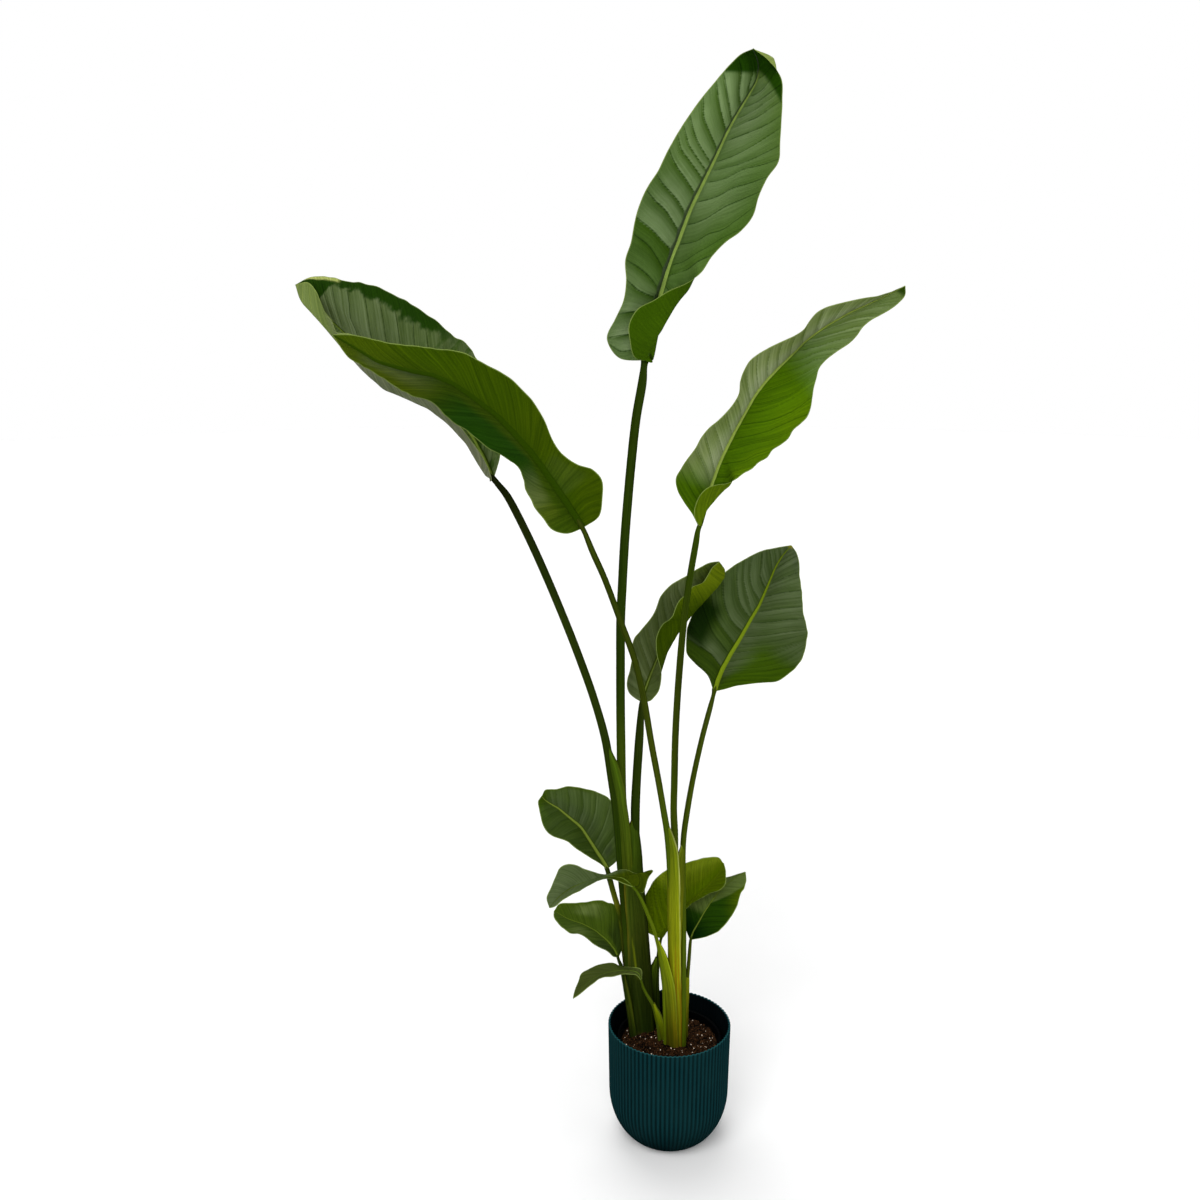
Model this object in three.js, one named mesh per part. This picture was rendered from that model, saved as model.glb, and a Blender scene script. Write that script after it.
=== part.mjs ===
// Potted white bird of paradise (Strelitzia nicolai habit, leaves only).
// Millimetres, +Z up. Origin: middle of the cover pot's underside, where it stands.
// The viewer looks along +Y; +X is to the viewer's right.
import * as THREE from 'three';
import { mergeVertices } from 'three/addons/utils/BufferGeometryUtils.js';

// ---------------------------------------------------------------- driving dimensions
const GAP = 0.3;                 // clearance between pieces that touch

const POT_RIM_R = 110;           // cover pot, outside radius over the flutes at the rim
const POT_H = 220.7;             // height of the rim above the floor
const POT_KNEE_R = 107.9;        // outside radius where the foot's rounding starts
const POT_KNEE_Z = 93.8;
const POT_FOOT_R = 33.9;         // where the rounding would end if it ran on to its pole
const POT_FOOT_DROP = 101.2;     // vertical half axis of the rounding
const POT_BASE_R = 58;           // flat that it stands on
const POT_WALL = 4;
const POT_FLOOR = 5;
const POT_SEGMENTS = 60;

const GROWER_BASE_R = 60;        // black inner pot
const GROWER_RIM_R = 90;
const GROWER_LIP_R = 93.5;
const GROWER_H = 189.7;          // from its own base to its rim
const GROWER_LIP_H = 7;
const GROWER_WALL = 1.8;
const GROWER_Z = POT_FLOOR + GAP;
const GROWER_SEGMENTS = 48;

const SOIL_TOP = 184;            // level of the soil, 37 mm below the rim

const BLADE_THICKNESS = 1.2;
const STALK_SIDES = 8;

// ---------------------------------------------------------------- control points
// BLADES: one row per station from the petiole to the tip. A row holds seven points across the
// blade: left margin, two points inside the left half, midrib, two inside the right half, right
// margin.
// STALKS: x, y, z, half width and half depth, from the soil up to the blade.
const BLADES = {
  a: [
    [[-53, 61.6, 1389.4], [-52.4, 61.1, 1389.4], [-51.8, 60.5, 1389.3], [-51.2, 60, 1389.3], [-50.6, 59.5, 1389.3], [-50, 58.9, 1389.2], [-49.4, 58.4, 1389.2]],
    [[-93.6, 56.1, 1394.1], [-77.6, 53.7, 1402.1], [-61.6, 56.3, 1408.8], [-45.7, 64.1, 1414.4], [-46.3, 59.3, 1407], [-46.9, 54.5, 1399.6], [-69.6, 35.5, 1396.6]],
    [[-113.7, 56.3, 1424.8], [-89.1, 53.9, 1431.2], [-64.4, 58.4, 1436], [-39.7, 69.7, 1439.3], [-38.7, 60.2, 1429.8], [-37.6, 50.7, 1420.4], [-77.1, 20.4, 1421.6]],
    [[-101.2, 59.3, 1454.7], [-78.6, 58.3, 1459.4], [-56, 64, 1462.6], [-33.4, 76.6, 1464.1], [-30.9, 64.5, 1450], [-28.4, 52.3, 1436], [-78.7, 14.4, 1448.4]],
    [[-87.2, 63, 1484.7], [-67.1, 63.6, 1487.6], [-47.1, 70.5, 1489], [-27, 83.6, 1489], [-22.7, 70.1, 1470.6], [-18.4, 56.5, 1452.2], [-64.9, 18.2, 1472.4]],
    [[-82.7, 67.8, 1516.6], [-61.6, 69, 1517.1], [-40.5, 76.7, 1516.1], [-19.4, 91.1, 1513.5], [-13.4, 77.4, 1491.2], [-7.3, 63.7, 1468.9], [-39.7, 27.1, 1485.6]],
    [[-84.1, 73.2, 1548.7], [-59.9, 74.8, 1546.7], [-35.6, 83.3, 1543.2], [-11.4, 98.6, 1538], [-3.2, 85.9, 1511.9], [5.1, 73.3, 1485.7], [-13.4, 49.3, 1501.2]],
    [[-74.6, 78.9, 1578.5], [-50.5, 81.1, 1574.7], [-26.3, 90.2, 1569.2], [-2.2, 106.1, 1562.2], [9.4, 96.6, 1533.8], [21.1, 87, 1505.5], [15, 65.7, 1512.8]],
    [[-69, 84.7, 1609], [-43.7, 87.6, 1603], [-18.4, 97.3, 1595.5], [7, 113.8, 1586.4], [20.7, 97.2, 1563], [33.9, 83.2, 1539.9], [39.6, 79.1, 1529.5]],
    [[-60.5, 91.1, 1638.4], [-34.9, 94.5, 1630.7], [-9.3, 104.8, 1621.5], [16.2, 121.8, 1610.7], [31.9, 104.2, 1590.6], [47.2, 91.4, 1569.9], [57.4, 87.6, 1555]],
    [[-47.4, 97.8, 1665.7], [-22.9, 101.7, 1657], [1.6, 112.5, 1646.7], [26, 130, 1634.8], [44.1, 110.7, 1617], [62.2, 98.7, 1597.5], [79.2, 94.7, 1577.5]],
    [[-30.9, 105.4, 1690.3], [-8.1, 109.7, 1681.2], [14.8, 120.8, 1670.5], [37.7, 138.7, 1658.3], [60.2, 118.6, 1639.4], [82.7, 106.3, 1618.7], [105.3, 101.7, 1596.2]],
    [[-18.1, 113.6, 1716.4], [4.5, 118.1, 1706.5], [27, 129.4, 1694.9], [49.6, 147.5, 1681.8], [74.8, 126.9, 1663.2], [100, 114, 1642.9], [125.3, 108.9, 1620.7]],
    [[-4.2, 122.6, 1741.4], [17.7, 127, 1731], [39.7, 138.3, 1719], [61.6, 156.5, 1705.4], [86, 135.4, 1689.1], [110.4, 122.2, 1671], [134.7, 116.7, 1651.1]],
    [[10.6, 132.5, 1765.3], [31.5, 136.6, 1754.9], [52.4, 147.6, 1742.8], [73.2, 165.4, 1729.2], [98.4, 144.3, 1714.7], [123.5, 131, 1698.4], [148.7, 125.5, 1680.3]],
    [[26.2, 143.3, 1788], [45.6, 146.8, 1778], [65.1, 157.1, 1766.4], [84.6, 174.2, 1753.2], [112.3, 153.5, 1739.8], [140, 140.6, 1724.5], [167.8, 135.5, 1707.4]],
    [[42.2, 154.4, 1809.5], [60.6, 157, 1800.1], [78.9, 166.4, 1789.2], [97.2, 182.6, 1776.6], [121.8, 162.7, 1766.4], [146.4, 150.6, 1754.3], [171, 146.2, 1740.5]],
    [[58.9, 165.5, 1829.6], [76.2, 167.5, 1821.1], [93.5, 175.8, 1811], [110.8, 190.5, 1799.5], [131.7, 171.6, 1792.8], [152.5, 160.6, 1784.3], [173.4, 157.3, 1774]],
    [[74.9, 175.9, 1848.9], [91.5, 177.1, 1841.3], [108.2, 184.3, 1832.4], [124.9, 197.3, 1822], [141.7, 180.9, 1818.9], [158.5, 171.1, 1814.2], [175.3, 168, 1808]],
    [[90.6, 181, 1865.8], [105.9, 181.1, 1859.8], [121.2, 186.5, 1852.6], [136.5, 197, 1844.2], [149.1, 184.7, 1844.3], [161.6, 177.1, 1843.4], [173.4, 174.4, 1841.4]],
    [[105.8, 176.1, 1878.8], [116.1, 175.5, 1875.3], [126.4, 178.4, 1870.9], [136.7, 184.6, 1865.8], [148, 178.5, 1868.3], [159.4, 172.4, 1870.9], [150, 165.4, 1867.1]],
    [[122.9, 160.5, 1883.8], [123.2, 160.3, 1883.8], [123.5, 160.2, 1883.7], [123.8, 160, 1883.7], [124.1, 159.8, 1883.7], [124.4, 159.7, 1883.7], [124.6, 159.5, 1883.6]],
  ],
  b: [
    [[-305.8, 101.9, 1190.3], [-306.3, 101.3, 1190.2], [-306.8, 100.6, 1190.1], [-307.3, 100, 1190], [-307.7, 99.4, 1189.8], [-308.2, 98.7, 1189.7], [-308.7, 98.1, 1189.6]],
    [[-295.6, 113.4, 1227.1], [-301.9, 105.5, 1221.5], [-308.3, 101.7, 1215], [-314.7, 102, 1207.4], [-316.5, 98.2, 1201.5], [-318.2, 94.4, 1195.5], [-312.3, 82.7, 1208.5]],
    [[-297.3, 125.2, 1262], [-305.6, 111.2, 1251.2], [-313.8, 104.2, 1238.9], [-322.1, 104, 1224.9], [-323.9, 97.4, 1216.2], [-325.8, 90.8, 1207.5], [-319.5, 71.4, 1227.7]],
    [[-301.2, 134, 1289.5], [-311.1, 115.8, 1275.6], [-321.1, 106.4, 1259.6], [-331, 105.8, 1241.6], [-332.3, 96.4, 1231.4], [-333.6, 87, 1221.2], [-328.8, 62.9, 1245]],
    [[-305.5, 141.6, 1313.4], [-317, 120.5, 1297.3], [-328.5, 109.2, 1278.9], [-340, 107.6, 1258.2], [-340.8, 95.4, 1247.3], [-341.6, 83.2, 1236.5], [-339.4, 55.4, 1261.3]],
    [[-311.6, 148.7, 1334.6], [-324.7, 125.9, 1316.5], [-337.8, 112.9, 1296.2], [-350.9, 109.6, 1273.6], [-350.3, 94.6, 1262.6], [-349.7, 79.6, 1251.6], [-350.1, 49, 1277.3]],
    [[-318.1, 155.1, 1353.9], [-332.8, 130.9, 1334.3], [-347.6, 116.5, 1312.6], [-362.3, 111.8, 1288.5], [-361.8, 95.2, 1276.8], [-361.3, 78.6, 1265.1], [-362.1, 44.2, 1292]],
    [[-326.5, 160.7, 1370.9], [-342.6, 135.4, 1350.4], [-358.6, 119.9, 1327.7], [-374.7, 114.1, 1302.7], [-373.8, 95.9, 1290.6], [-372.9, 77.7, 1278.5], [-374.3, 41.6, 1306.3]],
    [[-336.2, 165.8, 1386.4], [-353.5, 139.7, 1365.2], [-370.8, 123.3, 1341.7], [-388.1, 116.6, 1316], [-386.7, 97.2, 1303], [-385.2, 77.8, 1290.1], [-387.8, 41.4, 1319.5]],
    [[-344.9, 170.7, 1401.9], [-363.8, 143.8, 1379.9], [-382.7, 126.6, 1355.6], [-401.7, 119.1, 1329.1], [-400, 98.9, 1314.5], [-398.4, 78.7, 1300], [-401.9, 41.8, 1332]],
    [[-356.8, 175.9, 1415.3], [-377, 148.2, 1392.5], [-397.1, 130.2, 1367.4], [-417.2, 122, 1340], [-414.4, 101, 1324.9], [-411.6, 80, 1309.8], [-416, 42.8, 1344.4]],
    [[-373.4, 180.8, 1424.4], [-393.1, 152.4, 1402.2], [-412.9, 133.8, 1377.7], [-432.7, 124.9, 1351], [-429.9, 103.5, 1333.9], [-427, 82.1, 1316.9], [-429.9, 44.1, 1357]],
    [[-389, 185.7, 1436.5], [-409, 156.7, 1413.7], [-428.9, 137.6, 1388.5], [-448.9, 128.1, 1361.1], [-445.7, 106.3, 1342.6], [-442.5, 84.5, 1324], [-443.7, 45.9, 1369.7]],
    [[-404.9, 190.3, 1450.3], [-425, 161, 1426.1], [-445.2, 141.4, 1399.5], [-465.4, 131.5, 1370.7], [-461.4, 109.5, 1350.6], [-457.4, 87.5, 1330.4], [-457.7, 48.3, 1382.3]],
    [[-422.9, 194.6, 1461.9], [-442.6, 164.9, 1437], [-462.2, 145, 1409.9], [-481.9, 134.9, 1380.4], [-476.8, 112.9, 1358.3], [-471.8, 90.9, 1336.2], [-472.1, 51.1, 1394.5]],
    [[-440.9, 198.3, 1473.8], [-460, 168.6, 1448.3], [-479.1, 148.6, 1420.5], [-498.3, 138.3, 1390.4], [-492.2, 116.3, 1366.2], [-486.1, 94.3, 1341.9], [-486.6, 54.3, 1406.7]],
    [[-459.1, 200.8, 1485.2], [-477.6, 171.4, 1459.2], [-496.1, 151.7, 1430.9], [-514.6, 141.8, 1400.4], [-507.2, 120.2, 1376.6], [-499.8, 98.6, 1352.9], [-502, 59.3, 1418.1]],
    [[-478.2, 201.5, 1495.1], [-495.7, 173, 1469.3], [-513.2, 154.2, 1441.2], [-530.7, 145.2, 1410.9], [-522.1, 124, 1387.4], [-513.5, 102.8, 1363.9], [-519.3, 66.7, 1427.7]],
    [[-497, 200.8, 1505.1], [-513.6, 173.6, 1479.5], [-530.1, 156.2, 1451.6], [-546.7, 148.6, 1421.4], [-536.9, 128.2, 1398.6], [-527, 107.8, 1375.8], [-538.6, 76.2, 1433.3]],
    [[-516.8, 199.2, 1512.9], [-531.7, 173.8, 1488.6], [-546.7, 158.1, 1462.1], [-561.6, 152.1, 1433.3], [-551, 132.9, 1411], [-540.3, 113.7, 1388.8], [-559.9, 87.2, 1435.2]],
    [[-537.8, 197.2, 1516.8], [-550.5, 173.6, 1495.5], [-563.1, 159.8, 1471.9], [-575.7, 155.8, 1446.1], [-564.7, 137.8, 1423.9], [-553.7, 119.8, 1401.8], [-568.5, 99.1, 1452.3]],
    [[-559.4, 194.8, 1518.7], [-569.5, 173.2, 1501.1], [-579.6, 161.4, 1481.2], [-589.7, 159.3, 1459.1], [-580.9, 143.8, 1440.8], [-572.1, 128.3, 1422.6], [-581.9, 111.2, 1467.5]],
    [[-580.1, 191.5, 1523.7], [-587.8, 173.1, 1508.6], [-595.6, 163.4, 1491.5], [-603.3, 162.6, 1472.3], [-596.9, 149.6, 1457.9], [-590.5, 136.6, 1443.4], [-591.5, 123.6, 1484.9]],
    [[-600.9, 186, 1526.4], [-606.3, 172.4, 1514.3], [-611.6, 165.6, 1500.7], [-616.9, 165.5, 1485.5], [-613.9, 155.9, 1475.2], [-610.8, 146.4, 1465], [-601.8, 138, 1502.4]],
    [[-621, 178.1, 1524.3], [-624.2, 170.5, 1516.7], [-627.4, 166.9, 1508], [-630.6, 167.5, 1498.4], [-630.7, 161.5, 1492.7], [-630.9, 155.5, 1487], [-618.2, 153.2, 1516.1]],
    [[-641.7, 167, 1512.8], [-641.7, 166.7, 1512.8], [-641.7, 166.3, 1512.7], [-641.7, 166, 1512.7], [-641.7, 165.7, 1512.6], [-641.7, 165.3, 1512.6], [-641.8, 165, 1512.5]],
  ],
  c: [
    [[-149, -120, 1144.8], [-149.7, -120, 1144.3], [-150.4, -120, 1143.9], [-151.1, -120, 1143.5], [-151.8, -120, 1143.1], [-152.4, -120, 1142.6], [-153.1, -120, 1142.2]],
    [[-126, -116.7, 1161.5], [-137.1, -114.7, 1159.1], [-148.2, -116.5, 1157.5], [-159.3, -122.2, 1156.8], [-165, -117.5, 1148.5], [-170.6, -116.1, 1140.9], [-176.2, -117.8, 1134.1]],
    [[-121.2, -113.7, 1190.7], [-136.6, -111.5, 1182.5], [-152.1, -115, 1175.6], [-167.5, -124.3, 1170], [-178.1, -116.5, 1159], [-188.7, -113.6, 1149.1], [-199.3, -115.7, 1140.3]],
    [[-122.1, -111.6, 1216.7], [-140, -109.4, 1203.8], [-157.9, -114.3, 1192.7], [-175.8, -126.5, 1183.2], [-188.2, -117, 1173.4], [-200.7, -112.8, 1164.9], [-213.1, -113.7, 1157.7]],
    [[-136.9, -110.5, 1233.3], [-152.7, -109.7, 1219.3], [-168.4, -115.8, 1206.9], [-184.1, -128.9, 1196.1], [-197.7, -117.7, 1186.8], [-211.3, -112.1, 1178.8], [-224.9, -112, 1172.1]],
    [[-157.3, -109.7, 1239.7], [-169, -111.2, 1228.1], [-180.7, -118.3, 1217.9], [-192.4, -131.2, 1209.1], [-205.3, -118.6, 1200], [-218.3, -111.6, 1192.3], [-231.2, -110.1, 1185.8]],
    [[-174.7, -109.1, 1250.1], [-183.3, -112.2, 1239.5], [-192, -120.3, 1230.1], [-200.7, -133.6, 1221.9], [-213.5, -119.4, 1213.4], [-226.3, -110.9, 1206.2], [-239.1, -108.1, 1200.3]],
    [[-188.3, -108.6, 1263.2], [-195.3, -112.7, 1252.5], [-202.2, -121.8, 1242.9], [-209.2, -135.9, 1234.4], [-220.4, -120.6, 1227], [-231.5, -110.7, 1220.8], [-242.7, -106.2, 1215.9]],
    [[-197.9, -108.5, 1278.5], [-204.5, -113.1, 1266.7], [-211.1, -123, 1256.1], [-217.8, -138.2, 1246.8], [-227.9, -121.6, 1239.9], [-238, -110.3, 1234.1], [-248.1, -104.4, 1229.7]],
    [[-204.2, -108.6, 1294.7], [-211.6, -113.4, 1281.5], [-219, -124.1, 1269.6], [-226.3, -140.6, 1259.2], [-237, -122.2, 1251.5], [-247.7, -109.7, 1245.3], [-258.4, -103.1, 1240.4]],
    [[-210.7, -109, 1310.2], [-219.1, -113.9, 1295.5], [-227.4, -125.2, 1282.3], [-235.8, -142.9, 1270.7], [-247.2, -122.9, 1261.9], [-258.6, -109.4, 1254.7], [-270, -102.3, 1248.9]],
    [[-218.4, -109.8, 1324.5], [-227.4, -114.7, 1308.7], [-236.4, -126.5, 1294.5], [-245.4, -145.1, 1281.9], [-257.5, -123.9, 1272], [-269.5, -109.6, 1263.8], [-281.6, -102.1, 1257.1]],
    [[-227.1, -110.8, 1337.8], [-236.5, -115.9, 1321.2], [-245.8, -128, 1306.3], [-255.1, -147.4, 1293.1], [-267.8, -125.2, 1282], [-280.5, -110.3, 1272.5], [-293.1, -102.7, 1264.8]],
    [[-237.7, -111.8, 1349.4], [-246.8, -117.1, 1332.5], [-255.9, -129.6, 1317.3], [-265, -149.4, 1303.8], [-278.2, -126.4, 1291.6], [-291.3, -111, 1281.3], [-304.5, -103.2, 1272.6]],
    [[-248.7, -112.8, 1360.4], [-257.5, -118.4, 1343.4], [-266.2, -131.3, 1328.1], [-275, -151.4, 1314.5], [-288.6, -127.8, 1301.4], [-302.2, -111.9, 1290.1], [-315.8, -103.9, 1280.6]],
    [[-260.2, -113.9, 1371], [-268.7, -119.7, 1353.6], [-277.3, -132.9, 1338], [-285.9, -153.5, 1324], [-299.6, -129.5, 1310.4], [-313.4, -113.2, 1298.7], [-327.1, -104.7, 1288.7]],
    [[-273.3, -115.2, 1379.8], [-281.3, -121.4, 1362.5], [-289.2, -134.8, 1347], [-297.1, -155.7, 1333.1], [-311, -131.2, 1319.2], [-324.9, -114.6, 1307.1], [-338.8, -105.7, 1296.8]],
    [[-287.3, -116.7, 1387.8], [-294.3, -123.2, 1370.9], [-301.3, -136.9, 1355.7], [-308.3, -157.8, 1342.1], [-322.3, -133.1, 1328.1], [-336.2, -116.1, 1316], [-350.2, -107, 1305.6]],
    [[-301.5, -118.1, 1395.1], [-307.6, -124.9, 1378.6], [-313.7, -138.8, 1363.8], [-319.8, -159.7, 1350.6], [-333.2, -134.8, 1337.3], [-346.6, -117.6, 1325.9], [-359.9, -108.2, 1316.3]],
    [[-315.6, -119.7, 1402.4], [-320.8, -126.7, 1386.3], [-326.1, -140.7, 1371.8], [-331.4, -161.6, 1359], [-344.3, -136.5, 1346.3], [-357.2, -119.2, 1335.5], [-370, -109.7, 1326.5]],
    [[-329.9, -121.6, 1408.4], [-334.4, -128.8, 1392.9], [-338.8, -142.8, 1379], [-343.3, -163.6, 1366.6], [-355.7, -138.4, 1354.5], [-368.2, -121.1, 1344.2], [-380.7, -111.6, 1335.7]],
    [[-344.9, -124.2, 1412.4], [-348.7, -131.4, 1397.5], [-352.5, -145.3, 1384.1], [-356.3, -165.7, 1372.3], [-368.9, -140.8, 1359.6], [-381.5, -123.7, 1348.7], [-394.1, -114.5, 1339.7]],
    [[-360, -127.3, 1414.7], [-363.1, -134.7, 1401], [-366.1, -148.1, 1388.7], [-369.2, -167.8, 1377.9], [-381.8, -143.5, 1364.9], [-394.5, -127, 1353.6], [-407.1, -118.3, 1344.3]],
    [[-374.9, -130.7, 1416.6], [-377.6, -137.7, 1403.3], [-380.3, -150.7, 1391.3], [-383, -169.6, 1380.8], [-395, -146.6, 1369.2], [-406.9, -130.9, 1359.3], [-418.9, -122.6, 1351.2]],
    [[-389.7, -134.5, 1418.1], [-392.1, -141.1, 1405.2], [-394.5, -153.4, 1393.6], [-396.9, -171.4, 1383.4], [-408, -150, 1373.5], [-419.1, -135.4, 1365.2], [-430.2, -127.6, 1358.4]],
    [[-404.3, -138.3, 1419.6], [-406.4, -144.4, 1407.5], [-408.5, -155.9, 1396.6], [-410.6, -172.8, 1386.9], [-420.4, -153.4, 1379], [-430.2, -140, 1372.6], [-440, -132.6, 1367.5]],
    [[-418.6, -142.1, 1421.5], [-420.4, -147.7, 1410.1], [-422.3, -158.4, 1399.9], [-424.2, -174, 1390.8], [-433, -156.6, 1384.3], [-441.8, -144.5, 1379.1], [-450.6, -137.7, 1375.1]],
    [[-432.6, -146.1, 1423.7], [-434.3, -151.2, 1412.9], [-436, -160.9, 1403.3], [-437.7, -175.2, 1394.7], [-445.7, -159.7, 1389.3], [-453.7, -149, 1385], [-461.7, -142.9, 1381.8]],
    [[-446.2, -149.9, 1426.9], [-447.7, -154.3, 1416.8], [-449.2, -163, 1407.7], [-450.7, -176, 1399.6], [-458.2, -162.4, 1394.6], [-465.7, -153, 1390.7], [-473.1, -147.8, 1387.7]],
    [[-459.6, -153.4, 1430.2], [-460.7, -157.3, 1421.6], [-461.7, -164.8, 1413.9], [-462.7, -176, 1407], [-469.6, -164.3, 1402.1], [-476.6, -156.3, 1398.2], [-483.5, -152.2, 1395.1]],
    [[-472.7, -158, 1433.5], [-473.3, -161.1, 1426.4], [-473.9, -167.1, 1420.1], [-474.6, -176, 1414.4], [-480.8, -166.6, 1409.9], [-487, -160.4, 1406.1], [-493.2, -157.3, 1403]],
    [[-485.5, -163.1, 1436], [-485.9, -165.2, 1430.7], [-486.2, -169.3, 1426], [-486.6, -175.6, 1421.7], [-491.1, -169.1, 1418.5], [-495.6, -164.8, 1415.7], [-500.1, -162.7, 1413.6]],
    [[-498.6, -167.4, 1436.9], [-498.7, -168.4, 1433.9], [-498.9, -170.5, 1431.1], [-499, -173.8, 1428.7], [-501.5, -170.4, 1427], [-503.9, -168.2, 1425.5], [-506.4, -167.2, 1424.4]],
    [[-511, -172, 1436.6], [-511.2, -172, 1436.3], [-511.3, -172, 1436], [-511.5, -172, 1435.7], [-511.7, -172, 1435.4], [-511.8, -172, 1435.1], [-512, -172, 1434.8]],
  ],
  d: [
    [[32.7, -37.7, 1132.6], [32.9, -38.5, 1132.7], [33.1, -39.2, 1132.8], [33.3, -40, 1132.9], [33.5, -40.8, 1133], [33.7, -41.5, 1133], [34, -42.3, 1133.1]],
    [[23.3, -32.8, 1151.1], [28, -35.5, 1150.1], [32.8, -37, 1148.8], [37.5, -37.1, 1147.2], [38.3, -41, 1146], [39.1, -44.8, 1144.8], [26.3, -52.3, 1146.2]],
    [[10.3, -26.5, 1169], [20.7, -31.9, 1167.1], [31.2, -34.5, 1164.6], [41.7, -34.3, 1161.4], [42.2, -40.8, 1158.6], [42.7, -47.3, 1155.8], [24.4, -60.1, 1162.1]],
    [[-0.4, -21.5, 1187.3], [15.4, -28.9, 1184.3], [31.1, -32.1, 1180.3], [46.9, -31.2, 1175.4], [47.8, -39.9, 1170.3], [48.7, -48.5, 1165.2], [27.8, -66.4, 1176.9]],
    [[-3, -18.3, 1206.9], [15.3, -26.5, 1202.2], [33.7, -29.7, 1196.3], [52.1, -28.1, 1189.3], [54.3, -38.1, 1181.8], [56.4, -48, 1174.3], [34.3, -72.4, 1190.5]],
    [[5.7, -16.6, 1222.9], [22.9, -24.1, 1217.4], [40.1, -26.9, 1210.8], [57.3, -25.1, 1203.2], [61, -36.1, 1193.3], [64.6, -47.1, 1183.4], [45, -73, 1200.1]],
    [[16.4, -16.1, 1239.3], [31.7, -22.4, 1232.9], [47, -24.4, 1225.5], [62.4, -22.1, 1217.2], [68.1, -33.1, 1204.6], [73.8, -44.1, 1192.1], [59.7, -69, 1203.7]],
    [[27.8, -16.1, 1254.9], [41, -21, 1247.9], [54.2, -22, 1239.9], [67.5, -19.1, 1231.1], [74.8, -29.5, 1215], [82.2, -40, 1198.8], [75, -64.1, 1205.3]],
    [[36.7, -16.1, 1271.9], [49.1, -19.9, 1263.7], [61.5, -19.9, 1254.5], [73.9, -16, 1244.5], [80.5, -35.8, 1229.7], [86.7, -54.2, 1215.3], [88.8, -59.7, 1210.3]],
    [[48.5, -15.8, 1286.8], [59.1, -18.4, 1278], [69.8, -17.4, 1268.3], [80.4, -12.8, 1257.9], [89.1, -32.9, 1242.2], [97.4, -50, 1226.6], [101.2, -55.6, 1218.9]],
    [[63, -15, 1298.8], [71, -16.4, 1290.3], [79.1, -14.6, 1281.1], [87.1, -9.8, 1271.1], [98, -30.5, 1254.4], [108.5, -46.5, 1237], [114.9, -51.7, 1225.7]],
    [[76.3, -13.4, 1311.9], [82.2, -14, 1303.4], [88, -11.8, 1294.2], [93.9, -6.8, 1284.4], [105.7, -28.1, 1268], [117.4, -43, 1250.4], [126.1, -48, 1235.8]],
    [[88, -11.8, 1326.1], [92.3, -12, 1317.2], [96.7, -9.4, 1307.6], [101.1, -4.1, 1297.4], [114.3, -26, 1280.6], [127.5, -39.9, 1262], [139.6, -44.6, 1243.1]],
    [[96.2, -10.3, 1342.2], [100.3, -10.3, 1332.3], [104.3, -7.4, 1321.7], [108.4, -1.5, 1310.4], [121.7, -23.6, 1293.9], [135.1, -37, 1275.4], [148.5, -41.6, 1254.9]],
    [[97.6, -8.6, 1359.9], [103.7, -8.8, 1348.5], [109.7, -5.5, 1336.3], [115.8, 1.3, 1323.3], [131.1, -20.8, 1305.2], [146.4, -34.1, 1285.1], [161.7, -38.7, 1262.9]],
    [[103.2, -6.7, 1376.5], [109.9, -6.9, 1364], [116.6, -3.3, 1350.5], [123.3, 4.2, 1336.1], [140, -17.9, 1316.9], [156.7, -31.4, 1295.6], [173.5, -36, 1272.3]],
    [[112.1, -4.4, 1391.6], [118.8, -4.6, 1378], [125.5, -0.7, 1363.5], [132.2, 7.3, 1348], [148.6, -15, 1329.2], [165, -28.6, 1308.3], [181.3, -33.4, 1285.4]],
    [[125.7, -2, 1402.6], [131, -1.8, 1389.2], [136.3, 2.4, 1374.9], [141.7, 10.5, 1359.6], [158.7, -12.1, 1340.2], [175.6, -25.9, 1318.6], [192.6, -31, 1295]],
    [[140.8, 0.4, 1411], [144.6, 1.1, 1398.4], [148.3, 5.4, 1384.8], [152.1, 13.5, 1370.4], [169.2, -9.4, 1350.9], [186.2, -23.6, 1329.3], [203.3, -28.9, 1305.7]],
    [[156.1, 2.8, 1418.7], [158.3, 4, 1406.9], [160.5, 8.5, 1394.4], [162.7, 16.4, 1381], [178, -6.7, 1362.7], [193.4, -21.2, 1342.3], [208.7, -26.8, 1319.8]],
    [[171.6, 5.5, 1425.6], [172.3, 7.1, 1414.9], [173, 11.7, 1403.5], [173.6, 19.4, 1391.3], [186.1, -3.9, 1374.7], [198.6, -18.5, 1355.9], [211, -24.4, 1335.1]],
    [[186.7, 8.5, 1432.8], [186, 10.3, 1423.1], [185.4, 14.9, 1412.7], [184.7, 22.5, 1401.6], [194.2, -1, 1386.6], [203.7, -15.6, 1369.6], [213.2, -21.5, 1350.5]],
    [[200.1, 11.6, 1441.6], [198.5, 13.4, 1432.3], [197, 18, 1422.5], [195.5, 25.3, 1412], [202.8, 2.3, 1398.5], [210, -12.2, 1383], [217.3, -18.4, 1365.6]],
    [[209.1, 15.1, 1454.5], [208.2, 16.5, 1444.5], [207.3, 20.8, 1433.8], [206.4, 28.1, 1422.4], [211.4, 6.1, 1410.3], [216.4, -8.1, 1396.4], [221.5, -14.6, 1380.6]],
    [[219.5, 18.6, 1466], [219.3, 19.5, 1455.1], [219, 23.4, 1443.5], [218.7, 30.5, 1431.2], [222.9, 9.5, 1419.9], [227.1, -4.2, 1406.9], [231.2, -10.7, 1392.2]],
    [[232.9, 22.3, 1474.1], [232.2, 22.9, 1463.4], [231.6, 26.4, 1452.1], [231, 32.9, 1440], [235.4, 12.8, 1429], [239.7, -0.2, 1416.4], [244.1, -6.3, 1402.2]],
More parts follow.
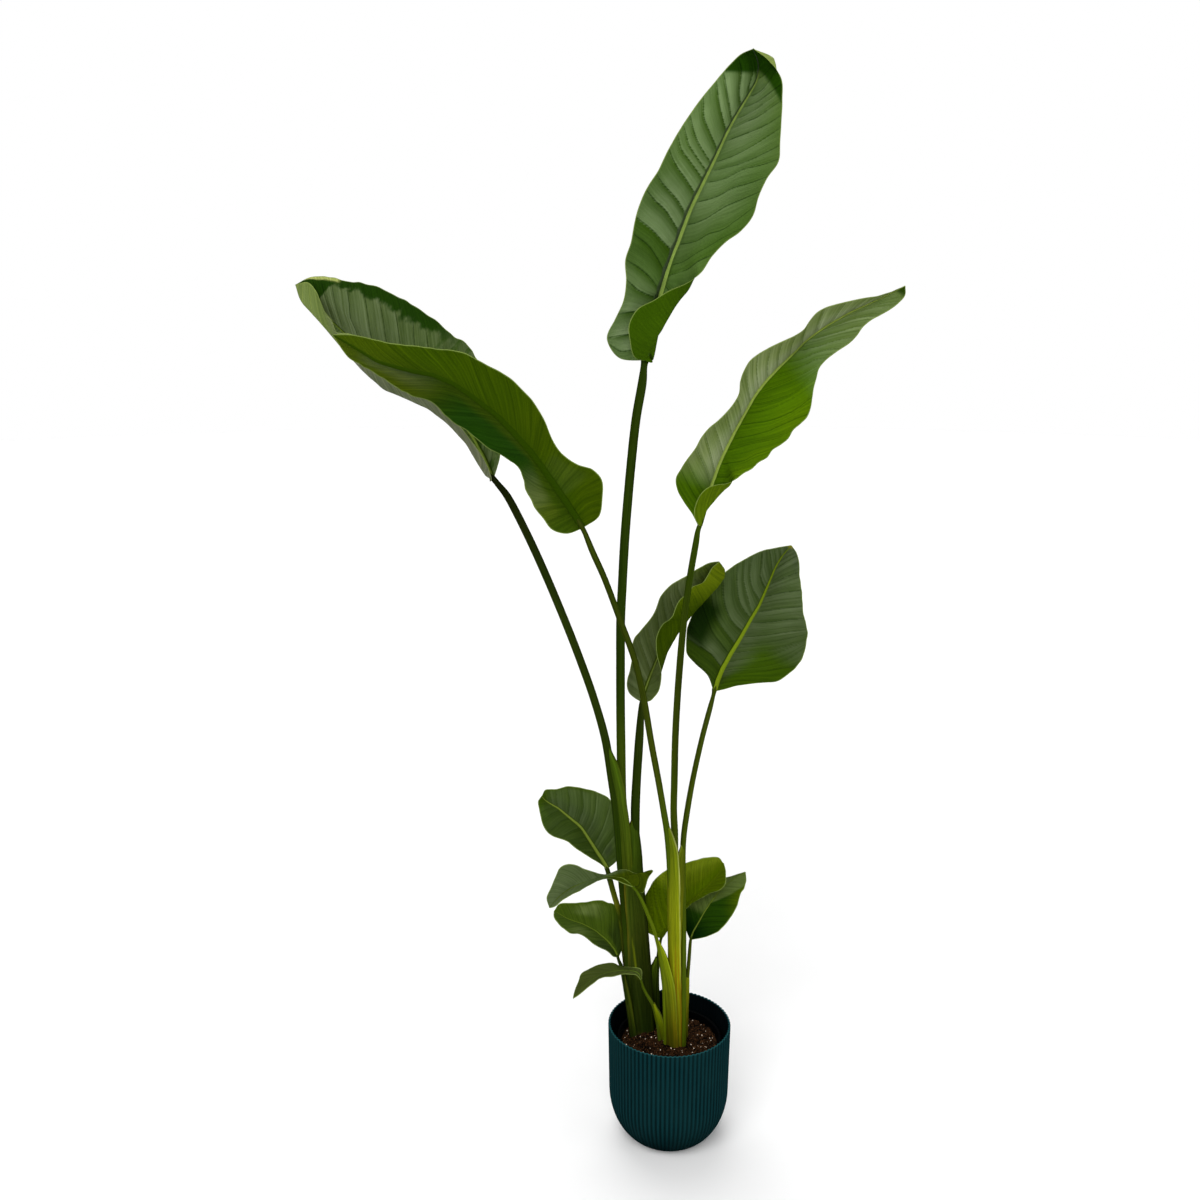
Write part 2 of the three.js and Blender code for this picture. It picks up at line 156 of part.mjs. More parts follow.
    [[247.7, 26.1, 1478.8], [246.4, 26.4, 1469.2], [245.1, 29.4, 1458.9], [243.7, 35.1, 1448], [248.5, 16.1, 1437.3], [253.3, 3.8, 1424.9], [258, -1.7, 1411]],
    [[262.6, 29.6, 1482.4], [260.7, 29.8, 1474], [258.8, 32.3, 1465], [256.9, 37.1, 1455.5], [262, 19.3, 1445.2], [267, 7.9, 1433.3], [272.1, 3, 1419.9]],
    [[277.3, 33.1, 1485.5], [274.9, 33.1, 1478.5], [272.5, 35.1, 1471], [270.1, 39.2, 1463], [274.7, 22.9, 1453.8], [279.2, 12.5, 1443.2], [283.8, 7.9, 1431.3]],
    [[291.6, 36, 1488.4], [288.9, 35.9, 1482.6], [286.3, 37.5, 1476.3], [283.7, 40.8, 1469.7], [287, 26.5, 1462.4], [290.2, 17.1, 1454], [293.5, 12.5, 1444.5]],
    [[305.5, 38.3, 1490.7], [302.8, 38.2, 1486.1], [300.2, 39.4, 1481.2], [297.5, 42.1, 1475.9], [300.5, 29.4, 1469.8], [303.6, 21, 1462.8], [306.6, 16.9, 1454.7]],
    [[319.2, 40.5, 1492.5], [316.5, 40.4, 1489.3], [313.9, 41.3, 1485.8], [311.3, 43.4, 1482.1], [314.9, 32.4, 1476.5], [318.5, 25.2, 1470], [322.1, 22, 1462.5]],
    [[331.7, 41.9, 1496.2], [329.4, 41.7, 1493.8], [327.1, 42.4, 1491.3], [324.8, 44, 1488.5], [329, 34.9, 1483.4], [333.3, 29.3, 1477.4], [337.5, 27.1, 1470.6]],
    [[343.7, 42.7, 1499.9], [341.8, 42.5, 1498.4], [339.9, 42.9, 1496.9], [338, 44, 1495.1], [342.6, 37.2, 1491], [347.2, 33.3, 1486.1], [351.8, 32.3, 1480.5]],
    [[354.6, 42.6, 1504.4], [353.5, 42.5, 1503.6], [352.3, 42.7, 1502.7], [351.1, 43.3, 1501.7], [355.2, 39.2, 1499.3], [359.4, 37.2, 1496.4], [363.5, 37.3, 1493.1]],
    [[363.5, 41.3, 1509], [363.6, 41.2, 1508.7], [363.7, 41.1, 1508.4], [363.9, 41, 1508.1], [364, 40.9, 1507.8], [364.1, 40.8, 1507.5], [364.2, 40.7, 1507.2]],
  ],
  e: [
    [[-53.9, 62.3, 804.7], [-53.1, 62.2, 804.5], [-52.3, 62.1, 804.4], [-51.6, 62, 804.2], [-50.8, 61.9, 804.1], [-50, 61.8, 803.9], [-49.2, 61.7, 803.8]],
    [[-64.6, 64.7, 810.7], [-59.6, 63.1, 812], [-54.5, 62.6, 813], [-49.5, 63.2, 813.8], [-45.4, 61.6, 811.5], [-41.4, 60.8, 809.1], [-37.3, 60.8, 806.4]],
    [[-74.1, 67.2, 819.7], [-65.1, 64.4, 821.3], [-56.1, 63.4, 822.5], [-47, 64.4, 823.2], [-41.3, 61.6, 820.5], [-35.6, 59.9, 817.4], [-29.9, 59.3, 814.2]],
    [[-77.7, 69.6, 831.7], [-66.4, 65.9, 832.5], [-55.1, 64.5, 832.7], [-43.8, 65.5, 832.4], [-36.7, 61.5, 829.5], [-29.7, 58.5, 826.3], [-23.7, 57.1, 823.4]],
    [[-76.9, 72.1, 844], [-64.8, 67.7, 843.8], [-52.7, 65.9, 843], [-40.6, 66.6, 841.6], [-33, 60.6, 839.3], [-25.6, 55.5, 836.8], [-20.7, 52.9, 835]],
    [[-73.3, 74.5, 855.8], [-61.3, 69.7, 854.7], [-49.2, 67.4, 853], [-37.1, 67.7, 850.7], [-29.8, 58.6, 849.5], [-22.8, 50.4, 848.2], [-19.4, 46.9, 847.4]],
    [[-71.2, 76.9, 867.9], [-58.6, 71.4, 865.8], [-46.1, 68.7, 863.1], [-33.6, 68.7, 859.8], [-27.3, 56.4, 859.9], [-21.3, 44.7, 860], [-19.3, 41, 860]],
    [[-69.4, 78.9, 880], [-56.3, 73, 877], [-43.1, 69.9, 873.2], [-30, 69.8, 868.8], [-22.1, 63.8, 872.4], [-14.2, 57.9, 875.9], [-21.3, 36.3, 871.8]],
    [[-69.1, 80.7, 892.3], [-54.8, 74.2, 888.2], [-40.5, 70.9, 883.4], [-26.3, 70.9, 877.8], [-18.6, 63.4, 882.7], [-11, 56, 887.7], [-24.3, 31.4, 883.6]],
    [[-68.2, 81.9, 904.5], [-52.9, 75.1, 899.4], [-37.7, 71.8, 893.4], [-22.5, 71.9, 886.7], [-14.9, 63.2, 892.8], [-7.3, 54.4, 899], [-27.2, 26.8, 895.1]],
    [[-63.9, 82.9, 916], [-48.9, 76.1, 910], [-33.8, 72.8, 903.2], [-18.7, 73, 895.6], [-10.5, 63.4, 902.5], [-2.3, 53.8, 909.3], [-29.2, 23.1, 906.6]],
    [[-56.2, 83.6, 925.2], [-42.3, 77.1, 919], [-28.3, 74, 912], [-14.4, 74.1, 904.3], [-5.9, 63.6, 911.9], [2.6, 53.1, 919.6], [-30.1, 21, 917.7]],
    [[-48.5, 84.3, 934.5], [-35.8, 78.1, 928], [-23, 75.1, 920.9], [-10.2, 75.2, 913], [-0.9, 64, 921.4], [8.3, 52.9, 929.9], [-30, 20.9, 928.2]],
    [[-41.1, 84.8, 943.7], [-29.3, 79, 937], [-17.5, 76.1, 929.6], [-5.8, 76.2, 921.6], [4.8, 64.8, 930.9], [15.3, 53.3, 940.2], [-27.6, 21.4, 938.2]],
    [[-34.3, 85.2, 953.2], [-23.2, 79.7, 946.1], [-12.1, 77.1, 938.4], [-1, 77.3, 930], [10.6, 65.4, 940.2], [22.2, 53.6, 950.4], [-23.5, 22, 947.5]],
    [[-28.8, 85.7, 963.5], [-18, 80.3, 955.8], [-7.1, 77.9, 947.4], [3.7, 78.3, 938.3], [16, 66.3, 948.4], [28.4, 54.3, 958.5], [-17.7, 22.7, 955.6]],
    [[-25.2, 86.1, 974.4], [-14, 80.8, 965.9], [-2.7, 78.5, 956.6], [8.5, 79.4, 946.7], [21.1, 67.4, 955.5], [33.7, 55.4, 964.3], [-9.4, 23.5, 961.3]],
    [[-21.5, 86.7, 985], [-9.8, 81.4, 975.7], [1.9, 79.3, 965.7], [13.5, 80.5, 954.9], [26.2, 68.5, 962.5], [38.9, 56.5, 970.1], [-2.9, 24.5, 968.4]],
    [[-15.4, 87.3, 994.3], [-4.1, 82.1, 984.6], [7.2, 80.2, 974.2], [18.5, 81.6, 963.1], [31.7, 69.8, 969.8], [45, 58, 976.5], [0.6, 25.9, 977.8]],
    [[-8.4, 87.9, 1002.4], [2.3, 83, 992.7], [13, 81.3, 982.3], [23.7, 82.7, 971.1], [37.6, 71.2, 977.2], [51.5, 59.8, 983.4], [4.4, 28.7, 986.8]],
    [[-0.3, 88.6, 1009.5], [9.4, 84, 1000.1], [19.2, 82.5, 989.9], [29, 83.8, 979.1], [43.5, 72.7, 984.6], [58, 61.6, 990.2], [10, 32.8, 994.4]],
    [[8.6, 89.2, 1014.9], [17.2, 85.2, 1006.2], [25.8, 83.8, 996.9], [34.3, 85, 987], [49.2, 74.5, 991.7], [64.1, 64, 996.3], [17.6, 37.8, 1000.1]],
    [[17.7, 89.8, 1019.8], [25.2, 86.2, 1012], [32.6, 85, 1003.6], [40, 86.1, 994.7], [55.1, 76.3, 998.4], [70.1, 66.5, 1002.1], [25.6, 43.1, 1005.1]],
    [[26.5, 90.4, 1024.8], [32.9, 87.3, 1017.8], [39.4, 86.2, 1010.3], [45.8, 87.2, 1002.3], [61, 78.1, 1005.1], [76.1, 69, 1007.9], [31.4, 48.4, 1012.6]],
    [[34.9, 91, 1030.2], [40.4, 88.3, 1023.9], [46, 87.4, 1017.1], [51.5, 88.4, 1010], [66, 80.2, 1011.5], [80.6, 72, 1013.1], [40.9, 53.8, 1015.5]],
    [[43.1, 91.6, 1035.4], [47.8, 89.3, 1029.8], [52.5, 88.6, 1023.9], [57.2, 89.5, 1017.6], [70.9, 82.3, 1017.9], [84.6, 75.2, 1018.1], [50.3, 59.9, 1018.2]],
    [[51.4, 92.2, 1039.9], [55.3, 90.4, 1035.3], [59.1, 89.8, 1030.4], [62.9, 90.6, 1025.3], [75.8, 84.5, 1024.2], [88.6, 78.4, 1023.2], [56.7, 66.7, 1025.3]],
    [[59.6, 92.3, 1044.4], [62.6, 90.9, 1040.8], [65.7, 90.6, 1037], [68.7, 91.2, 1032.9], [78.8, 86.6, 1031.2], [89, 82, 1029.5], [62.1, 73.5, 1033]],
    [[68.2, 92.2, 1047.1], [70.3, 91.4, 1045], [72.4, 91.2, 1042.9], [74.5, 91.6, 1040.5], [81.7, 88.6, 1038.3], [88.9, 85.5, 1036.1], [68, 80.6, 1040.4]],
    [[80, 92.9, 1048.4], [80.1, 92.6, 1048.3], [80.2, 92.3, 1048.2], [80.3, 92, 1048.2], [80.4, 91.7, 1048.1], [80.5, 91.4, 1048.1], [80.6, 91.1, 1048]],
  ],
  f: [
    [[73.5, 75, 821], [74.3, 75, 820.7], [75, 75, 820.5], [75.8, 75, 820.2], [76.5, 75, 820], [77.3, 75, 819.7], [78.1, 75, 819.5]],
    [[63.1, 76, 848.3], [68.4, 74.4, 842.5], [73.6, 74.9, 836.2], [78.8, 77.5, 829.4], [84.4, 73.9, 828.3], [89.9, 72.2, 826.7], [95.4, 72.6, 824.6]],
    [[42.6, 77.1, 867.9], [55.7, 73.9, 859.1], [68.8, 74.9, 849.3], [81.9, 79.9, 838.6], [91.9, 73.2, 836.7], [101.8, 70, 834], [111.8, 70.5, 830.4]],
    [[27.1, 78.3, 885.4], [46.7, 73.9, 874.1], [66.2, 75.3, 861.5], [85.7, 82.6, 847.5], [99.7, 72.9, 844], [113.7, 68.4, 839.4], [127.7, 69, 833.5]],
    [[24.9, 79.7, 902.4], [46.4, 75.7, 888.4], [68, 77.6, 873.1], [89.5, 85.3, 856.3], [107, 73.1, 850.9], [124.4, 67.4, 844], [141.8, 68.3, 835.5]],
    [[25.4, 81.5, 916.9], [48.4, 77.9, 900.8], [71.4, 80.2, 883.4], [94.4, 88.3, 864.6], [114.6, 74, 857], [134.8, 67.4, 847.6], [155, 68.5, 836.4]],
    [[26.2, 83.1, 929.7], [50.6, 80, 912.1], [75, 82.7, 893.2], [99.3, 91.3, 872.9], [122, 76.1, 862.8], [144.7, 68.5, 850.9], [167.3, 68.8, 837.2]],
    [[29.4, 84.6, 940.6], [54.4, 82, 922.2], [79.3, 85.3, 902.3], [104.2, 94.4, 881.1], [129.2, 78.2, 868.6], [154.1, 69.8, 854.2], [179, 69.2, 838]],
    [[32.9, 86.6, 950.2], [58.4, 84.5, 931.2], [84, 88.2, 910.9], [109.5, 97.8, 889.1], [136.1, 80.8, 875.1], [162.6, 71.6, 859.2], [189.2, 70.2, 841.5]],
    [[36.7, 88.8, 958.8], [62.8, 87.1, 939.6], [88.9, 91.2, 919], [115, 101.2, 897], [142.8, 83.6, 882.2], [170.5, 73.7, 865.6], [198.3, 71.7, 847.1]],
    [[41.3, 91.3, 966.4], [67.7, 89.9, 947.3], [94, 94.4, 926.8], [120.4, 104.7, 905], [149.1, 86.5, 889.6], [177.9, 76.2, 872.4], [206.7, 73.7, 853.4]],
    [[45.9, 94.2, 973.7], [72.4, 93, 954.9], [99, 97.7, 934.6], [125.6, 108.2, 913], [155.4, 89.7, 897], [185.3, 79.1, 879.2], [215.1, 76.3, 859.5]],
    [[50.7, 97.7, 980.9], [77.3, 96.5, 962.4], [104, 101.2, 942.5], [130.7, 111.7, 921.2], [161, 93.2, 905.1], [191.4, 82.6, 887.1], [221.8, 79.7, 867.4]],
    [[56.1, 101.2, 988.2], [82.6, 100.1, 969.9], [109.2, 104.7, 950.3], [135.8, 115.2, 929.3], [166.7, 96.8, 913.3], [197.6, 86.2, 895.3], [228.5, 83.4, 875.6]],
    [[61.9, 105, 996], [88.2, 103.7, 977.9], [114.6, 108.3, 958.4], [140.9, 118.8, 937.5], [171.5, 100.5, 922], [202.1, 90, 904.7], [232.6, 87.4, 885.6]],
    [[69.4, 109.1, 1003.4], [95, 107.8, 985.4], [120.7, 112.3, 966.1], [146.4, 122.7, 945.4], [176.2, 104.6, 930.9], [206.1, 94.3, 914.6], [236, 91.8, 896.5]],
    [[77.5, 113.2, 1010.6], [102.2, 111.8, 992.9], [127, 116.3, 973.8], [151.8, 126.6, 953.4], [180.6, 108.8, 940], [209.4, 98.7, 924.8], [238.2, 96.4, 907.7]],
    [[86.1, 117.5, 1017.3], [109.7, 116, 1000], [133.4, 120.4, 981.4], [157.1, 130.6, 961.4], [184.6, 113, 949.1], [212.2, 103.2, 935], [239.7, 101.3, 919.1]],
    [[94.8, 122.4, 1023.8], [117.1, 120.8, 1007.2], [139.3, 125.1, 989.2], [161.5, 135.2, 969.8], [187, 117.9, 958.5], [212.4, 108.4, 945.3], [237.9, 106.8, 930.4]],
    [[104.3, 127.3, 1029.6], [124.8, 125.6, 1013.8], [145.4, 129.8, 996.7], [165.9, 139.8, 978.3], [189.2, 122.8, 967.9], [212.5, 113.7, 955.7], [235.8, 112.3, 941.7]],
    [[113.9, 132.2, 1035.4], [132.7, 130.4, 1020.5], [151.5, 134.5, 1004.3], [170.3, 144.4, 986.8], [191.3, 127.8, 977.3], [212.4, 119, 966.1], [233.4, 118, 953]],
    [[124.2, 137.5, 1040.1], [141, 135.7, 1026.5], [157.8, 139.6, 1011.5], [174.5, 149.2, 995.3], [193.9, 133, 986.9], [213.3, 124.7, 976.7], [232.7, 124.1, 964.7]],
    [[134.7, 143.1, 1044.8], [149.4, 141.6, 1032.3], [164.1, 145.3, 1018.7], [178.8, 154, 1003.8], [196.7, 139.1, 996.4], [214.6, 131.3, 987.2], [232.6, 130.7, 976.4]],
    [[145.5, 149.7, 1048.9], [158.1, 148.5, 1037.7], [170.6, 151.8, 1025.5], [183.2, 159.5, 1012.2], [199.5, 146, 1005.7], [215.9, 139, 997.6], [232.2, 138.5, 988]],
    [[156.8, 156.6, 1052.5], [167.1, 155.7, 1042.7], [177.4, 158.6, 1032.1], [187.6, 165.3, 1020.6], [202.3, 153.4, 1015], [216.9, 147.3, 1008], [231.6, 147, 999.6]],
    [[168.5, 164, 1055.2], [176.6, 163.3, 1047.1], [184.8, 165.7, 1038.2], [192.9, 171.2, 1028.6], [205.6, 161.2, 1024], [218.4, 156.1, 1018.2], [231.1, 156, 1011.3]],
    [[181, 171.8, 1056], [187, 171.3, 1049.9], [193, 173.2, 1043.3], [199, 177.3, 1036.2], [209.8, 169.3, 1032.8], [220.5, 165.4, 1028.4], [231.3, 165.6, 1023.1]],
    [[193.7, 179.6, 1056.7], [197.6, 179.3, 1052.7], [201.5, 180.6, 1048.3], [205.4, 183.4, 1043.5], [213.9, 177.6, 1041.4], [222.4, 174.9, 1038.5], [230.9, 175.4, 1034.9]],
    [[206.5, 187.3, 1057.2], [208.6, 187.1, 1055.1], [210.8, 187.7, 1052.7], [212.9, 189.2, 1050.2], [217.9, 186, 1049.4], [223, 184.7, 1048.1], [228, 185.1, 1046.5]],
    [[219.6, 195.2, 1057.5], [219.9, 195.2, 1057.3], [220.1, 195.1, 1057.1], [220.4, 195, 1056.9], [220.6, 194.9, 1056.7], [220.9, 194.8, 1056.5], [221.1, 194.8, 1056.3]],
  ],
  g: [
    [[-112.7, 61.4, 488.5], [-112.2, 61.6, 488.7], [-111.8, 61.8, 488.9], [-111.4, 62, 489.1], [-110.9, 62.2, 489.3], [-110.5, 62.4, 489.6], [-110, 62.6, 489.8]],
    [[-121.9, 60.3, 497.7], [-119.9, 61.1, 497.7], [-118, 62.2, 497.5], [-116, 63.7, 497.3], [-108.3, 64, 499.9], [-100.5, 66.1, 502.1], [-92.8, 69.8, 504]],
    [[-130.2, 59, 504.4], [-127.1, 60.5, 504.8], [-124, 62.8, 505.1], [-120.8, 65.6, 505.2], [-111.2, 67, 512.2], [-101.6, 70.9, 518.6], [-92, 77.3, 524.4]],
    [[-138.3, 58.2, 509.7], [-134.2, 60.6, 510.9], [-130.2, 63.8, 511.9], [-126.1, 67.9, 512.7], [-114.9, 70.2, 522.9], [-103.8, 75.8, 532.5], [-92.6, 84.6, 541.2]],
    [[-145.7, 57.9, 514.9], [-140.9, 61, 516.9], [-136.1, 65.1, 518.6], [-131.2, 70.4, 520.1], [-118.5, 73.4, 533.3], [-105.8, 80.3, 545.5], [-93.1, 91.2, 556.9]],
    [[-152.9, 57.4, 519.9], [-147.4, 61.3, 522.8], [-141.8, 66.5, 525.3], [-136.3, 73.1, 527.6], [-122.4, 76.8, 543.2], [-108.5, 85, 557.7], [-94.5, 97.7, 571.2]],
    [[-159.8, 56.8, 525.2], [-153.7, 61.5, 528.8], [-147.5, 67.8, 532.1], [-141.4, 75.7, 535.1], [-126.6, 80.3, 552.6], [-111.7, 89.8, 569], [-96.9, 104.1, 584.3]],
    [[-166.8, 56.4, 530.4], [-160, 61.9, 534.8], [-153.3, 69.3, 538.8], [-146.5, 78.4, 542.5], [-131.7, 84.1, 561.4], [-116.9, 94.7, 579.2], [-102.2, 110.2, 595.9]],
    [[-173.6, 56.7, 536], [-166.3, 62.9, 541.1], [-159, 71, 545.7], [-151.7, 81.1, 549.8], [-137.9, 87.7, 569.2], [-124.1, 99.2, 587.5], [-110.3, 115.5, 604.7]],
    [[-180.5, 58, 542], [-172.7, 64.5, 547.5], [-164.8, 73.1, 552.6], [-157, 83.8, 557.2], [-145.3, 90.9, 575.9], [-133.6, 102.8, 593.5], [-121.9, 119.6, 610]],
    [[-189.1, 60.5, 545.9], [-180.5, 66.9, 552.3], [-172, 75.5, 558.2], [-163.4, 86.3, 563.5], [-153.6, 93.5, 581.7], [-143.8, 105.4, 598.8], [-134, 122.1, 614.8]],
    [[-199, 64, 547.7], [-189.6, 69.8, 555.3], [-180.2, 78.1, 562.5], [-170.7, 88.7, 569], [-162.7, 95.6, 586.3], [-154.6, 106.9, 602.6], [-146.6, 122.7, 617.9]],
    [[-209.2, 68.3, 549.5], [-198.8, 73.3, 558.5], [-188.5, 80.9, 566.8], [-178.1, 91.1, 574.5], [-171.7, 97.3, 590.8], [-165.4, 107.7, 606.1], [-159, 122.1, 620.5]],
    [[-218.5, 73.1, 554], [-207.5, 77.3, 563.3], [-196.5, 84, 572], [-185.5, 93.3, 580.1], [-180.7, 98.7, 595.3], [-175.9, 107.8, 609.7], [-171.2, 120.5, 623.3]],
    [[-225.4, 78.2, 561.4], [-214.6, 81.5, 570], [-203.7, 87.3, 578.1], [-192.9, 95.6, 585.6], [-189.6, 99.9, 599.7], [-186.2, 107.6, 613.1], [-182.9, 118.5, 625.6]],
    [[-229.8, 83.2, 570.8], [-220, 85.9, 578.1], [-210.1, 90.8, 584.9], [-200.3, 97.8, 591.1], [-198.2, 101.4, 602.7], [-196.1, 107.6, 613.7], [-194, 116.6, 624]],
    [[-232.6, 88, 581.5], [-224.6, 90.1, 586.6], [-216.6, 94, 591.2], [-208.6, 99.6, 595.5], [-207.2, 102.4, 604.8], [-205.9, 107.3, 613.6], [-204.6, 114.3, 621.8]],
    [[-235.3, 93, 592.4], [-229.1, 94.5, 595.2], [-223, 97.2, 597.8], [-216.8, 101.1, 600], [-216.2, 102.8, 608.1], [-215.7, 106.2, 615.7], [-215.1, 111.3, 622.9]],
    [[-237.1, 97.8, 604], [-232.9, 98.5, 604.7], [-228.8, 99.9, 605.2], [-224.6, 102, 605.5], [-224.6, 102.5, 611.6], [-224.5, 104.2, 617.3], [-224.5, 107.3, 622.8]],
    [[-231.4, 101.7, 612.7], [-231.2, 101.8, 612.9], [-231, 101.9, 613], [-230.8, 102, 613.2], [-230.6, 102.1, 613.3], [-230.4, 102.2, 613.5], [-230.2, 102.3, 613.6]],
  ],
  h: [
    [[-66.3, -25.6, 498.9], [-66.5, -26.1, 498.7], [-66.7, -26.5, 498.6], [-66.9, -27, 498.4], [-67, -27.5, 498.2], [-67.2, -27.9, 498.1], [-67.4, -28.4, 497.9]],
    [[-50.5, -18, 482.8], [-58, -22.4, 490.6], [-65.6, -25.4, 498.1], [-73.2, -27, 505.2], [-74.6, -28.4, 504.3], [-75.9, -29.6, 503.4], [-77.3, -30.5, 502.3]],
    [[-41.4, -18.3, 510.2], [-54.3, -23, 510.9], [-67.3, -26, 511.1], [-80.3, -27.3, 510.9], [-81.9, -30, 509.9], [-83.5, -32.4, 508.8], [-85.1, -34.3, 507.5]],
    [[-33.7, -19.8, 525.6], [-51.9, -24.8, 522.8], [-70, -27.6, 519.4], [-88.2, -28, 515.5], [-89.7, -32, 514.9], [-91.2, -35.5, 514.2], [-92.7, -38.5, 513.3]],
    [[-58.8, -17.2, 518.5], [-71.5, -23.2, 518.8], [-84.3, -27.5, 518.6], [-97, -30.1, 518], [-98.1, -35.6, 518.7], [-99.3, -40.4, 519.2], [-100.4, -44.7, 519.5]],
    [[-75.9, -16, 523.8], [-85.9, -23.1, 522.9], [-95.8, -28.8, 521.7], [-105.8, -33.1, 520.1], [-106.7, -40.2, 521.7], [-107.6, -46.4, 523.2], [-108.6, -51.9, 524.5]],
    [[-87.4, -15.7, 525.4], [-96.5, -24.2, 524.5], [-105.5, -31.3, 523.2], [-114.6, -36.9, 521.6], [-115.3, -45.3, 524], [-115.9, -52.7, 526.2], [-116.6, -59.2, 528.2]],
    [[-96.5, -16.8, 524.3], [-105.5, -26.4, 524], [-114.4, -34.6, 523.3], [-123.3, -41.2, 522.4], [-123.7, -50.3, 524.6], [-124, -58.4, 526.6], [-124.4, -65.4, 528.4]],
    [[-103.9, -18.1, 520.1], [-113.2, -28.9, 521.2], [-122.5, -38.1, 521.9], [-131.8, -45.6, 522.1], [-131.8, -55.1, 524.3], [-131.9, -63.5, 526.2], [-131.9, -70.9, 527.9]],
    [[-113.2, -20.3, 519], [-122.2, -31.9, 520.3], [-131.2, -41.8, 521.2], [-140.2, -50, 521.7], [-139.9, -59.7, 523.6], [-139.5, -68.4, 525.2], [-139.2, -75.9, 526.6]],
    [[-125.1, -23.7, 521.6], [-132.9, -35.1, 521.5], [-140.7, -45, 521], [-148.5, -53.4, 520.2], [-147.7, -63.1, 521.7], [-147, -71.7, 522.9], [-146.2, -79.3, 523.9]],
    [[-137.8, -29, 527.9], [-144.1, -39.7, 525.2], [-150.4, -49, 522.1], [-156.7, -56.8, 518.7], [-155.5, -66.2, 519.7], [-154.4, -74.7, 520.4], [-153.2, -82, 520.9]],
    [[-151.1, -34.6, 535.7], [-155.6, -44.2, 529.5], [-160.1, -52.4, 523], [-164.6, -59.2, 516.1], [-163.2, -68.2, 516.7], [-161.7, -76.2, 517.1], [-160.3, -83.2, 517.3]],
    [[-164.6, -40.5, 545.3], [-167.2, -49.1, 535], [-169.9, -56.1, 524.4], [-172.5, -61.5, 513.3], [-170.8, -70, 513.6], [-169.1, -77.5, 513.7], [-167.4, -84, 513.5]],
    [[-180, -46.2, 549.5], [-180, -53.8, 536.5], [-179.9, -59.5, 523.1], [-179.9, -63.5, 509.4], [-178.1, -71, 509.4], [-176.3, -77.7, 509.3], [-174.5, -83.5, 509]],
    [[-193.5, -52.6, 545.2], [-191.3, -58.7, 532.3], [-189.2, -62.9, 518.9], [-187.1, -65.4, 505], [-185.3, -71.2, 504.6], [-183.5, -76.3, 504.1], [-181.7, -80.8, 503.4]],
    [[-201.2, -58.2, 531], [-198.7, -62.4, 520.8], [-196.2, -65.3, 510.3], [-193.6, -66.7, 499.5], [-192, -70.7, 498.8], [-190.3, -74.3, 498], [-188.7, -77.3, 497.1]],
    [[-208.2, -62.5, 514.5], [-205.4, -65.2, 507.6], [-202.6, -67, 500.6], [-199.8, -67.7, 493.3], [-198.2, -70.4, 492.3], [-196.6, -72.7, 491.2], [-195, -74.6, 489.9]],
    [[-215.8, -65.6, 496.6], [-212.4, -67, 493.3], [-208.9, -67.8, 489.8], [-205.4, -68, 486.2], [-204.1, -69.4, 485.1], [-202.8, -70.5, 483.9], [-201.5, -71.3, 482.7]],
    [[-211.5, -67.8, 479.2], [-211.3, -67.9, 479], [-211.1, -67.9, 478.9], [-210.9, -68, 478.7], [-210.7, -68.1, 478.6], [-210.5, -68.1, 478.4], [-210.3, -68.2, 478.3]],
  ],
  i: [
    [[-92.9, 49.5, 320.6], [-92.4, 49.7, 320.9], [-92, 49.8, 321.1], [-91.5, 50, 321.3], [-91, 50.2, 321.5], [-90.6, 50.3, 321.7], [-90.1, 50.5, 321.9]],
    [[-101.2, 48.1, 323.2], [-99.2, 48.6, 325], [-97.2, 49.5, 326.7], [-95.2, 50.9, 328.3], [-91.3, 51.7, 331], [-87.5, 53.2, 333.5], [-83.6, 55.5, 335.7]],
    [[-108, 46.4, 331.2], [-105, 47.6, 332.7], [-101.9, 49.4, 334.1], [-98.9, 51.9, 335.4], [-93.8, 53.6, 340.3], [-88.6, 56.6, 344.9], [-83.4, 60.8, 349.2]],
    [[-115.1, 45.1, 337.4], [-111.2, 46.9, 339], [-107.4, 49.6, 340.4], [-103.5, 53.1, 341.6], [-97.1, 55.8, 348.4], [-90.7, 60.1, 354.8], [-84.3, 66.1, 360.9]],
    [[-123.2, 43.9, 341.8], [-118.2, 46.4, 344.1], [-113.2, 49.9, 346.1], [-108.2, 54.4, 347.8], [-100.6, 57.9, 356.3], [-93.1, 63.5, 364.2], [-85.5, 71.2, 371.8]],
    [[-130.8, 42.5, 347.1], [-125, 45.6, 349.5], [-119.3, 50, 351.5], [-113.6, 55.6, 353.3], [-104.7, 60.1, 363.4], [-95.9, 67, 372.9], [-87.1, 76.4, 381.9]],
    [[-138.1, 40.8, 352.9], [-131.9, 44.7, 354.9], [-125.7, 50, 356.7], [-119.6, 56.7, 358.1], [-109.4, 62.2, 369.8], [-99.3, 70.5, 380.9], [-89.1, 81.7, 391.2]],
    [[-144.5, 39.2, 359.7], [-138.2, 43.9, 361.2], [-131.9, 50.1, 362.3], [-125.6, 57.8, 363], [-114.7, 64.2, 376.1], [-103.8, 73.9, 388.4], [-92.9, 86.7, 399.9]],
    [[-150.8, 38.3, 366.1], [-144.4, 43.6, 367.1], [-138, 50.4, 367.7], [-131.6, 58.9, 367.9], [-121.1, 66.3, 381.4], [-110.6, 76.9, 394.1], [-100.2, 90.9, 406.1]],
    [[-157.6, 38.1, 371.1], [-151.2, 43.8, 371.7], [-144.7, 51.1, 371.9], [-138.3, 60, 371.7], [-129.1, 68.1, 384.3], [-119.9, 79.3, 396.1], [-110.7, 93.7, 407.1]],
    [[-165, 39.1, 373], [-158.3, 44.8, 374.2], [-151.7, 52.1, 375], [-145.1, 61, 375.4], [-136.9, 69.2, 388.2], [-128.8, 80.5, 400.2], [-120.6, 94.8, 411.6]],
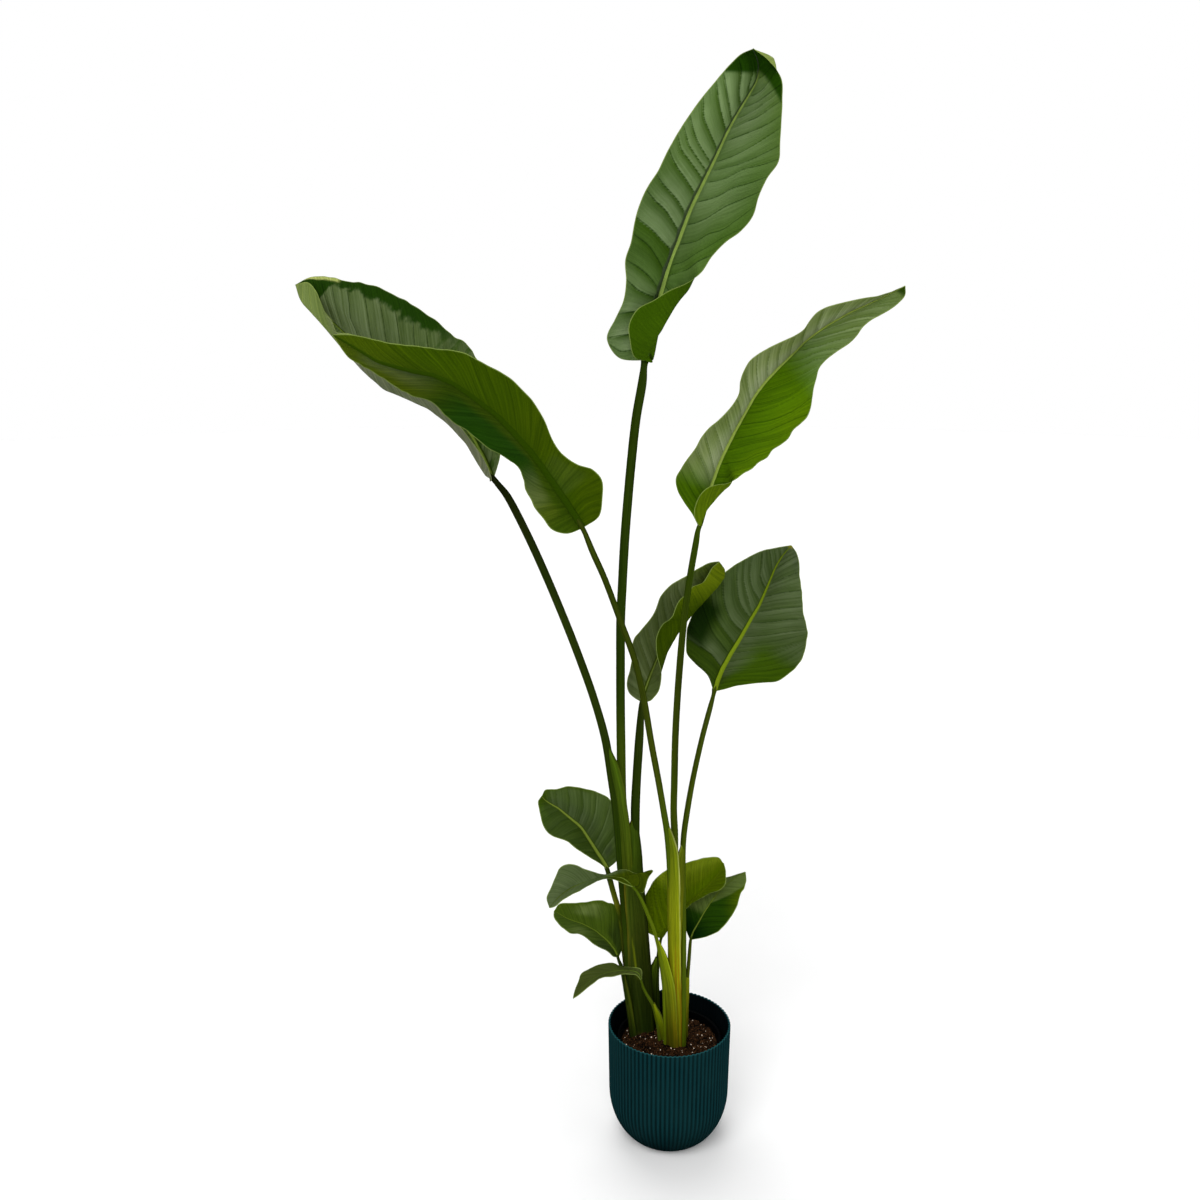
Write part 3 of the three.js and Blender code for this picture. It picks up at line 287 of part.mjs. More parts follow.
    [[-172.9, 41.2, 371.9], [-166, 46.5, 374.6], [-159, 53.4, 376.8], [-152, 62.1, 378.6], [-145.2, 70.1, 390.4], [-138.3, 80.8, 401.6], [-131.4, 94.4, 412.1]],
    [[-180.2, 43.9, 372.6], [-173.1, 48.6, 376], [-166.1, 55.1, 379], [-159.1, 63.2, 381.6], [-153.4, 70.6, 392], [-147.6, 80.5, 401.8], [-141.9, 92.9, 411]],
    [[-186.5, 47, 375.5], [-179.9, 51.2, 378.6], [-173.2, 56.9, 381.3], [-166.6, 64.2, 383.6], [-161.8, 70.8, 393], [-157, 79.5, 401.8], [-152.3, 90.5, 410.1]],
    [[-192.5, 50.3, 378.7], [-186.3, 53.9, 381.4], [-180.2, 58.8, 383.7], [-174, 65.1, 385.8], [-170.2, 70.7, 394.5], [-166.4, 78.2, 402.7], [-162.6, 87.6, 410.5]],
    [[-198, 53.2, 382.2], [-192.5, 56.2, 384.5], [-186.9, 60.4, 386.6], [-181.4, 65.7, 388.4], [-178.5, 70.2, 396.3], [-175.6, 76.5, 403.9], [-172.7, 84.4, 411.1]],
    [[-202.4, 56, 386.8], [-197.8, 58.4, 388.7], [-193.1, 61.7, 390.4], [-188.4, 66, 391.8], [-186.5, 69.5, 399.2], [-184.6, 74.5, 406.2], [-182.6, 80.9, 412.9]],
    [[-206.7, 59, 391.1], [-202.9, 60.5, 392.9], [-199, 62.9, 394.6], [-195.1, 66, 396.1], [-194.2, 68.2, 402.7], [-193.3, 71.7, 409.1], [-192.4, 76.4, 415.2]],
    [[-209.3, 61.9, 396.1], [-206.8, 62.6, 397.7], [-204.3, 63.8, 399.2], [-201.9, 65.5, 400.6], [-201.5, 66.5, 405.6], [-201.2, 68.3, 410.4], [-200.8, 70.9, 414.9]],
    [[-209, 64.7, 404.4], [-208.9, 64.8, 404.7], [-208.7, 64.9, 404.9], [-208.6, 65, 405.1], [-208.5, 65.1, 405.3], [-208.3, 65.2, 405.5], [-208.2, 65.3, 405.7]],
  ],
  j: [
    [[-52.7, -28.1, 318.9], [-52.3, -27.7, 319.1], [-52, -27.4, 319.3], [-51.7, -27, 319.5], [-51.3, -26.6, 319.7], [-51, -26.3, 319.9], [-50.6, -25.9, 320.1]],
    [[-61.2, -33.7, 332.4], [-59.8, -32.4, 332.6], [-58.4, -30.9, 332.8], [-56.9, -29.3, 332.9], [-55.4, -27.9, 335.1], [-53.8, -26.1, 337.1], [-52.3, -24, 339.1]],
    [[-72.7, -41.3, 338.5], [-71, -38.9, 339.6], [-69.4, -36.2, 340.6], [-67.8, -33.3, 341.6], [-68.8, -30.3, 342.1], [-69.9, -26.9, 342.5], [-70.9, -23.1, 342.7]],
    [[-84.1, -47.9, 342.8], [-82.7, -44.8, 343.6], [-81.4, -41.4, 344.3], [-80.1, -37.6, 344.9], [-82.7, -33.4, 344.6], [-85.4, -28.4, 344.1], [-88, -22.8, 343.4]],
    [[-95.1, -53.6, 343.2], [-94.2, -50, 344.4], [-93.2, -45.9, 345.5], [-92.3, -41.5, 346.5], [-95.9, -35.8, 347.7], [-99.5, -29.1, 348.7], [-103.1, -21.5, 349.4]],
    [[-106.2, -58.6, 343.5], [-105.6, -54.5, 344.6], [-104.9, -50, 345.7], [-104.3, -45.1, 346.6], [-109.3, -38.2, 347.3], [-114.3, -30.1, 347.7], [-119.3, -20.9, 347.9]],
    [[-117.5, -62.4, 345.7], [-117, -58.2, 345.8], [-116.6, -53.5, 345.7], [-116.1, -48.4, 345.6], [-122.2, -41.1, 345.4], [-128.2, -32.4, 344.9], [-134.2, -22.4, 344.2]],
    [[-127.9, -64.6, 342.8], [-127.8, -60.6, 342.7], [-127.6, -56.1, 342.6], [-127.4, -51.3, 342.4], [-134.2, -44.5, 341.8], [-140.9, -36.3, 341], [-147.7, -26.7, 339.8]],
    [[-136.8, -65.1, 335.5], [-137.1, -61.6, 336], [-137.5, -57.7, 336.4], [-137.8, -53.5, 336.8], [-144.7, -47.7, 336.1], [-151.5, -40.6, 335], [-158.4, -32.3, 333.7]],
    [[-145.4, -64.6, 327.2], [-146.1, -61.8, 328.2], [-146.8, -58.7, 329.1], [-147.5, -55.3, 330], [-152.6, -50.7, 328.2], [-157.7, -45.1, 326.1], [-162.8, -38.6, 323.9]],
    [[-154, -63.5, 318.5], [-154.7, -61.4, 319.5], [-155.4, -59, 320.4], [-156.1, -56.5, 321.2], [-159.7, -53.2, 319.3], [-163.3, -49.1, 317.2], [-166.8, -44.3, 315]],
    [[-162.8, -60.8, 309], [-163.3, -59.7, 309.9], [-163.7, -58.4, 310.7], [-164.2, -57, 311.5], [-166.3, -55.2, 310.4], [-168.4, -53.1, 309.1], [-170.5, -50.5, 307.7]],
    [[-171.7, -57.7, 300.9], [-171.8, -57.5, 301], [-171.9, -57.2, 301.1], [-172, -57, 301.2], [-172.1, -56.8, 301.2], [-172.2, -56.5, 301.3], [-172.3, -56.3, 301.4]],
  ],
  k: [
    [[-16.5, 44.9, 361.7], [-16, 45, 361.4], [-15.5, 45, 361.2], [-15, 45, 361], [-14.6, 45, 360.7], [-14.1, 45, 360.5], [-13.6, 45.1, 360.3]],
    [[-40.9, 45.5, 374.2], [-30.8, 46.7, 372.6], [-20.6, 46.1, 371.4], [-10.4, 43.8, 370.5], [-9.3, 44.6, 370], [-8.2, 45.3, 369.5], [-7.1, 45.8, 369.1]],
    [[-52, 45.6, 394.7], [-36.6, 47.3, 389.2], [-21.1, 46.2, 384.3], [-5.6, 42.4, 380], [-4.1, 43.9, 379.1], [-2.5, 45.2, 378.4], [-1, 46.2, 377.7]],
    [[-55.8, 44.8, 414.9], [-37.4, 46.9, 405.6], [-18.9, 45.5, 397.1], [-0.4, 40.7, 389.3], [1.3, 42.8, 388.3], [3.1, 44.5, 387.4], [4.9, 45.9, 386.6]],
    [[-51.5, 43.7, 433.3], [-32.8, 45.8, 420.8], [-14, 44.3, 409.3], [4.7, 39, 398.6], [6.9, 41.6, 397.4], [9.2, 43.8, 396.2], [11.4, 45.5, 395.1]],
    [[-43.5, 42.6, 447.9], [-25.4, 44.7, 433.4], [-7.4, 43, 419.8], [10.7, 37.6, 407.1], [13.1, 40.6, 405.8], [15.5, 43.1, 404.6], [17.9, 45.2, 403.6]],
    [[-36.3, 41.4, 461.7], [-18.7, 43.5, 445.4], [-1, 41.8, 430], [16.6, 36.1, 415.5], [19.2, 39.5, 414.3], [21.7, 42.4, 413.1], [24.2, 44.8, 412.1]],
    [[-29.7, 40, 475], [-12.2, 42, 457], [5.4, 40.1, 439.9], [23, 34.3, 423.7], [25.6, 38, 422.6], [28.2, 41.2, 421.6], [30.8, 43.8, 420.7]],
    [[-21.2, 38.7, 485.8], [-4.3, 40.5, 466.9], [12.6, 38.4, 448.8], [29.4, 32.5, 431.7], [32.2, 36.5, 430.7], [34.9, 39.9, 429.8], [37.7, 42.8, 429]],
    [[-11.2, 37.8, 494.7], [4.5, 39.4, 475.4], [20.2, 37, 457], [35.9, 30.8, 439.5], [39.2, 35.1, 438.1], [42.5, 38.8, 436.7], [45.8, 41.8, 435.5]],
    [[-0.5, 37.1, 502.2], [13.8, 38.3, 483], [28.1, 35.7, 464.7], [42.4, 29.1, 447.3], [46.3, 33.7, 445.3], [50.2, 37.6, 443.4], [54.1, 40.7, 441.8]],
    [[11.1, 36.1, 507.5], [23.7, 36.8, 489.2], [36.3, 33.8, 471.8], [48.9, 27.2, 455.2], [53.5, 32, 452.5], [58.1, 36, 450], [62.6, 39.2, 447.7]],
    [[22.5, 34.9, 512.7], [33.5, 35.1, 495.3], [44.4, 31.9, 478.8], [55.4, 25.3, 463], [60.6, 30.2, 459.8], [65.9, 34.1, 456.7], [71.1, 37.2, 453.9]],
    [[33.7, 33.4, 517.1], [43.1, 33.2, 501], [52.4, 29.8, 485.6], [61.7, 23.5, 471], [67.9, 28.2, 466.6], [74.1, 31.9, 462.4], [80.2, 34.5, 458.6]],
    [[44.7, 31.5, 521.1], [52.5, 30.9, 506.5], [60.2, 27.6, 492.4], [67.9, 21.6, 479], [75, 26.1, 473.5], [82.2, 29.3, 468.2], [89.3, 31.4, 463.3]],
    [[55.3, 28.8, 525.3], [61.5, 28.2, 512], [67.7, 25.3, 499.3], [73.8, 19.9, 487.2], [81.3, 23.8, 481.8], [88.7, 26.6, 476.7], [96.2, 28.2, 471.8]],
    [[65.7, 25.6, 528.2], [70.2, 25.1, 516.9], [74.8, 22.6, 506.1], [79.3, 18.2, 495.7], [85.8, 21.4, 491.4], [92.2, 23.6, 487.4], [98.7, 24.9, 483.6]],
    [[75.7, 21.8, 530.9], [78.6, 21.6, 521.8], [81.5, 19.8, 513], [84.4, 16.5, 504.6], [89, 18.8, 501.5], [93.5, 20.4, 498.7], [98.1, 21.3, 496]],
    [[85.1, 18, 531.1], [86.2, 18.1, 525.1], [87.4, 17.1, 519.3], [88.6, 15.2, 513.8], [91.4, 16.4, 511.9], [94.2, 17.3, 510], [97, 17.7, 508.3]],
    [[91.6, 14.1, 523.5], [91.9, 14.1, 523.4], [92.1, 14, 523.3], [92.4, 14, 523.2], [92.6, 14, 523.1], [92.8, 13.9, 523], [93.1, 13.9, 522.9]],
  ],
  l: [
    [[35.1, 12.7, 377], [35.6, 12.4, 376.9], [36.1, 12.2, 376.9], [36.6, 12, 376.8], [37.1, 11.8, 376.7], [37.5, 11.6, 376.6], [38, 11.3, 376.5]],
    [[29.2, 23.3, 388.3], [32.6, 19.9, 386.9], [36, 17.4, 385.3], [39.4, 15.6, 383.6], [43, 13, 382.3], [46.7, 11.1, 380.9], [50.4, 9.9, 379.3]],
    [[26.1, 34.2, 398.5], [31.6, 28, 396], [37.1, 23.1, 393.1], [42.7, 19.5, 390], [48.9, 14.7, 387.8], [55.1, 11.1, 385.3], [61.3, 8.9, 382.5]],
    [[24.4, 45, 405.8], [32, 36.2, 402.8], [39.5, 29.3, 399.4], [47.1, 24.1, 395.5], [54.9, 17.7, 392.6], [62.7, 12.8, 389.3], [70.6, 9.6, 385.7]],
    [[24.2, 55.3, 411.8], [33.3, 44.1, 408.8], [42.4, 35.1, 405.3], [51.5, 28.3, 401.3], [60.6, 20.4, 397.7], [69.7, 14.4, 393.7], [78.8, 10.3, 389.3]],
    [[26.4, 65.3, 416.9], [36.2, 51.8, 414.3], [46, 40.8, 411], [55.8, 32.3, 407.2], [65.9, 22.9, 403], [76, 15.8, 398.3], [86.1, 10.9, 393.1]],
    [[28.3, 74.4, 421.8], [38.9, 58.8, 419.6], [49.5, 46.1, 416.7], [60.1, 36.2, 413.2], [70.7, 25.8, 408.9], [81.2, 17.8, 404], [91.8, 12.1, 398.6]],
    [[33, 81.4, 426.4], [43.6, 64.6, 424.6], [54.2, 50.8, 422.2], [64.8, 40, 419], [75.7, 28.9, 414.4], [86.5, 20.4, 409.2], [97.3, 14.3, 403.4]],
    [[37.6, 85.7, 432.2], [48.3, 68.7, 430.5], [59, 54.7, 428], [69.7, 43.7, 424.8], [80.6, 32.6, 419.8], [91.6, 23.9, 414.3], [102.5, 17.8, 408.1]],
    [[43.8, 88.9, 437.7], [54.1, 72.2, 436], [64.3, 58.4, 433.7], [74.5, 47.5, 430.6], [85.5, 36.6, 425.3], [96.5, 28.3, 419.3], [107.5, 22.4, 412.7]],
    [[51.9, 91.2, 442.6], [61.2, 75, 441.1], [70.5, 61.6, 439], [79.8, 50.9, 436.3], [90.7, 40.6, 430.6], [101.7, 32.8, 424.4], [112.7, 27.5, 417.6]],
    [[60.4, 93, 447.2], [68.6, 77.5, 446], [76.9, 64.6, 444.2], [85.1, 54.3, 441.9], [95.8, 44.8, 436], [106.5, 37.7, 429.7], [117.2, 32.9, 422.7]],
    [[70.2, 94.5, 449.1], [76.9, 79.9, 449.1], [83.7, 67.6, 448.6], [90.5, 57.7, 447.5], [100.8, 49, 441.5], [111.2, 42.7, 435], [121.5, 38.7, 428]],
    [[80, 95.6, 451.3], [85.6, 81.9, 452.1], [91.2, 70.3, 452.5], [96.8, 60.9, 452.3], [106, 53.3, 446.7], [115.1, 47.7, 440.6], [124.3, 44.2, 434]],
    [[90, 96.1, 453.2], [94.4, 83.5, 454.9], [98.8, 72.8, 456.2], [103.2, 64.1, 457], [111.1, 57.5, 451.8], [119.1, 52.7, 446.2], [127.1, 49.7, 440.1]],
    [[99.8, 94.8, 456], [103.2, 83.9, 458.2], [106.5, 74.6, 460.1], [109.8, 67, 461.6], [116.6, 61.5, 456.8], [123.3, 57.5, 451.7], [130.1, 55.1, 446.2]],
    [[109.5, 91.8, 459.8], [112, 83, 462.1], [114.4, 75.6, 464.1], [116.9, 69.6, 465.7], [123.1, 65.1, 461.2], [129.3, 62, 456.3], [135.6, 60.3, 451.1]],
    [[118.9, 87.6, 465], [120.6, 81.5, 466.9], [122.3, 76.3, 468.5], [124, 72.1, 469.9], [128.8, 68.9, 466], [133.6, 66.7, 461.8], [138.4, 65.7, 457.4]],
    [[128.2, 82.1, 470.8], [129.3, 78.9, 471.7], [130.5, 76.2, 472.5], [131.6, 74, 473.2], [134.6, 72.2, 470.3], [137.6, 71.1, 467.3], [140.6, 70.8, 464]],
    [[139, 76.6, 477.1], [139.1, 76.4, 476.9], [139.2, 76.2, 476.8], [139.3, 76, 476.6], [139.4, 75.8, 476.5], [139.5, 75.6, 476.3], [139.6, 75.4, 476.2]],
  ],
};

const STALKS = {
  b: [[-62.7, 27, 184.3, 7, 8.6],
      [-68.7, 26, 278.8, 7.2, 8.6],
      [-76.4, 24, 369.3, 7.2, 8.4],
      [-82.7, 23, 447.9, 7, 7.8],
      [-87.7, 21.5, 506.3, 7, 7.4],
      [-91.5, 21, 563.6, 7.5, 7.4],
      [-96.2, 21.5, 619.7, 7.9, 7.7],
      [-103.8, 23, 674.8, 7.7, 7.5],
      [-115, 28, 746.4, 7.5, 7.3],
      [-134.3, 36, 816.2, 7.3, 7.2],
      [-158.5, 46, 884.9, 7.3, 7.2],
      [-185.2, 57, 953, 7.2, 7.1],
      [-213.7, 69, 1020.5, 7.2, 7.1],
      [-244.3, 81, 1087.8, 7.1, 7],
      [-278.6, 92, 1155.1, 6.8, 6.6],
      [-299.6, 98, 1182.5, 5.3, 5.2]],
  a: [[-47.1, 27, 184.3, 7, 8.6],
      [-53.2, 27, 278.2, 7.2, 8.6],
      [-60.1, 29, 366.6, 7.2, 8.6],
      [-68.5, 33, 442.9, 6.8, 8],
      [-75, 37.5, 498.8, 6.8, 7.4],
      [-80.7, 39.8, 555.2, 7.3, 7.5],
      [-85.2, 40.6, 611.7, 7.8, 7.8],
      [-87.2, 39.1, 668.5, 7.8, 7.6],
      [-88.5, 39.1, 742.4, 7.8, 7.6],
      [-89.5, 38, 815.6, 7.7, 7.5],
      [-89.8, 39, 886.9, 7.7, 7.5],
      [-89.8, 41, 957, 7.7, 7.5],
      [-86.8, 43, 1026.2, 7.6, 7.4],
      [-83.4, 46, 1094.3, 7.6, 7.4],
      [-78.4, 49, 1161.6, 7.6, 7.4],
      [-72.6, 52, 1228.1, 7.6, 7.4],
      [-65.6, 55, 1293.8, 7.6, 7.4],
      [-56, 58, 1350.6, 7.4, 7.1],
      [-52.8, 60, 1380.4, 5.6, 5.5]],
  e: [[-31.6, 27, 184.3, 7, 8.6],
      [-37.5, 27, 278.2, 7.2, 8.6],
      [-44, 27, 367.7, 7.2, 8.4],
      [-52.9, 26, 446.4, 7, 8],
      [-58.6, 26, 504.2, 6.8, 7.4],
      [-62.1, 28, 560.5, 7.3, 7.4],
      [-62.9, 33, 614.9, 8, 7.6],
      [-60.7, 40, 668.2, 7.7, 7.4],
      [-56.3, 52, 737.9, 7.5, 7.2],
      [-52.6, 61, 794.5, 5.1, 5]],
  c: [[3.3, -20, 184.3, 5.7, 7],
      [2.1, -21, 276.7, 5.7, 7],
      [1, -22, 374.9, 5.7, 7],
      [-1.7, -23.5, 471.2, 5.7, 6.6],
      [-4.4, -25, 537.7, 5.6, 6],
      [-9.2, -29, 595.1, 5.8, 5.7],
      [-16.2, -34, 639.3, 5.6, 5.5],
      [-26.6, -42, 700.2, 5.6, 5.5],
      [-40.3, -52, 774.7, 5.5, 5.4],
      [-52.5, -61, 847.2, 5.5, 5.4],
      [-68.6, -72, 918.5, 5.3, 5.3],
      [-92.6, -86, 988.8, 5.2, 5.2],
      [-116.6, -102, 1057.6, 5.1, 5.1],
      [-136.1, -113, 1104.5, 5, 5],
      [-148, -119, 1135.5, 4.1, 4.1]],
  d: [[14.3, -12, 184.3, 5.6, 7],
      [12.9, -12, 271.3, 5.6, 7],
      [11.2, -12, 369.4, 5.6, 7],
      [8.4, -12.5, 465.7, 5.5, 6.4],
      [5.8, -14, 532.5, 5.3, 5.8],
      [4, -14, 588.4, 6.1, 6],
      [1.6, -15, 635, 5.9, 5.7],
      [1.8, -17, 690.4, 5.9, 5.7],
      [2.2, -19, 763, 5.8, 5.6],
      [4.5, -22, 834.7, 5.8, 5.6],
      [8.2, -25, 905.1, 5.7, 5.5],
      [13.4, -28, 974.3, 5.5, 5.4],
      [20.9, -32, 1042.4, 5.4, 5.3],
      [29.3, -37, 1101.3, 5.2, 5.1],
      [32.6, -40, 1125.5, 4.1, 4.1]],
  f: [[24.4, -20, 184.3, 5.6, 7],
      [22.6, -20, 276.1, 5.6, 7],
      [21.8, -18, 372.7, 5.5, 6.8],
      [20.2, -11, 465, 5.2, 5.8],
      [19.7, -4, 527.8, 4.8, 5],
      [20.2, 1, 572.5, 5.1, 5],
      [25.3, 6, 616.9, 5.2, 5],
      [35.6, 15, 677.9, 4.9, 4.8],
      [51.2, 34, 744.2, 4.8, 4.6],
      [65.9, 56, 791.6, 4.7, 4.5],
      [73.6, 71, 814.2, 3.7, 3.6]],
  g: [[-61.4, 42, 184.3, 3.9, 4.4],
      [-66.4, 43, 268.9, 4.2, 4.4],
      [-74, 44, 338.6, 4.6, 4.6],
      [-86.6, 47, 400.5, 5, 4.8],
      [-97.8, 53, 436.8, 5.1, 4.9],
      [-107.4, 60, 470.6, 5.1, 4.9],
      [-110.1, 61.5, 482.5, 4.4, 4.2]],
  h: [[-8, -22, 184.3, 3.4, 4],
      [-9.7, -26, 250.1, 3.4, 4],
      [-11.9, -29, 301.1, 3.3, 3.6],
      [-16.1, -31, 350.9, 3.3, 3.4],
      [-28, -31, 408.6, 3.2, 3.2],
      [-41.4, -30, 446.1, 3.2, 3.2],
      [-52.9, -28.5, 473.7, 3, 3],
      [-62.5, -27.5, 491.1, 2.3, 2.3]],
  i: [[-66.6, 13.5, 184.3, 3.8, 3.8],
      [-71.5, 11, 237.5, 3.8, 3.8],
      [-78.4, 12, 277, 3.8, 3.8],
      [-85.8, 26, 312.8, 3.7, 3.6],
      [-90.6, 46, 316.5, 2.9, 2.8]],
  j: [[-15.9, -9, 184.3, 4.2, 5],
      [-21.9, -12, 231.6, 4, 4.6],
      [-30.4, -16, 263.8, 3.4, 3.6],
      [-41.5, -21, 286.6, 2.9, 2.9],
      [-48.8, -25, 304.6, 2.5, 2.5],
      [-51.1, -27, 313.6, 2, 2]],
  k: [[-18.8, 42, 184.3, 5, 5.5],
      [-20.8, 43, 248.6, 4.8, 5],
      [-20.6, 44, 298.6, 3.9, 4],
      [-17.7, 45, 338.1, 3.3, 3.3],
      [-15.5, 45, 354, 2.6, 2.6]],
  l: [[30.1, 1, 184.3, 4, 4.2],
      [30.6, 1, 243.6, 4, 4],
      [31.3, 2.4, 298.5, 3.4, 3.4],
      [33.9, 6, 339.9, 3.3, 3.2],
      [36.1, 11, 370.5, 2.8, 2.8]],
};

// ---------------------------------------------------------------- small helpers
const material = (color, roughness, metalness = 0) =>
  new THREE.MeshStandardMaterial({ color, roughness, metalness });

const TEAL = material(0x0a3338, 0.55);
const BLACK_PLASTIC = material(0x101210, 0.6);
const SOIL_BROWN = material(0x33231b, 0.95);
const LEAF_GREEN = material(0x3f6b28, 0.45);
const LEAF_LIGHT = material(0x5f8a16, 0.5);
const STALK_DARK = material(0x2f4a0c, 0.5);
const STALK_LIGHT = material(0x6f8a1c, 0.5);

const group = new THREE.Group();
group.name = 'potted_white_bird_of_paradise';

function weld(geometry) {
  geometry.deleteAttribute('normal');
  geometry.deleteAttribute('uv');
  const welded = mergeVertices(geometry, 1e-4);
  welded.computeVertexNormals();
  return welded;
}

function add(name, geometry, mat) {
  const mesh = new THREE.Mesh(weld(geometry), mat);
  mesh.name = name;
  group.add(mesh);
}

// A lathe turned about +Z from [radius, height] pairs that run up the outside and down the inside.
function turned(profile, segments) {
  const points = profile.map(([r, z]) => new THREE.Vector2(r, z));
  const geometry = new THREE.LatheGeometry(points, segments);
  geometry.rotateX(Math.PI / 2);
  return geometry;
}

// Catmull-Rom between rows of numbers, with straight run-outs at both ends.
function between(rows, x) {
  const n = rows.length;
  const i = Math.min(Math.floor(x), n - 2);
  const f = x - i;
  const p1 = rows[i];
  const p2 = rows[i + 1];
  const p0 = i > 0 ? rows[i - 1] : p1.map((v, k) => 2 * v - p2[k]);
  const p3 = i + 2 < n ? rows[i + 2] : p2.map((v, k) => 2 * v - p1[k]);
  return p1.map((v, k) => 0.5 * (2 * v + (p2[k] - p0[k]) * f
    + (2 * p0[k] - 5 * v + 4 * p2[k] - p3[k]) * f * f
    + (3 * v - p0[k] - 3 * p2[k] + p3[k]) * f * f * f));
}

// A point of the blade's middle surface: u from petiole to tip, v from left to right margin.
function bladePoint(grid, u, v) {
  const row = [];
  for (let k = 0; k < 7; k++) row.push(between(grid.map((station) => station[k]), u * (grid.length - 1)));
  const x = v * 6;
  return new THREE.Vector3(...(x <= 3 ? between(row.slice(0, 4), x) : between(row.slice(3), x - 3)));
}

// A thin closed leaf: a flat box, cut into cells, laid over the middle surface.
function blade(grid, along, across, thickness) {
  const geometry = new THREE.BoxGeometry(1, 1, 1, across, along, 1);
  const position = geometry.attributes.position;
  const e = 1e-3;
  for (let i = 0; i < position.count; i++) {
    const u = position.getY(i) + 0.5;
    const v = position.getX(i) + 0.5;
    const p = bladePoint(grid, u, v);
    const du = bladePoint(grid, Math.min(u + e, 1), v).sub(bladePoint(grid, Math.max(u - e, 0), v));
    const dv = bladePoint(grid, u, Math.min(v + e, 1)).sub(bladePoint(grid, u, Math.max(v - e, 0)));
    const normal = dv.cross(du).normalize();
    p.addScaledVector(normal, position.getZ(i) * thickness);
    position.setXYZ(i, p.x, p.y, p.z);
  }
  // The back's cells are cut along the same diagonal as the front's, so the two faces stay
  // parallel where the leaf is twisted or folded.
  const index = geometry.index;
  const { start, count } = geometry.groups[5];
  for (let i = start; i < start + count; i += 6) {
    const [a, b, c, d] = [index.getX(i), index.getX(i + 1), index.getX(i + 4), index.getX(i + 5)];
    [a, b, c, a, c, d].forEach((corner, k) => index.setX(i + k, corner));
  }
  return geometry;
}

// A closed stalk of oval section that follows its centre line and changes in width along it.
function stalk(points, steps) {
  const geometry = new THREE.CylinderGeometry(1, 1, 1, STALK_SIDES, steps, false);
  const position = geometry.attributes.position;
  const n = points.length - 1;
  for (let i = 0; i < position.count; i++) {
    const x = position.getX(i);
    const z = position.getZ(i);
    const t = position.getY(i) + 0.5;
    const [cx, cy, cz, rx, ry] = between(points, t * n);
    const a = between(points, Math.max(t - 0.01, 0) * n);
    const b = between(points, Math.min(t + 0.01, 1) * n);
    const axis = new THREE.Vector3(b[0] - a[0], b[1] - a[1], b[2] - a[2]).normalize();
    if (t < 1e-6) axis.set(0, 0, 1);
    const side = new THREE.Vector3(1, 0, 0).addScaledVector(axis, -axis.x).normalize();
    const back = new THREE.Vector3().crossVectors(side, axis);
    const p = new THREE.Vector3(cx, cy, cz).addScaledVector(side, x * rx).addScaledVector(back, z * ry);
    position.setXYZ(i, p.x, p.y, p.z);
  }
  return geometry;
}

// ---------------------------------------------------------------- cover pot
const footRadius = (z, drop = POT_FOOT_DROP, out = POT_KNEE_R) =>
  POT_FOOT_R + (out - POT_FOOT_R) * Math.sqrt(Math.max(0, 1 - ((POT_KNEE_Z - z) / drop) ** 2));

const outside = [[0, 0], [POT_BASE_R, 0]];
for (const z of [2.5, 9, 19, 33, 52, 73]) outside.push([footRadius(z), z]);
outside.push([POT_KNEE_R, POT_KNEE_Z], [POT_RIM_R, POT_H]);
const inside = [[POT_RIM_R - POT_WALL, POT_H], [POT_KNEE_R - POT_WALL, POT_KNEE_Z]];
for (const z of [66, 42, 22, 11]) inside.push([footRadius(z) - POT_WALL - 1, z]);
inside.push([64.5, POT_FLOOR], [0, POT_FLOOR]);
add('cover_pot', turned([...outside, ...inside], POT_SEGMENTS), TEAL);

// ---------------------------------------------------------------- grower's pot
const growerRadius = (z) => GROWER_BASE_R + (GROWER_RIM_R - GROWER_BASE_R) * (z - GROWER_Z) / GROWER_H;
const growerTop = GROWER_Z + GROWER_H;
add('grower_pot', turned([
  [0, GROWER_Z], [GROWER_BASE_R, GROWER_Z],
  [growerRadius(growerTop - GROWER_LIP_H), growerTop - GROWER_LIP_H],
  [GROWER_LIP_R, growerTop - GROWER_LIP_H], [GROWER_LIP_R, growerTop],
  [growerRadius(growerTop) - GROWER_WALL, growerTop],
  [GROWER_BASE_R - GROWER_WALL, GROWER_Z + GROWER_WALL], [0, GROWER_Z + GROWER_WALL],
], GROWER_SEGMENTS), BLACK_PLASTIC);

// ---------------------------------------------------------------- soil and root ball
const soilBottom = GROWER_Z + GROWER_WALL + GAP;
add('potting_soil', turned([
  [0, soilBottom], [growerRadius(soilBottom) - GROWER_WALL - 2 * GAP, soilBottom],
  [growerRadius(SOIL_TOP) - GROWER_WALL - 2 * GAP, SOIL_TOP], [0, SOIL_TOP],
], GROWER_SEGMENTS), SOIL_BROWN);

// ---------------------------------------------------------------- leaves
const LARGE = 'abcdef';
for (const key of Object.keys(BLADES)) {
  const large = LARGE.includes(key);
  const pale = key === 'k' || key === 'c';
  add(`leaf_${key}_blade`, blade(BLADES[key], large ? 20 : 12, large ? 12 : 8, BLADE_THICKNESS),
    pale ? LEAF_LIGHT : LEAF_GREEN);
  const points = STALKS[key];
  add(`leaf_${key}_stalk`, stalk(points, large ? 18 : 8), 'cdfj'.includes(key) ? STALK_LIGHT : STALK_DARK);
}

export default group;
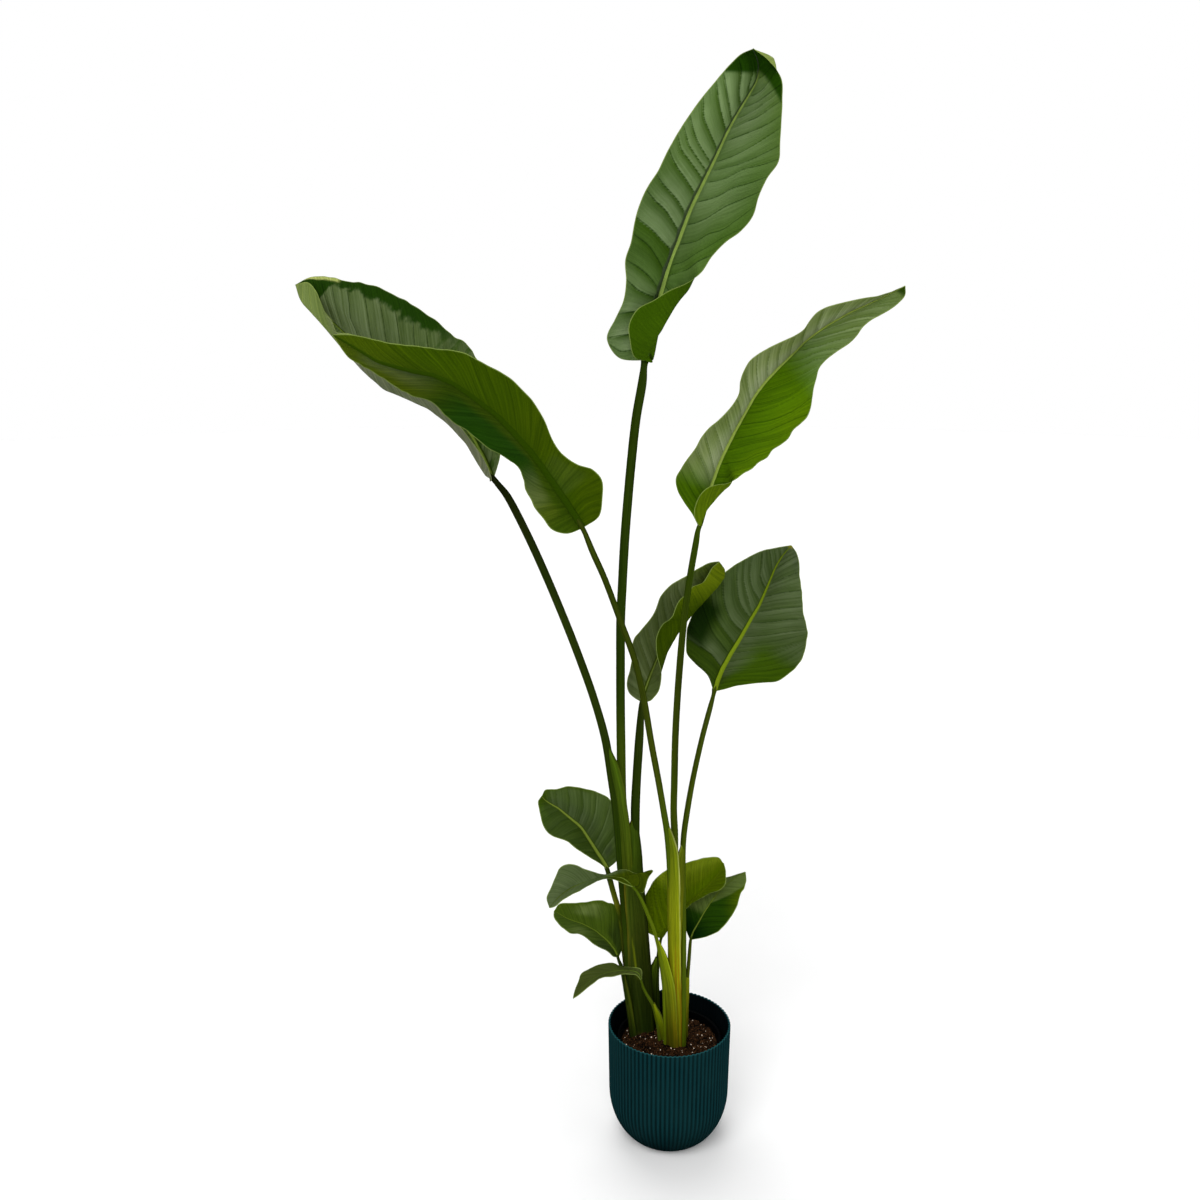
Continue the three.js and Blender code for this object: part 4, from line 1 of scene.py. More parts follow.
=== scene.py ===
import math
import bpy
import numpy as np
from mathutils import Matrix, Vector


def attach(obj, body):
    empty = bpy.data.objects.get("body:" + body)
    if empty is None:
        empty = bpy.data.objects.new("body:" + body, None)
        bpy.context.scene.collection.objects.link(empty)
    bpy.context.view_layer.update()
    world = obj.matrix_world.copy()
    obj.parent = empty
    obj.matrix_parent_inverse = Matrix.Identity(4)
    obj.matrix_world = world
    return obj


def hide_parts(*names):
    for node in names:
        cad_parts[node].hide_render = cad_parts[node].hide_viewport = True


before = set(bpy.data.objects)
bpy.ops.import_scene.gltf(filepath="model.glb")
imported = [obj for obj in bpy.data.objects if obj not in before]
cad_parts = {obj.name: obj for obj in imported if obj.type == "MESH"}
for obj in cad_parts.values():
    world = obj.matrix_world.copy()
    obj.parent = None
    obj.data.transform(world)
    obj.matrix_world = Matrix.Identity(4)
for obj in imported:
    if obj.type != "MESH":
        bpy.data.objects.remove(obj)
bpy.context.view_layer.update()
MM = 0.001

# ------------------------------------------------------------------ control points, in millimetres
# One row per station from the petiole to the tip: left margin, two points in the left half,
# midrib, two points in the right half, right margin.
BLADES = {
    "a": [
        [(-53, 61.6, 1389.4), (-52.4, 61.1, 1389.4), (-51.8, 60.5, 1389.3), (-51.2, 60, 1389.3), (-50.6, 59.5, 1389.3), (-50, 58.9, 1389.2), (-49.4, 58.4, 1389.2)],
        [(-93.6, 56.1, 1394.1), (-77.6, 53.7, 1402.1), (-61.6, 56.3, 1408.8), (-45.7, 64.1, 1414.4), (-46.3, 59.3, 1407), (-46.9, 54.5, 1399.6), (-69.6, 35.5, 1396.6)],
        [(-113.7, 56.3, 1424.8), (-89.1, 53.9, 1431.2), (-64.4, 58.4, 1436), (-39.7, 69.7, 1439.3), (-38.7, 60.2, 1429.8), (-37.6, 50.7, 1420.4), (-77.1, 20.4, 1421.6)],
        [(-101.2, 59.3, 1454.7), (-78.6, 58.3, 1459.4), (-56, 64, 1462.6), (-33.4, 76.6, 1464.1), (-30.9, 64.5, 1450), (-28.4, 52.3, 1436), (-78.7, 14.4, 1448.4)],
        [(-87.2, 63, 1484.7), (-67.1, 63.6, 1487.6), (-47.1, 70.5, 1489), (-27, 83.6, 1489), (-22.7, 70.1, 1470.6), (-18.4, 56.5, 1452.2), (-64.9, 18.2, 1472.4)],
        [(-82.7, 67.8, 1516.6), (-61.6, 69, 1517.1), (-40.5, 76.7, 1516.1), (-19.4, 91.1, 1513.5), (-13.4, 77.4, 1491.2), (-7.3, 63.7, 1468.9), (-39.7, 27.1, 1485.6)],
        [(-84.1, 73.2, 1548.7), (-59.9, 74.8, 1546.7), (-35.6, 83.3, 1543.2), (-11.4, 98.6, 1538), (-3.2, 85.9, 1511.9), (5.1, 73.3, 1485.7), (-13.4, 49.3, 1501.2)],
        [(-74.6, 78.9, 1578.5), (-50.5, 81.1, 1574.7), (-26.3, 90.2, 1569.2), (-2.2, 106.1, 1562.2), (9.4, 96.6, 1533.8), (21.1, 87, 1505.5), (15, 65.7, 1512.8)],
        [(-69, 84.7, 1609), (-43.7, 87.6, 1603), (-18.4, 97.3, 1595.5), (7, 113.8, 1586.4), (20.7, 97.2, 1563), (33.9, 83.2, 1539.9), (39.6, 79.1, 1529.5)],
        [(-60.5, 91.1, 1638.4), (-34.9, 94.5, 1630.7), (-9.3, 104.8, 1621.5), (16.2, 121.8, 1610.7), (31.9, 104.2, 1590.6), (47.2, 91.4, 1569.9), (57.4, 87.6, 1555)],
        [(-47.4, 97.8, 1665.7), (-22.9, 101.7, 1657), (1.6, 112.5, 1646.7), (26, 130, 1634.8), (44.1, 110.7, 1617), (62.2, 98.7, 1597.5), (79.2, 94.7, 1577.5)],
        [(-30.9, 105.4, 1690.3), (-8.1, 109.7, 1681.2), (14.8, 120.8, 1670.5), (37.7, 138.7, 1658.3), (60.2, 118.6, 1639.4), (82.7, 106.3, 1618.7), (105.3, 101.7, 1596.2)],
        [(-18.1, 113.6, 1716.4), (4.5, 118.1, 1706.5), (27, 129.4, 1694.9), (49.6, 147.5, 1681.8), (74.8, 126.9, 1663.2), (100, 114, 1642.9), (125.3, 108.9, 1620.7)],
        [(-4.2, 122.6, 1741.4), (17.7, 127, 1731), (39.7, 138.3, 1719), (61.6, 156.5, 1705.4), (86, 135.4, 1689.1), (110.4, 122.2, 1671), (134.7, 116.7, 1651.1)],
        [(10.6, 132.5, 1765.3), (31.5, 136.6, 1754.9), (52.4, 147.6, 1742.8), (73.2, 165.4, 1729.2), (98.4, 144.3, 1714.7), (123.5, 131, 1698.4), (148.7, 125.5, 1680.3)],
        [(26.2, 143.3, 1788), (45.6, 146.8, 1778), (65.1, 157.1, 1766.4), (84.6, 174.2, 1753.2), (112.3, 153.5, 1739.8), (140, 140.6, 1724.5), (167.8, 135.5, 1707.4)],
        [(42.2, 154.4, 1809.5), (60.6, 157, 1800.1), (78.9, 166.4, 1789.2), (97.2, 182.6, 1776.6), (121.8, 162.7, 1766.4), (146.4, 150.6, 1754.3), (171, 146.2, 1740.5)],
        [(58.9, 165.5, 1829.6), (76.2, 167.5, 1821.1), (93.5, 175.8, 1811), (110.8, 190.5, 1799.5), (131.7, 171.6, 1792.8), (152.5, 160.6, 1784.3), (173.4, 157.3, 1774)],
        [(74.9, 175.9, 1848.9), (91.5, 177.1, 1841.3), (108.2, 184.3, 1832.4), (124.9, 197.3, 1822), (141.7, 180.9, 1818.9), (158.5, 171.1, 1814.2), (175.3, 168, 1808)],
        [(90.6, 181, 1865.8), (105.9, 181.1, 1859.8), (121.2, 186.5, 1852.6), (136.5, 197, 1844.2), (149.1, 184.7, 1844.3), (161.6, 177.1, 1843.4), (173.4, 174.4, 1841.4)],
        [(105.8, 176.1, 1878.8), (116.1, 175.5, 1875.3), (126.4, 178.4, 1870.9), (136.7, 184.6, 1865.8), (148, 178.5, 1868.3), (159.4, 172.4, 1870.9), (150, 165.4, 1867.1)],
        [(122.9, 160.5, 1883.8), (123.2, 160.3, 1883.8), (123.5, 160.2, 1883.7), (123.8, 160, 1883.7), (124.1, 159.8, 1883.7), (124.4, 159.7, 1883.7), (124.6, 159.5, 1883.6)],
    ],
    "b": [
        [(-305.8, 101.9, 1190.3), (-306.3, 101.3, 1190.2), (-306.8, 100.6, 1190.1), (-307.3, 100, 1190), (-307.7, 99.4, 1189.8), (-308.2, 98.7, 1189.7), (-308.7, 98.1, 1189.6)],
        [(-295.6, 113.4, 1227.1), (-301.9, 105.5, 1221.5), (-308.3, 101.7, 1215), (-314.7, 102, 1207.4), (-316.5, 98.2, 1201.5), (-318.2, 94.4, 1195.5), (-312.3, 82.7, 1208.5)],
        [(-297.3, 125.2, 1262), (-305.6, 111.2, 1251.2), (-313.8, 104.2, 1238.9), (-322.1, 104, 1224.9), (-323.9, 97.4, 1216.2), (-325.8, 90.8, 1207.5), (-319.5, 71.4, 1227.7)],
        [(-301.2, 134, 1289.5), (-311.1, 115.8, 1275.6), (-321.1, 106.4, 1259.6), (-331, 105.8, 1241.6), (-332.3, 96.4, 1231.4), (-333.6, 87, 1221.2), (-328.8, 62.9, 1245)],
        [(-305.5, 141.6, 1313.4), (-317, 120.5, 1297.3), (-328.5, 109.2, 1278.9), (-340, 107.6, 1258.2), (-340.8, 95.4, 1247.3), (-341.6, 83.2, 1236.5), (-339.4, 55.4, 1261.3)],
        [(-311.6, 148.7, 1334.6), (-324.7, 125.9, 1316.5), (-337.8, 112.9, 1296.2), (-350.9, 109.6, 1273.6), (-350.3, 94.6, 1262.6), (-349.7, 79.6, 1251.6), (-350.1, 49, 1277.3)],
        [(-318.1, 155.1, 1353.9), (-332.8, 130.9, 1334.3), (-347.6, 116.5, 1312.6), (-362.3, 111.8, 1288.5), (-361.8, 95.2, 1276.8), (-361.3, 78.6, 1265.1), (-362.1, 44.2, 1292)],
        [(-326.5, 160.7, 1370.9), (-342.6, 135.4, 1350.4), (-358.6, 119.9, 1327.7), (-374.7, 114.1, 1302.7), (-373.8, 95.9, 1290.6), (-372.9, 77.7, 1278.5), (-374.3, 41.6, 1306.3)],
        [(-336.2, 165.8, 1386.4), (-353.5, 139.7, 1365.2), (-370.8, 123.3, 1341.7), (-388.1, 116.6, 1316), (-386.7, 97.2, 1303), (-385.2, 77.8, 1290.1), (-387.8, 41.4, 1319.5)],
        [(-344.9, 170.7, 1401.9), (-363.8, 143.8, 1379.9), (-382.7, 126.6, 1355.6), (-401.7, 119.1, 1329.1), (-400, 98.9, 1314.5), (-398.4, 78.7, 1300), (-401.9, 41.8, 1332)],
        [(-356.8, 175.9, 1415.3), (-377, 148.2, 1392.5), (-397.1, 130.2, 1367.4), (-417.2, 122, 1340), (-414.4, 101, 1324.9), (-411.6, 80, 1309.8), (-416, 42.8, 1344.4)],
        [(-373.4, 180.8, 1424.4), (-393.1, 152.4, 1402.2), (-412.9, 133.8, 1377.7), (-432.7, 124.9, 1351), (-429.9, 103.5, 1333.9), (-427, 82.1, 1316.9), (-429.9, 44.1, 1357)],
        [(-389, 185.7, 1436.5), (-409, 156.7, 1413.7), (-428.9, 137.6, 1388.5), (-448.9, 128.1, 1361.1), (-445.7, 106.3, 1342.6), (-442.5, 84.5, 1324), (-443.7, 45.9, 1369.7)],
        [(-404.9, 190.3, 1450.3), (-425, 161, 1426.1), (-445.2, 141.4, 1399.5), (-465.4, 131.5, 1370.7), (-461.4, 109.5, 1350.6), (-457.4, 87.5, 1330.4), (-457.7, 48.3, 1382.3)],
        [(-422.9, 194.6, 1461.9), (-442.6, 164.9, 1437), (-462.2, 145, 1409.9), (-481.9, 134.9, 1380.4), (-476.8, 112.9, 1358.3), (-471.8, 90.9, 1336.2), (-472.1, 51.1, 1394.5)],
        [(-440.9, 198.3, 1473.8), (-460, 168.6, 1448.3), (-479.1, 148.6, 1420.5), (-498.3, 138.3, 1390.4), (-492.2, 116.3, 1366.2), (-486.1, 94.3, 1341.9), (-486.6, 54.3, 1406.7)],
        [(-459.1, 200.8, 1485.2), (-477.6, 171.4, 1459.2), (-496.1, 151.7, 1430.9), (-514.6, 141.8, 1400.4), (-507.2, 120.2, 1376.6), (-499.8, 98.6, 1352.9), (-502, 59.3, 1418.1)],
        [(-478.2, 201.5, 1495.1), (-495.7, 173, 1469.3), (-513.2, 154.2, 1441.2), (-530.7, 145.2, 1410.9), (-522.1, 124, 1387.4), (-513.5, 102.8, 1363.9), (-519.3, 66.7, 1427.7)],
        [(-497, 200.8, 1505.1), (-513.6, 173.6, 1479.5), (-530.1, 156.2, 1451.6), (-546.7, 148.6, 1421.4), (-536.9, 128.2, 1398.6), (-527, 107.8, 1375.8), (-538.6, 76.2, 1433.3)],
        [(-516.8, 199.2, 1512.9), (-531.7, 173.8, 1488.6), (-546.7, 158.1, 1462.1), (-561.6, 152.1, 1433.3), (-551, 132.9, 1411), (-540.3, 113.7, 1388.8), (-559.9, 87.2, 1435.2)],
        [(-537.8, 197.2, 1516.8), (-550.5, 173.6, 1495.5), (-563.1, 159.8, 1471.9), (-575.7, 155.8, 1446.1), (-564.7, 137.8, 1423.9), (-553.7, 119.8, 1401.8), (-568.5, 99.1, 1452.3)],
        [(-559.4, 194.8, 1518.7), (-569.5, 173.2, 1501.1), (-579.6, 161.4, 1481.2), (-589.7, 159.3, 1459.1), (-580.9, 143.8, 1440.8), (-572.1, 128.3, 1422.6), (-581.9, 111.2, 1467.5)],
        [(-580.1, 191.5, 1523.7), (-587.8, 173.1, 1508.6), (-595.6, 163.4, 1491.5), (-603.3, 162.6, 1472.3), (-596.9, 149.6, 1457.9), (-590.5, 136.6, 1443.4), (-591.5, 123.6, 1484.9)],
        [(-600.9, 186, 1526.4), (-606.3, 172.4, 1514.3), (-611.6, 165.6, 1500.7), (-616.9, 165.5, 1485.5), (-613.9, 155.9, 1475.2), (-610.8, 146.4, 1465), (-601.8, 138, 1502.4)],
        [(-621, 178.1, 1524.3), (-624.2, 170.5, 1516.7), (-627.4, 166.9, 1508), (-630.6, 167.5, 1498.4), (-630.7, 161.5, 1492.7), (-630.9, 155.5, 1487), (-618.2, 153.2, 1516.1)],
        [(-641.7, 167, 1512.8), (-641.7, 166.7, 1512.8), (-641.7, 166.3, 1512.7), (-641.7, 166, 1512.7), (-641.7, 165.7, 1512.6), (-641.7, 165.3, 1512.6), (-641.8, 165, 1512.5)],
    ],
    "c": [
        [(-149, -120, 1144.8), (-149.7, -120, 1144.3), (-150.4, -120, 1143.9), (-151.1, -120, 1143.5), (-151.8, -120, 1143.1), (-152.4, -120, 1142.6), (-153.1, -120, 1142.2)],
        [(-126, -116.7, 1161.5), (-137.1, -114.7, 1159.1), (-148.2, -116.5, 1157.5), (-159.3, -122.2, 1156.8), (-165, -117.5, 1148.5), (-170.6, -116.1, 1140.9), (-176.2, -117.8, 1134.1)],
        [(-121.2, -113.7, 1190.7), (-136.6, -111.5, 1182.5), (-152.1, -115, 1175.6), (-167.5, -124.3, 1170), (-178.1, -116.5, 1159), (-188.7, -113.6, 1149.1), (-199.3, -115.7, 1140.3)],
        [(-122.1, -111.6, 1216.7), (-140, -109.4, 1203.8), (-157.9, -114.3, 1192.7), (-175.8, -126.5, 1183.2), (-188.2, -117, 1173.4), (-200.7, -112.8, 1164.9), (-213.1, -113.7, 1157.7)],
        [(-136.9, -110.5, 1233.3), (-152.7, -109.7, 1219.3), (-168.4, -115.8, 1206.9), (-184.1, -128.9, 1196.1), (-197.7, -117.7, 1186.8), (-211.3, -112.1, 1178.8), (-224.9, -112, 1172.1)],
        [(-157.3, -109.7, 1239.7), (-169, -111.2, 1228.1), (-180.7, -118.3, 1217.9), (-192.4, -131.2, 1209.1), (-205.3, -118.6, 1200), (-218.3, -111.6, 1192.3), (-231.2, -110.1, 1185.8)],
        [(-174.7, -109.1, 1250.1), (-183.3, -112.2, 1239.5), (-192, -120.3, 1230.1), (-200.7, -133.6, 1221.9), (-213.5, -119.4, 1213.4), (-226.3, -110.9, 1206.2), (-239.1, -108.1, 1200.3)],
        [(-188.3, -108.6, 1263.2), (-195.3, -112.7, 1252.5), (-202.2, -121.8, 1242.9), (-209.2, -135.9, 1234.4), (-220.4, -120.6, 1227), (-231.5, -110.7, 1220.8), (-242.7, -106.2, 1215.9)],
        [(-197.9, -108.5, 1278.5), (-204.5, -113.1, 1266.7), (-211.1, -123, 1256.1), (-217.8, -138.2, 1246.8), (-227.9, -121.6, 1239.9), (-238, -110.3, 1234.1), (-248.1, -104.4, 1229.7)],
        [(-204.2, -108.6, 1294.7), (-211.6, -113.4, 1281.5), (-219, -124.1, 1269.6), (-226.3, -140.6, 1259.2), (-237, -122.2, 1251.5), (-247.7, -109.7, 1245.3), (-258.4, -103.1, 1240.4)],
        [(-210.7, -109, 1310.2), (-219.1, -113.9, 1295.5), (-227.4, -125.2, 1282.3), (-235.8, -142.9, 1270.7), (-247.2, -122.9, 1261.9), (-258.6, -109.4, 1254.7), (-270, -102.3, 1248.9)],
        [(-218.4, -109.8, 1324.5), (-227.4, -114.7, 1308.7), (-236.4, -126.5, 1294.5), (-245.4, -145.1, 1281.9), (-257.5, -123.9, 1272), (-269.5, -109.6, 1263.8), (-281.6, -102.1, 1257.1)],
        [(-227.1, -110.8, 1337.8), (-236.5, -115.9, 1321.2), (-245.8, -128, 1306.3), (-255.1, -147.4, 1293.1), (-267.8, -125.2, 1282), (-280.5, -110.3, 1272.5), (-293.1, -102.7, 1264.8)],
        [(-237.7, -111.8, 1349.4), (-246.8, -117.1, 1332.5), (-255.9, -129.6, 1317.3), (-265, -149.4, 1303.8), (-278.2, -126.4, 1291.6), (-291.3, -111, 1281.3), (-304.5, -103.2, 1272.6)],
        [(-248.7, -112.8, 1360.4), (-257.5, -118.4, 1343.4), (-266.2, -131.3, 1328.1), (-275, -151.4, 1314.5), (-288.6, -127.8, 1301.4), (-302.2, -111.9, 1290.1), (-315.8, -103.9, 1280.6)],
        [(-260.2, -113.9, 1371), (-268.7, -119.7, 1353.6), (-277.3, -132.9, 1338), (-285.9, -153.5, 1324), (-299.6, -129.5, 1310.4), (-313.4, -113.2, 1298.7), (-327.1, -104.7, 1288.7)],
        [(-273.3, -115.2, 1379.8), (-281.3, -121.4, 1362.5), (-289.2, -134.8, 1347), (-297.1, -155.7, 1333.1), (-311, -131.2, 1319.2), (-324.9, -114.6, 1307.1), (-338.8, -105.7, 1296.8)],
        [(-287.3, -116.7, 1387.8), (-294.3, -123.2, 1370.9), (-301.3, -136.9, 1355.7), (-308.3, -157.8, 1342.1), (-322.3, -133.1, 1328.1), (-336.2, -116.1, 1316), (-350.2, -107, 1305.6)],
        [(-301.5, -118.1, 1395.1), (-307.6, -124.9, 1378.6), (-313.7, -138.8, 1363.8), (-319.8, -159.7, 1350.6), (-333.2, -134.8, 1337.3), (-346.6, -117.6, 1325.9), (-359.9, -108.2, 1316.3)],
        [(-315.6, -119.7, 1402.4), (-320.8, -126.7, 1386.3), (-326.1, -140.7, 1371.8), (-331.4, -161.6, 1359), (-344.3, -136.5, 1346.3), (-357.2, -119.2, 1335.5), (-370, -109.7, 1326.5)],
        [(-329.9, -121.6, 1408.4), (-334.4, -128.8, 1392.9), (-338.8, -142.8, 1379), (-343.3, -163.6, 1366.6), (-355.7, -138.4, 1354.5), (-368.2, -121.1, 1344.2), (-380.7, -111.6, 1335.7)],
        [(-344.9, -124.2, 1412.4), (-348.7, -131.4, 1397.5), (-352.5, -145.3, 1384.1), (-356.3, -165.7, 1372.3), (-368.9, -140.8, 1359.6), (-381.5, -123.7, 1348.7), (-394.1, -114.5, 1339.7)],
        [(-360, -127.3, 1414.7), (-363.1, -134.7, 1401), (-366.1, -148.1, 1388.7), (-369.2, -167.8, 1377.9), (-381.8, -143.5, 1364.9), (-394.5, -127, 1353.6), (-407.1, -118.3, 1344.3)],
        [(-374.9, -130.7, 1416.6), (-377.6, -137.7, 1403.3), (-380.3, -150.7, 1391.3), (-383, -169.6, 1380.8), (-395, -146.6, 1369.2), (-406.9, -130.9, 1359.3), (-418.9, -122.6, 1351.2)],
        [(-389.7, -134.5, 1418.1), (-392.1, -141.1, 1405.2), (-394.5, -153.4, 1393.6), (-396.9, -171.4, 1383.4), (-408, -150, 1373.5), (-419.1, -135.4, 1365.2), (-430.2, -127.6, 1358.4)],
        [(-404.3, -138.3, 1419.6), (-406.4, -144.4, 1407.5), (-408.5, -155.9, 1396.6), (-410.6, -172.8, 1386.9), (-420.4, -153.4, 1379), (-430.2, -140, 1372.6), (-440, -132.6, 1367.5)],
        [(-418.6, -142.1, 1421.5), (-420.4, -147.7, 1410.1), (-422.3, -158.4, 1399.9), (-424.2, -174, 1390.8), (-433, -156.6, 1384.3), (-441.8, -144.5, 1379.1), (-450.6, -137.7, 1375.1)],
        [(-432.6, -146.1, 1423.7), (-434.3, -151.2, 1412.9), (-436, -160.9, 1403.3), (-437.7, -175.2, 1394.7), (-445.7, -159.7, 1389.3), (-453.7, -149, 1385), (-461.7, -142.9, 1381.8)],
        [(-446.2, -149.9, 1426.9), (-447.7, -154.3, 1416.8), (-449.2, -163, 1407.7), (-450.7, -176, 1399.6), (-458.2, -162.4, 1394.6), (-465.7, -153, 1390.7), (-473.1, -147.8, 1387.7)],
        [(-459.6, -153.4, 1430.2), (-460.7, -157.3, 1421.6), (-461.7, -164.8, 1413.9), (-462.7, -176, 1407), (-469.6, -164.3, 1402.1), (-476.6, -156.3, 1398.2), (-483.5, -152.2, 1395.1)],
        [(-472.7, -158, 1433.5), (-473.3, -161.1, 1426.4), (-473.9, -167.1, 1420.1), (-474.6, -176, 1414.4), (-480.8, -166.6, 1409.9), (-487, -160.4, 1406.1), (-493.2, -157.3, 1403)],
        [(-485.5, -163.1, 1436), (-485.9, -165.2, 1430.7), (-486.2, -169.3, 1426), (-486.6, -175.6, 1421.7), (-491.1, -169.1, 1418.5), (-495.6, -164.8, 1415.7), (-500.1, -162.7, 1413.6)],
        [(-498.6, -167.4, 1436.9), (-498.7, -168.4, 1433.9), (-498.9, -170.5, 1431.1), (-499, -173.8, 1428.7), (-501.5, -170.4, 1427), (-503.9, -168.2, 1425.5), (-506.4, -167.2, 1424.4)],
        [(-511, -172, 1436.6), (-511.2, -172, 1436.3), (-511.3, -172, 1436), (-511.5, -172, 1435.7), (-511.7, -172, 1435.4), (-511.8, -172, 1435.1), (-512, -172, 1434.8)],
    ],
    "d": [
        [(32.7, -37.7, 1132.6), (32.9, -38.5, 1132.7), (33.1, -39.2, 1132.8), (33.3, -40, 1132.9), (33.5, -40.8, 1133), (33.7, -41.5, 1133), (34, -42.3, 1133.1)],
        [(23.3, -32.8, 1151.1), (28, -35.5, 1150.1), (32.8, -37, 1148.8), (37.5, -37.1, 1147.2), (38.3, -41, 1146), (39.1, -44.8, 1144.8), (26.3, -52.3, 1146.2)],
        [(10.3, -26.5, 1169), (20.7, -31.9, 1167.1), (31.2, -34.5, 1164.6), (41.7, -34.3, 1161.4), (42.2, -40.8, 1158.6), (42.7, -47.3, 1155.8), (24.4, -60.1, 1162.1)],
        [(-0.4, -21.5, 1187.3), (15.4, -28.9, 1184.3), (31.1, -32.1, 1180.3), (46.9, -31.2, 1175.4), (47.8, -39.9, 1170.3), (48.7, -48.5, 1165.2), (27.8, -66.4, 1176.9)],
        [(-3, -18.3, 1206.9), (15.3, -26.5, 1202.2), (33.7, -29.7, 1196.3), (52.1, -28.1, 1189.3), (54.3, -38.1, 1181.8), (56.4, -48, 1174.3), (34.3, -72.4, 1190.5)],
        [(5.7, -16.6, 1222.9), (22.9, -24.1, 1217.4), (40.1, -26.9, 1210.8), (57.3, -25.1, 1203.2), (61, -36.1, 1193.3), (64.6, -47.1, 1183.4), (45, -73, 1200.1)],
        [(16.4, -16.1, 1239.3), (31.7, -22.4, 1232.9), (47, -24.4, 1225.5), (62.4, -22.1, 1217.2), (68.1, -33.1, 1204.6), (73.8, -44.1, 1192.1), (59.7, -69, 1203.7)],
        [(27.8, -16.1, 1254.9), (41, -21, 1247.9), (54.2, -22, 1239.9), (67.5, -19.1, 1231.1), (74.8, -29.5, 1215), (82.2, -40, 1198.8), (75, -64.1, 1205.3)],
        [(36.7, -16.1, 1271.9), (49.1, -19.9, 1263.7), (61.5, -19.9, 1254.5), (73.9, -16, 1244.5), (80.5, -35.8, 1229.7), (86.7, -54.2, 1215.3), (88.8, -59.7, 1210.3)],
        [(48.5, -15.8, 1286.8), (59.1, -18.4, 1278), (69.8, -17.4, 1268.3), (80.4, -12.8, 1257.9), (89.1, -32.9, 1242.2), (97.4, -50, 1226.6), (101.2, -55.6, 1218.9)],
        [(63, -15, 1298.8), (71, -16.4, 1290.3), (79.1, -14.6, 1281.1), (87.1, -9.8, 1271.1), (98, -30.5, 1254.4), (108.5, -46.5, 1237), (114.9, -51.7, 1225.7)],
        [(76.3, -13.4, 1311.9), (82.2, -14, 1303.4), (88, -11.8, 1294.2), (93.9, -6.8, 1284.4), (105.7, -28.1, 1268), (117.4, -43, 1250.4), (126.1, -48, 1235.8)],
        [(88, -11.8, 1326.1), (92.3, -12, 1317.2), (96.7, -9.4, 1307.6), (101.1, -4.1, 1297.4), (114.3, -26, 1280.6), (127.5, -39.9, 1262), (139.6, -44.6, 1243.1)],
        [(96.2, -10.3, 1342.2), (100.3, -10.3, 1332.3), (104.3, -7.4, 1321.7), (108.4, -1.5, 1310.4), (121.7, -23.6, 1293.9), (135.1, -37, 1275.4), (148.5, -41.6, 1254.9)],
        [(97.6, -8.6, 1359.9), (103.7, -8.8, 1348.5), (109.7, -5.5, 1336.3), (115.8, 1.3, 1323.3), (131.1, -20.8, 1305.2), (146.4, -34.1, 1285.1), (161.7, -38.7, 1262.9)],
        [(103.2, -6.7, 1376.5), (109.9, -6.9, 1364), (116.6, -3.3, 1350.5), (123.3, 4.2, 1336.1), (140, -17.9, 1316.9), (156.7, -31.4, 1295.6), (173.5, -36, 1272.3)],
        [(112.1, -4.4, 1391.6), (118.8, -4.6, 1378), (125.5, -0.7, 1363.5), (132.2, 7.3, 1348), (148.6, -15, 1329.2), (165, -28.6, 1308.3), (181.3, -33.4, 1285.4)],
        [(125.7, -2, 1402.6), (131, -1.8, 1389.2), (136.3, 2.4, 1374.9), (141.7, 10.5, 1359.6), (158.7, -12.1, 1340.2), (175.6, -25.9, 1318.6), (192.6, -31, 1295)],
        [(140.8, 0.4, 1411), (144.6, 1.1, 1398.4), (148.3, 5.4, 1384.8), (152.1, 13.5, 1370.4), (169.2, -9.4, 1350.9), (186.2, -23.6, 1329.3), (203.3, -28.9, 1305.7)],
        [(156.1, 2.8, 1418.7), (158.3, 4, 1406.9), (160.5, 8.5, 1394.4), (162.7, 16.4, 1381), (178, -6.7, 1362.7), (193.4, -21.2, 1342.3), (208.7, -26.8, 1319.8)],
        [(171.6, 5.5, 1425.6), (172.3, 7.1, 1414.9), (173, 11.7, 1403.5), (173.6, 19.4, 1391.3), (186.1, -3.9, 1374.7), (198.6, -18.5, 1355.9), (211, -24.4, 1335.1)],
        [(186.7, 8.5, 1432.8), (186, 10.3, 1423.1), (185.4, 14.9, 1412.7), (184.7, 22.5, 1401.6), (194.2, -1, 1386.6), (203.7, -15.6, 1369.6), (213.2, -21.5, 1350.5)],
        [(200.1, 11.6, 1441.6), (198.5, 13.4, 1432.3), (197, 18, 1422.5), (195.5, 25.3, 1412), (202.8, 2.3, 1398.5), (210, -12.2, 1383), (217.3, -18.4, 1365.6)],
        [(209.1, 15.1, 1454.5), (208.2, 16.5, 1444.5), (207.3, 20.8, 1433.8), (206.4, 28.1, 1422.4), (211.4, 6.1, 1410.3), (216.4, -8.1, 1396.4), (221.5, -14.6, 1380.6)],
        [(219.5, 18.6, 1466), (219.3, 19.5, 1455.1), (219, 23.4, 1443.5), (218.7, 30.5, 1431.2), (222.9, 9.5, 1419.9), (227.1, -4.2, 1406.9), (231.2, -10.7, 1392.2)],
        [(232.9, 22.3, 1474.1), (232.2, 22.9, 1463.4), (231.6, 26.4, 1452.1), (231, 32.9, 1440), (235.4, 12.8, 1429), (239.7, -0.2, 1416.4), (244.1, -6.3, 1402.2)],
        [(247.7, 26.1, 1478.8), (246.4, 26.4, 1469.2), (245.1, 29.4, 1458.9), (243.7, 35.1, 1448), (248.5, 16.1, 1437.3), (253.3, 3.8, 1424.9), (258, -1.7, 1411)],
        [(262.6, 29.6, 1482.4), (260.7, 29.8, 1474), (258.8, 32.3, 1465), (256.9, 37.1, 1455.5), (262, 19.3, 1445.2), (267, 7.9, 1433.3), (272.1, 3, 1419.9)],
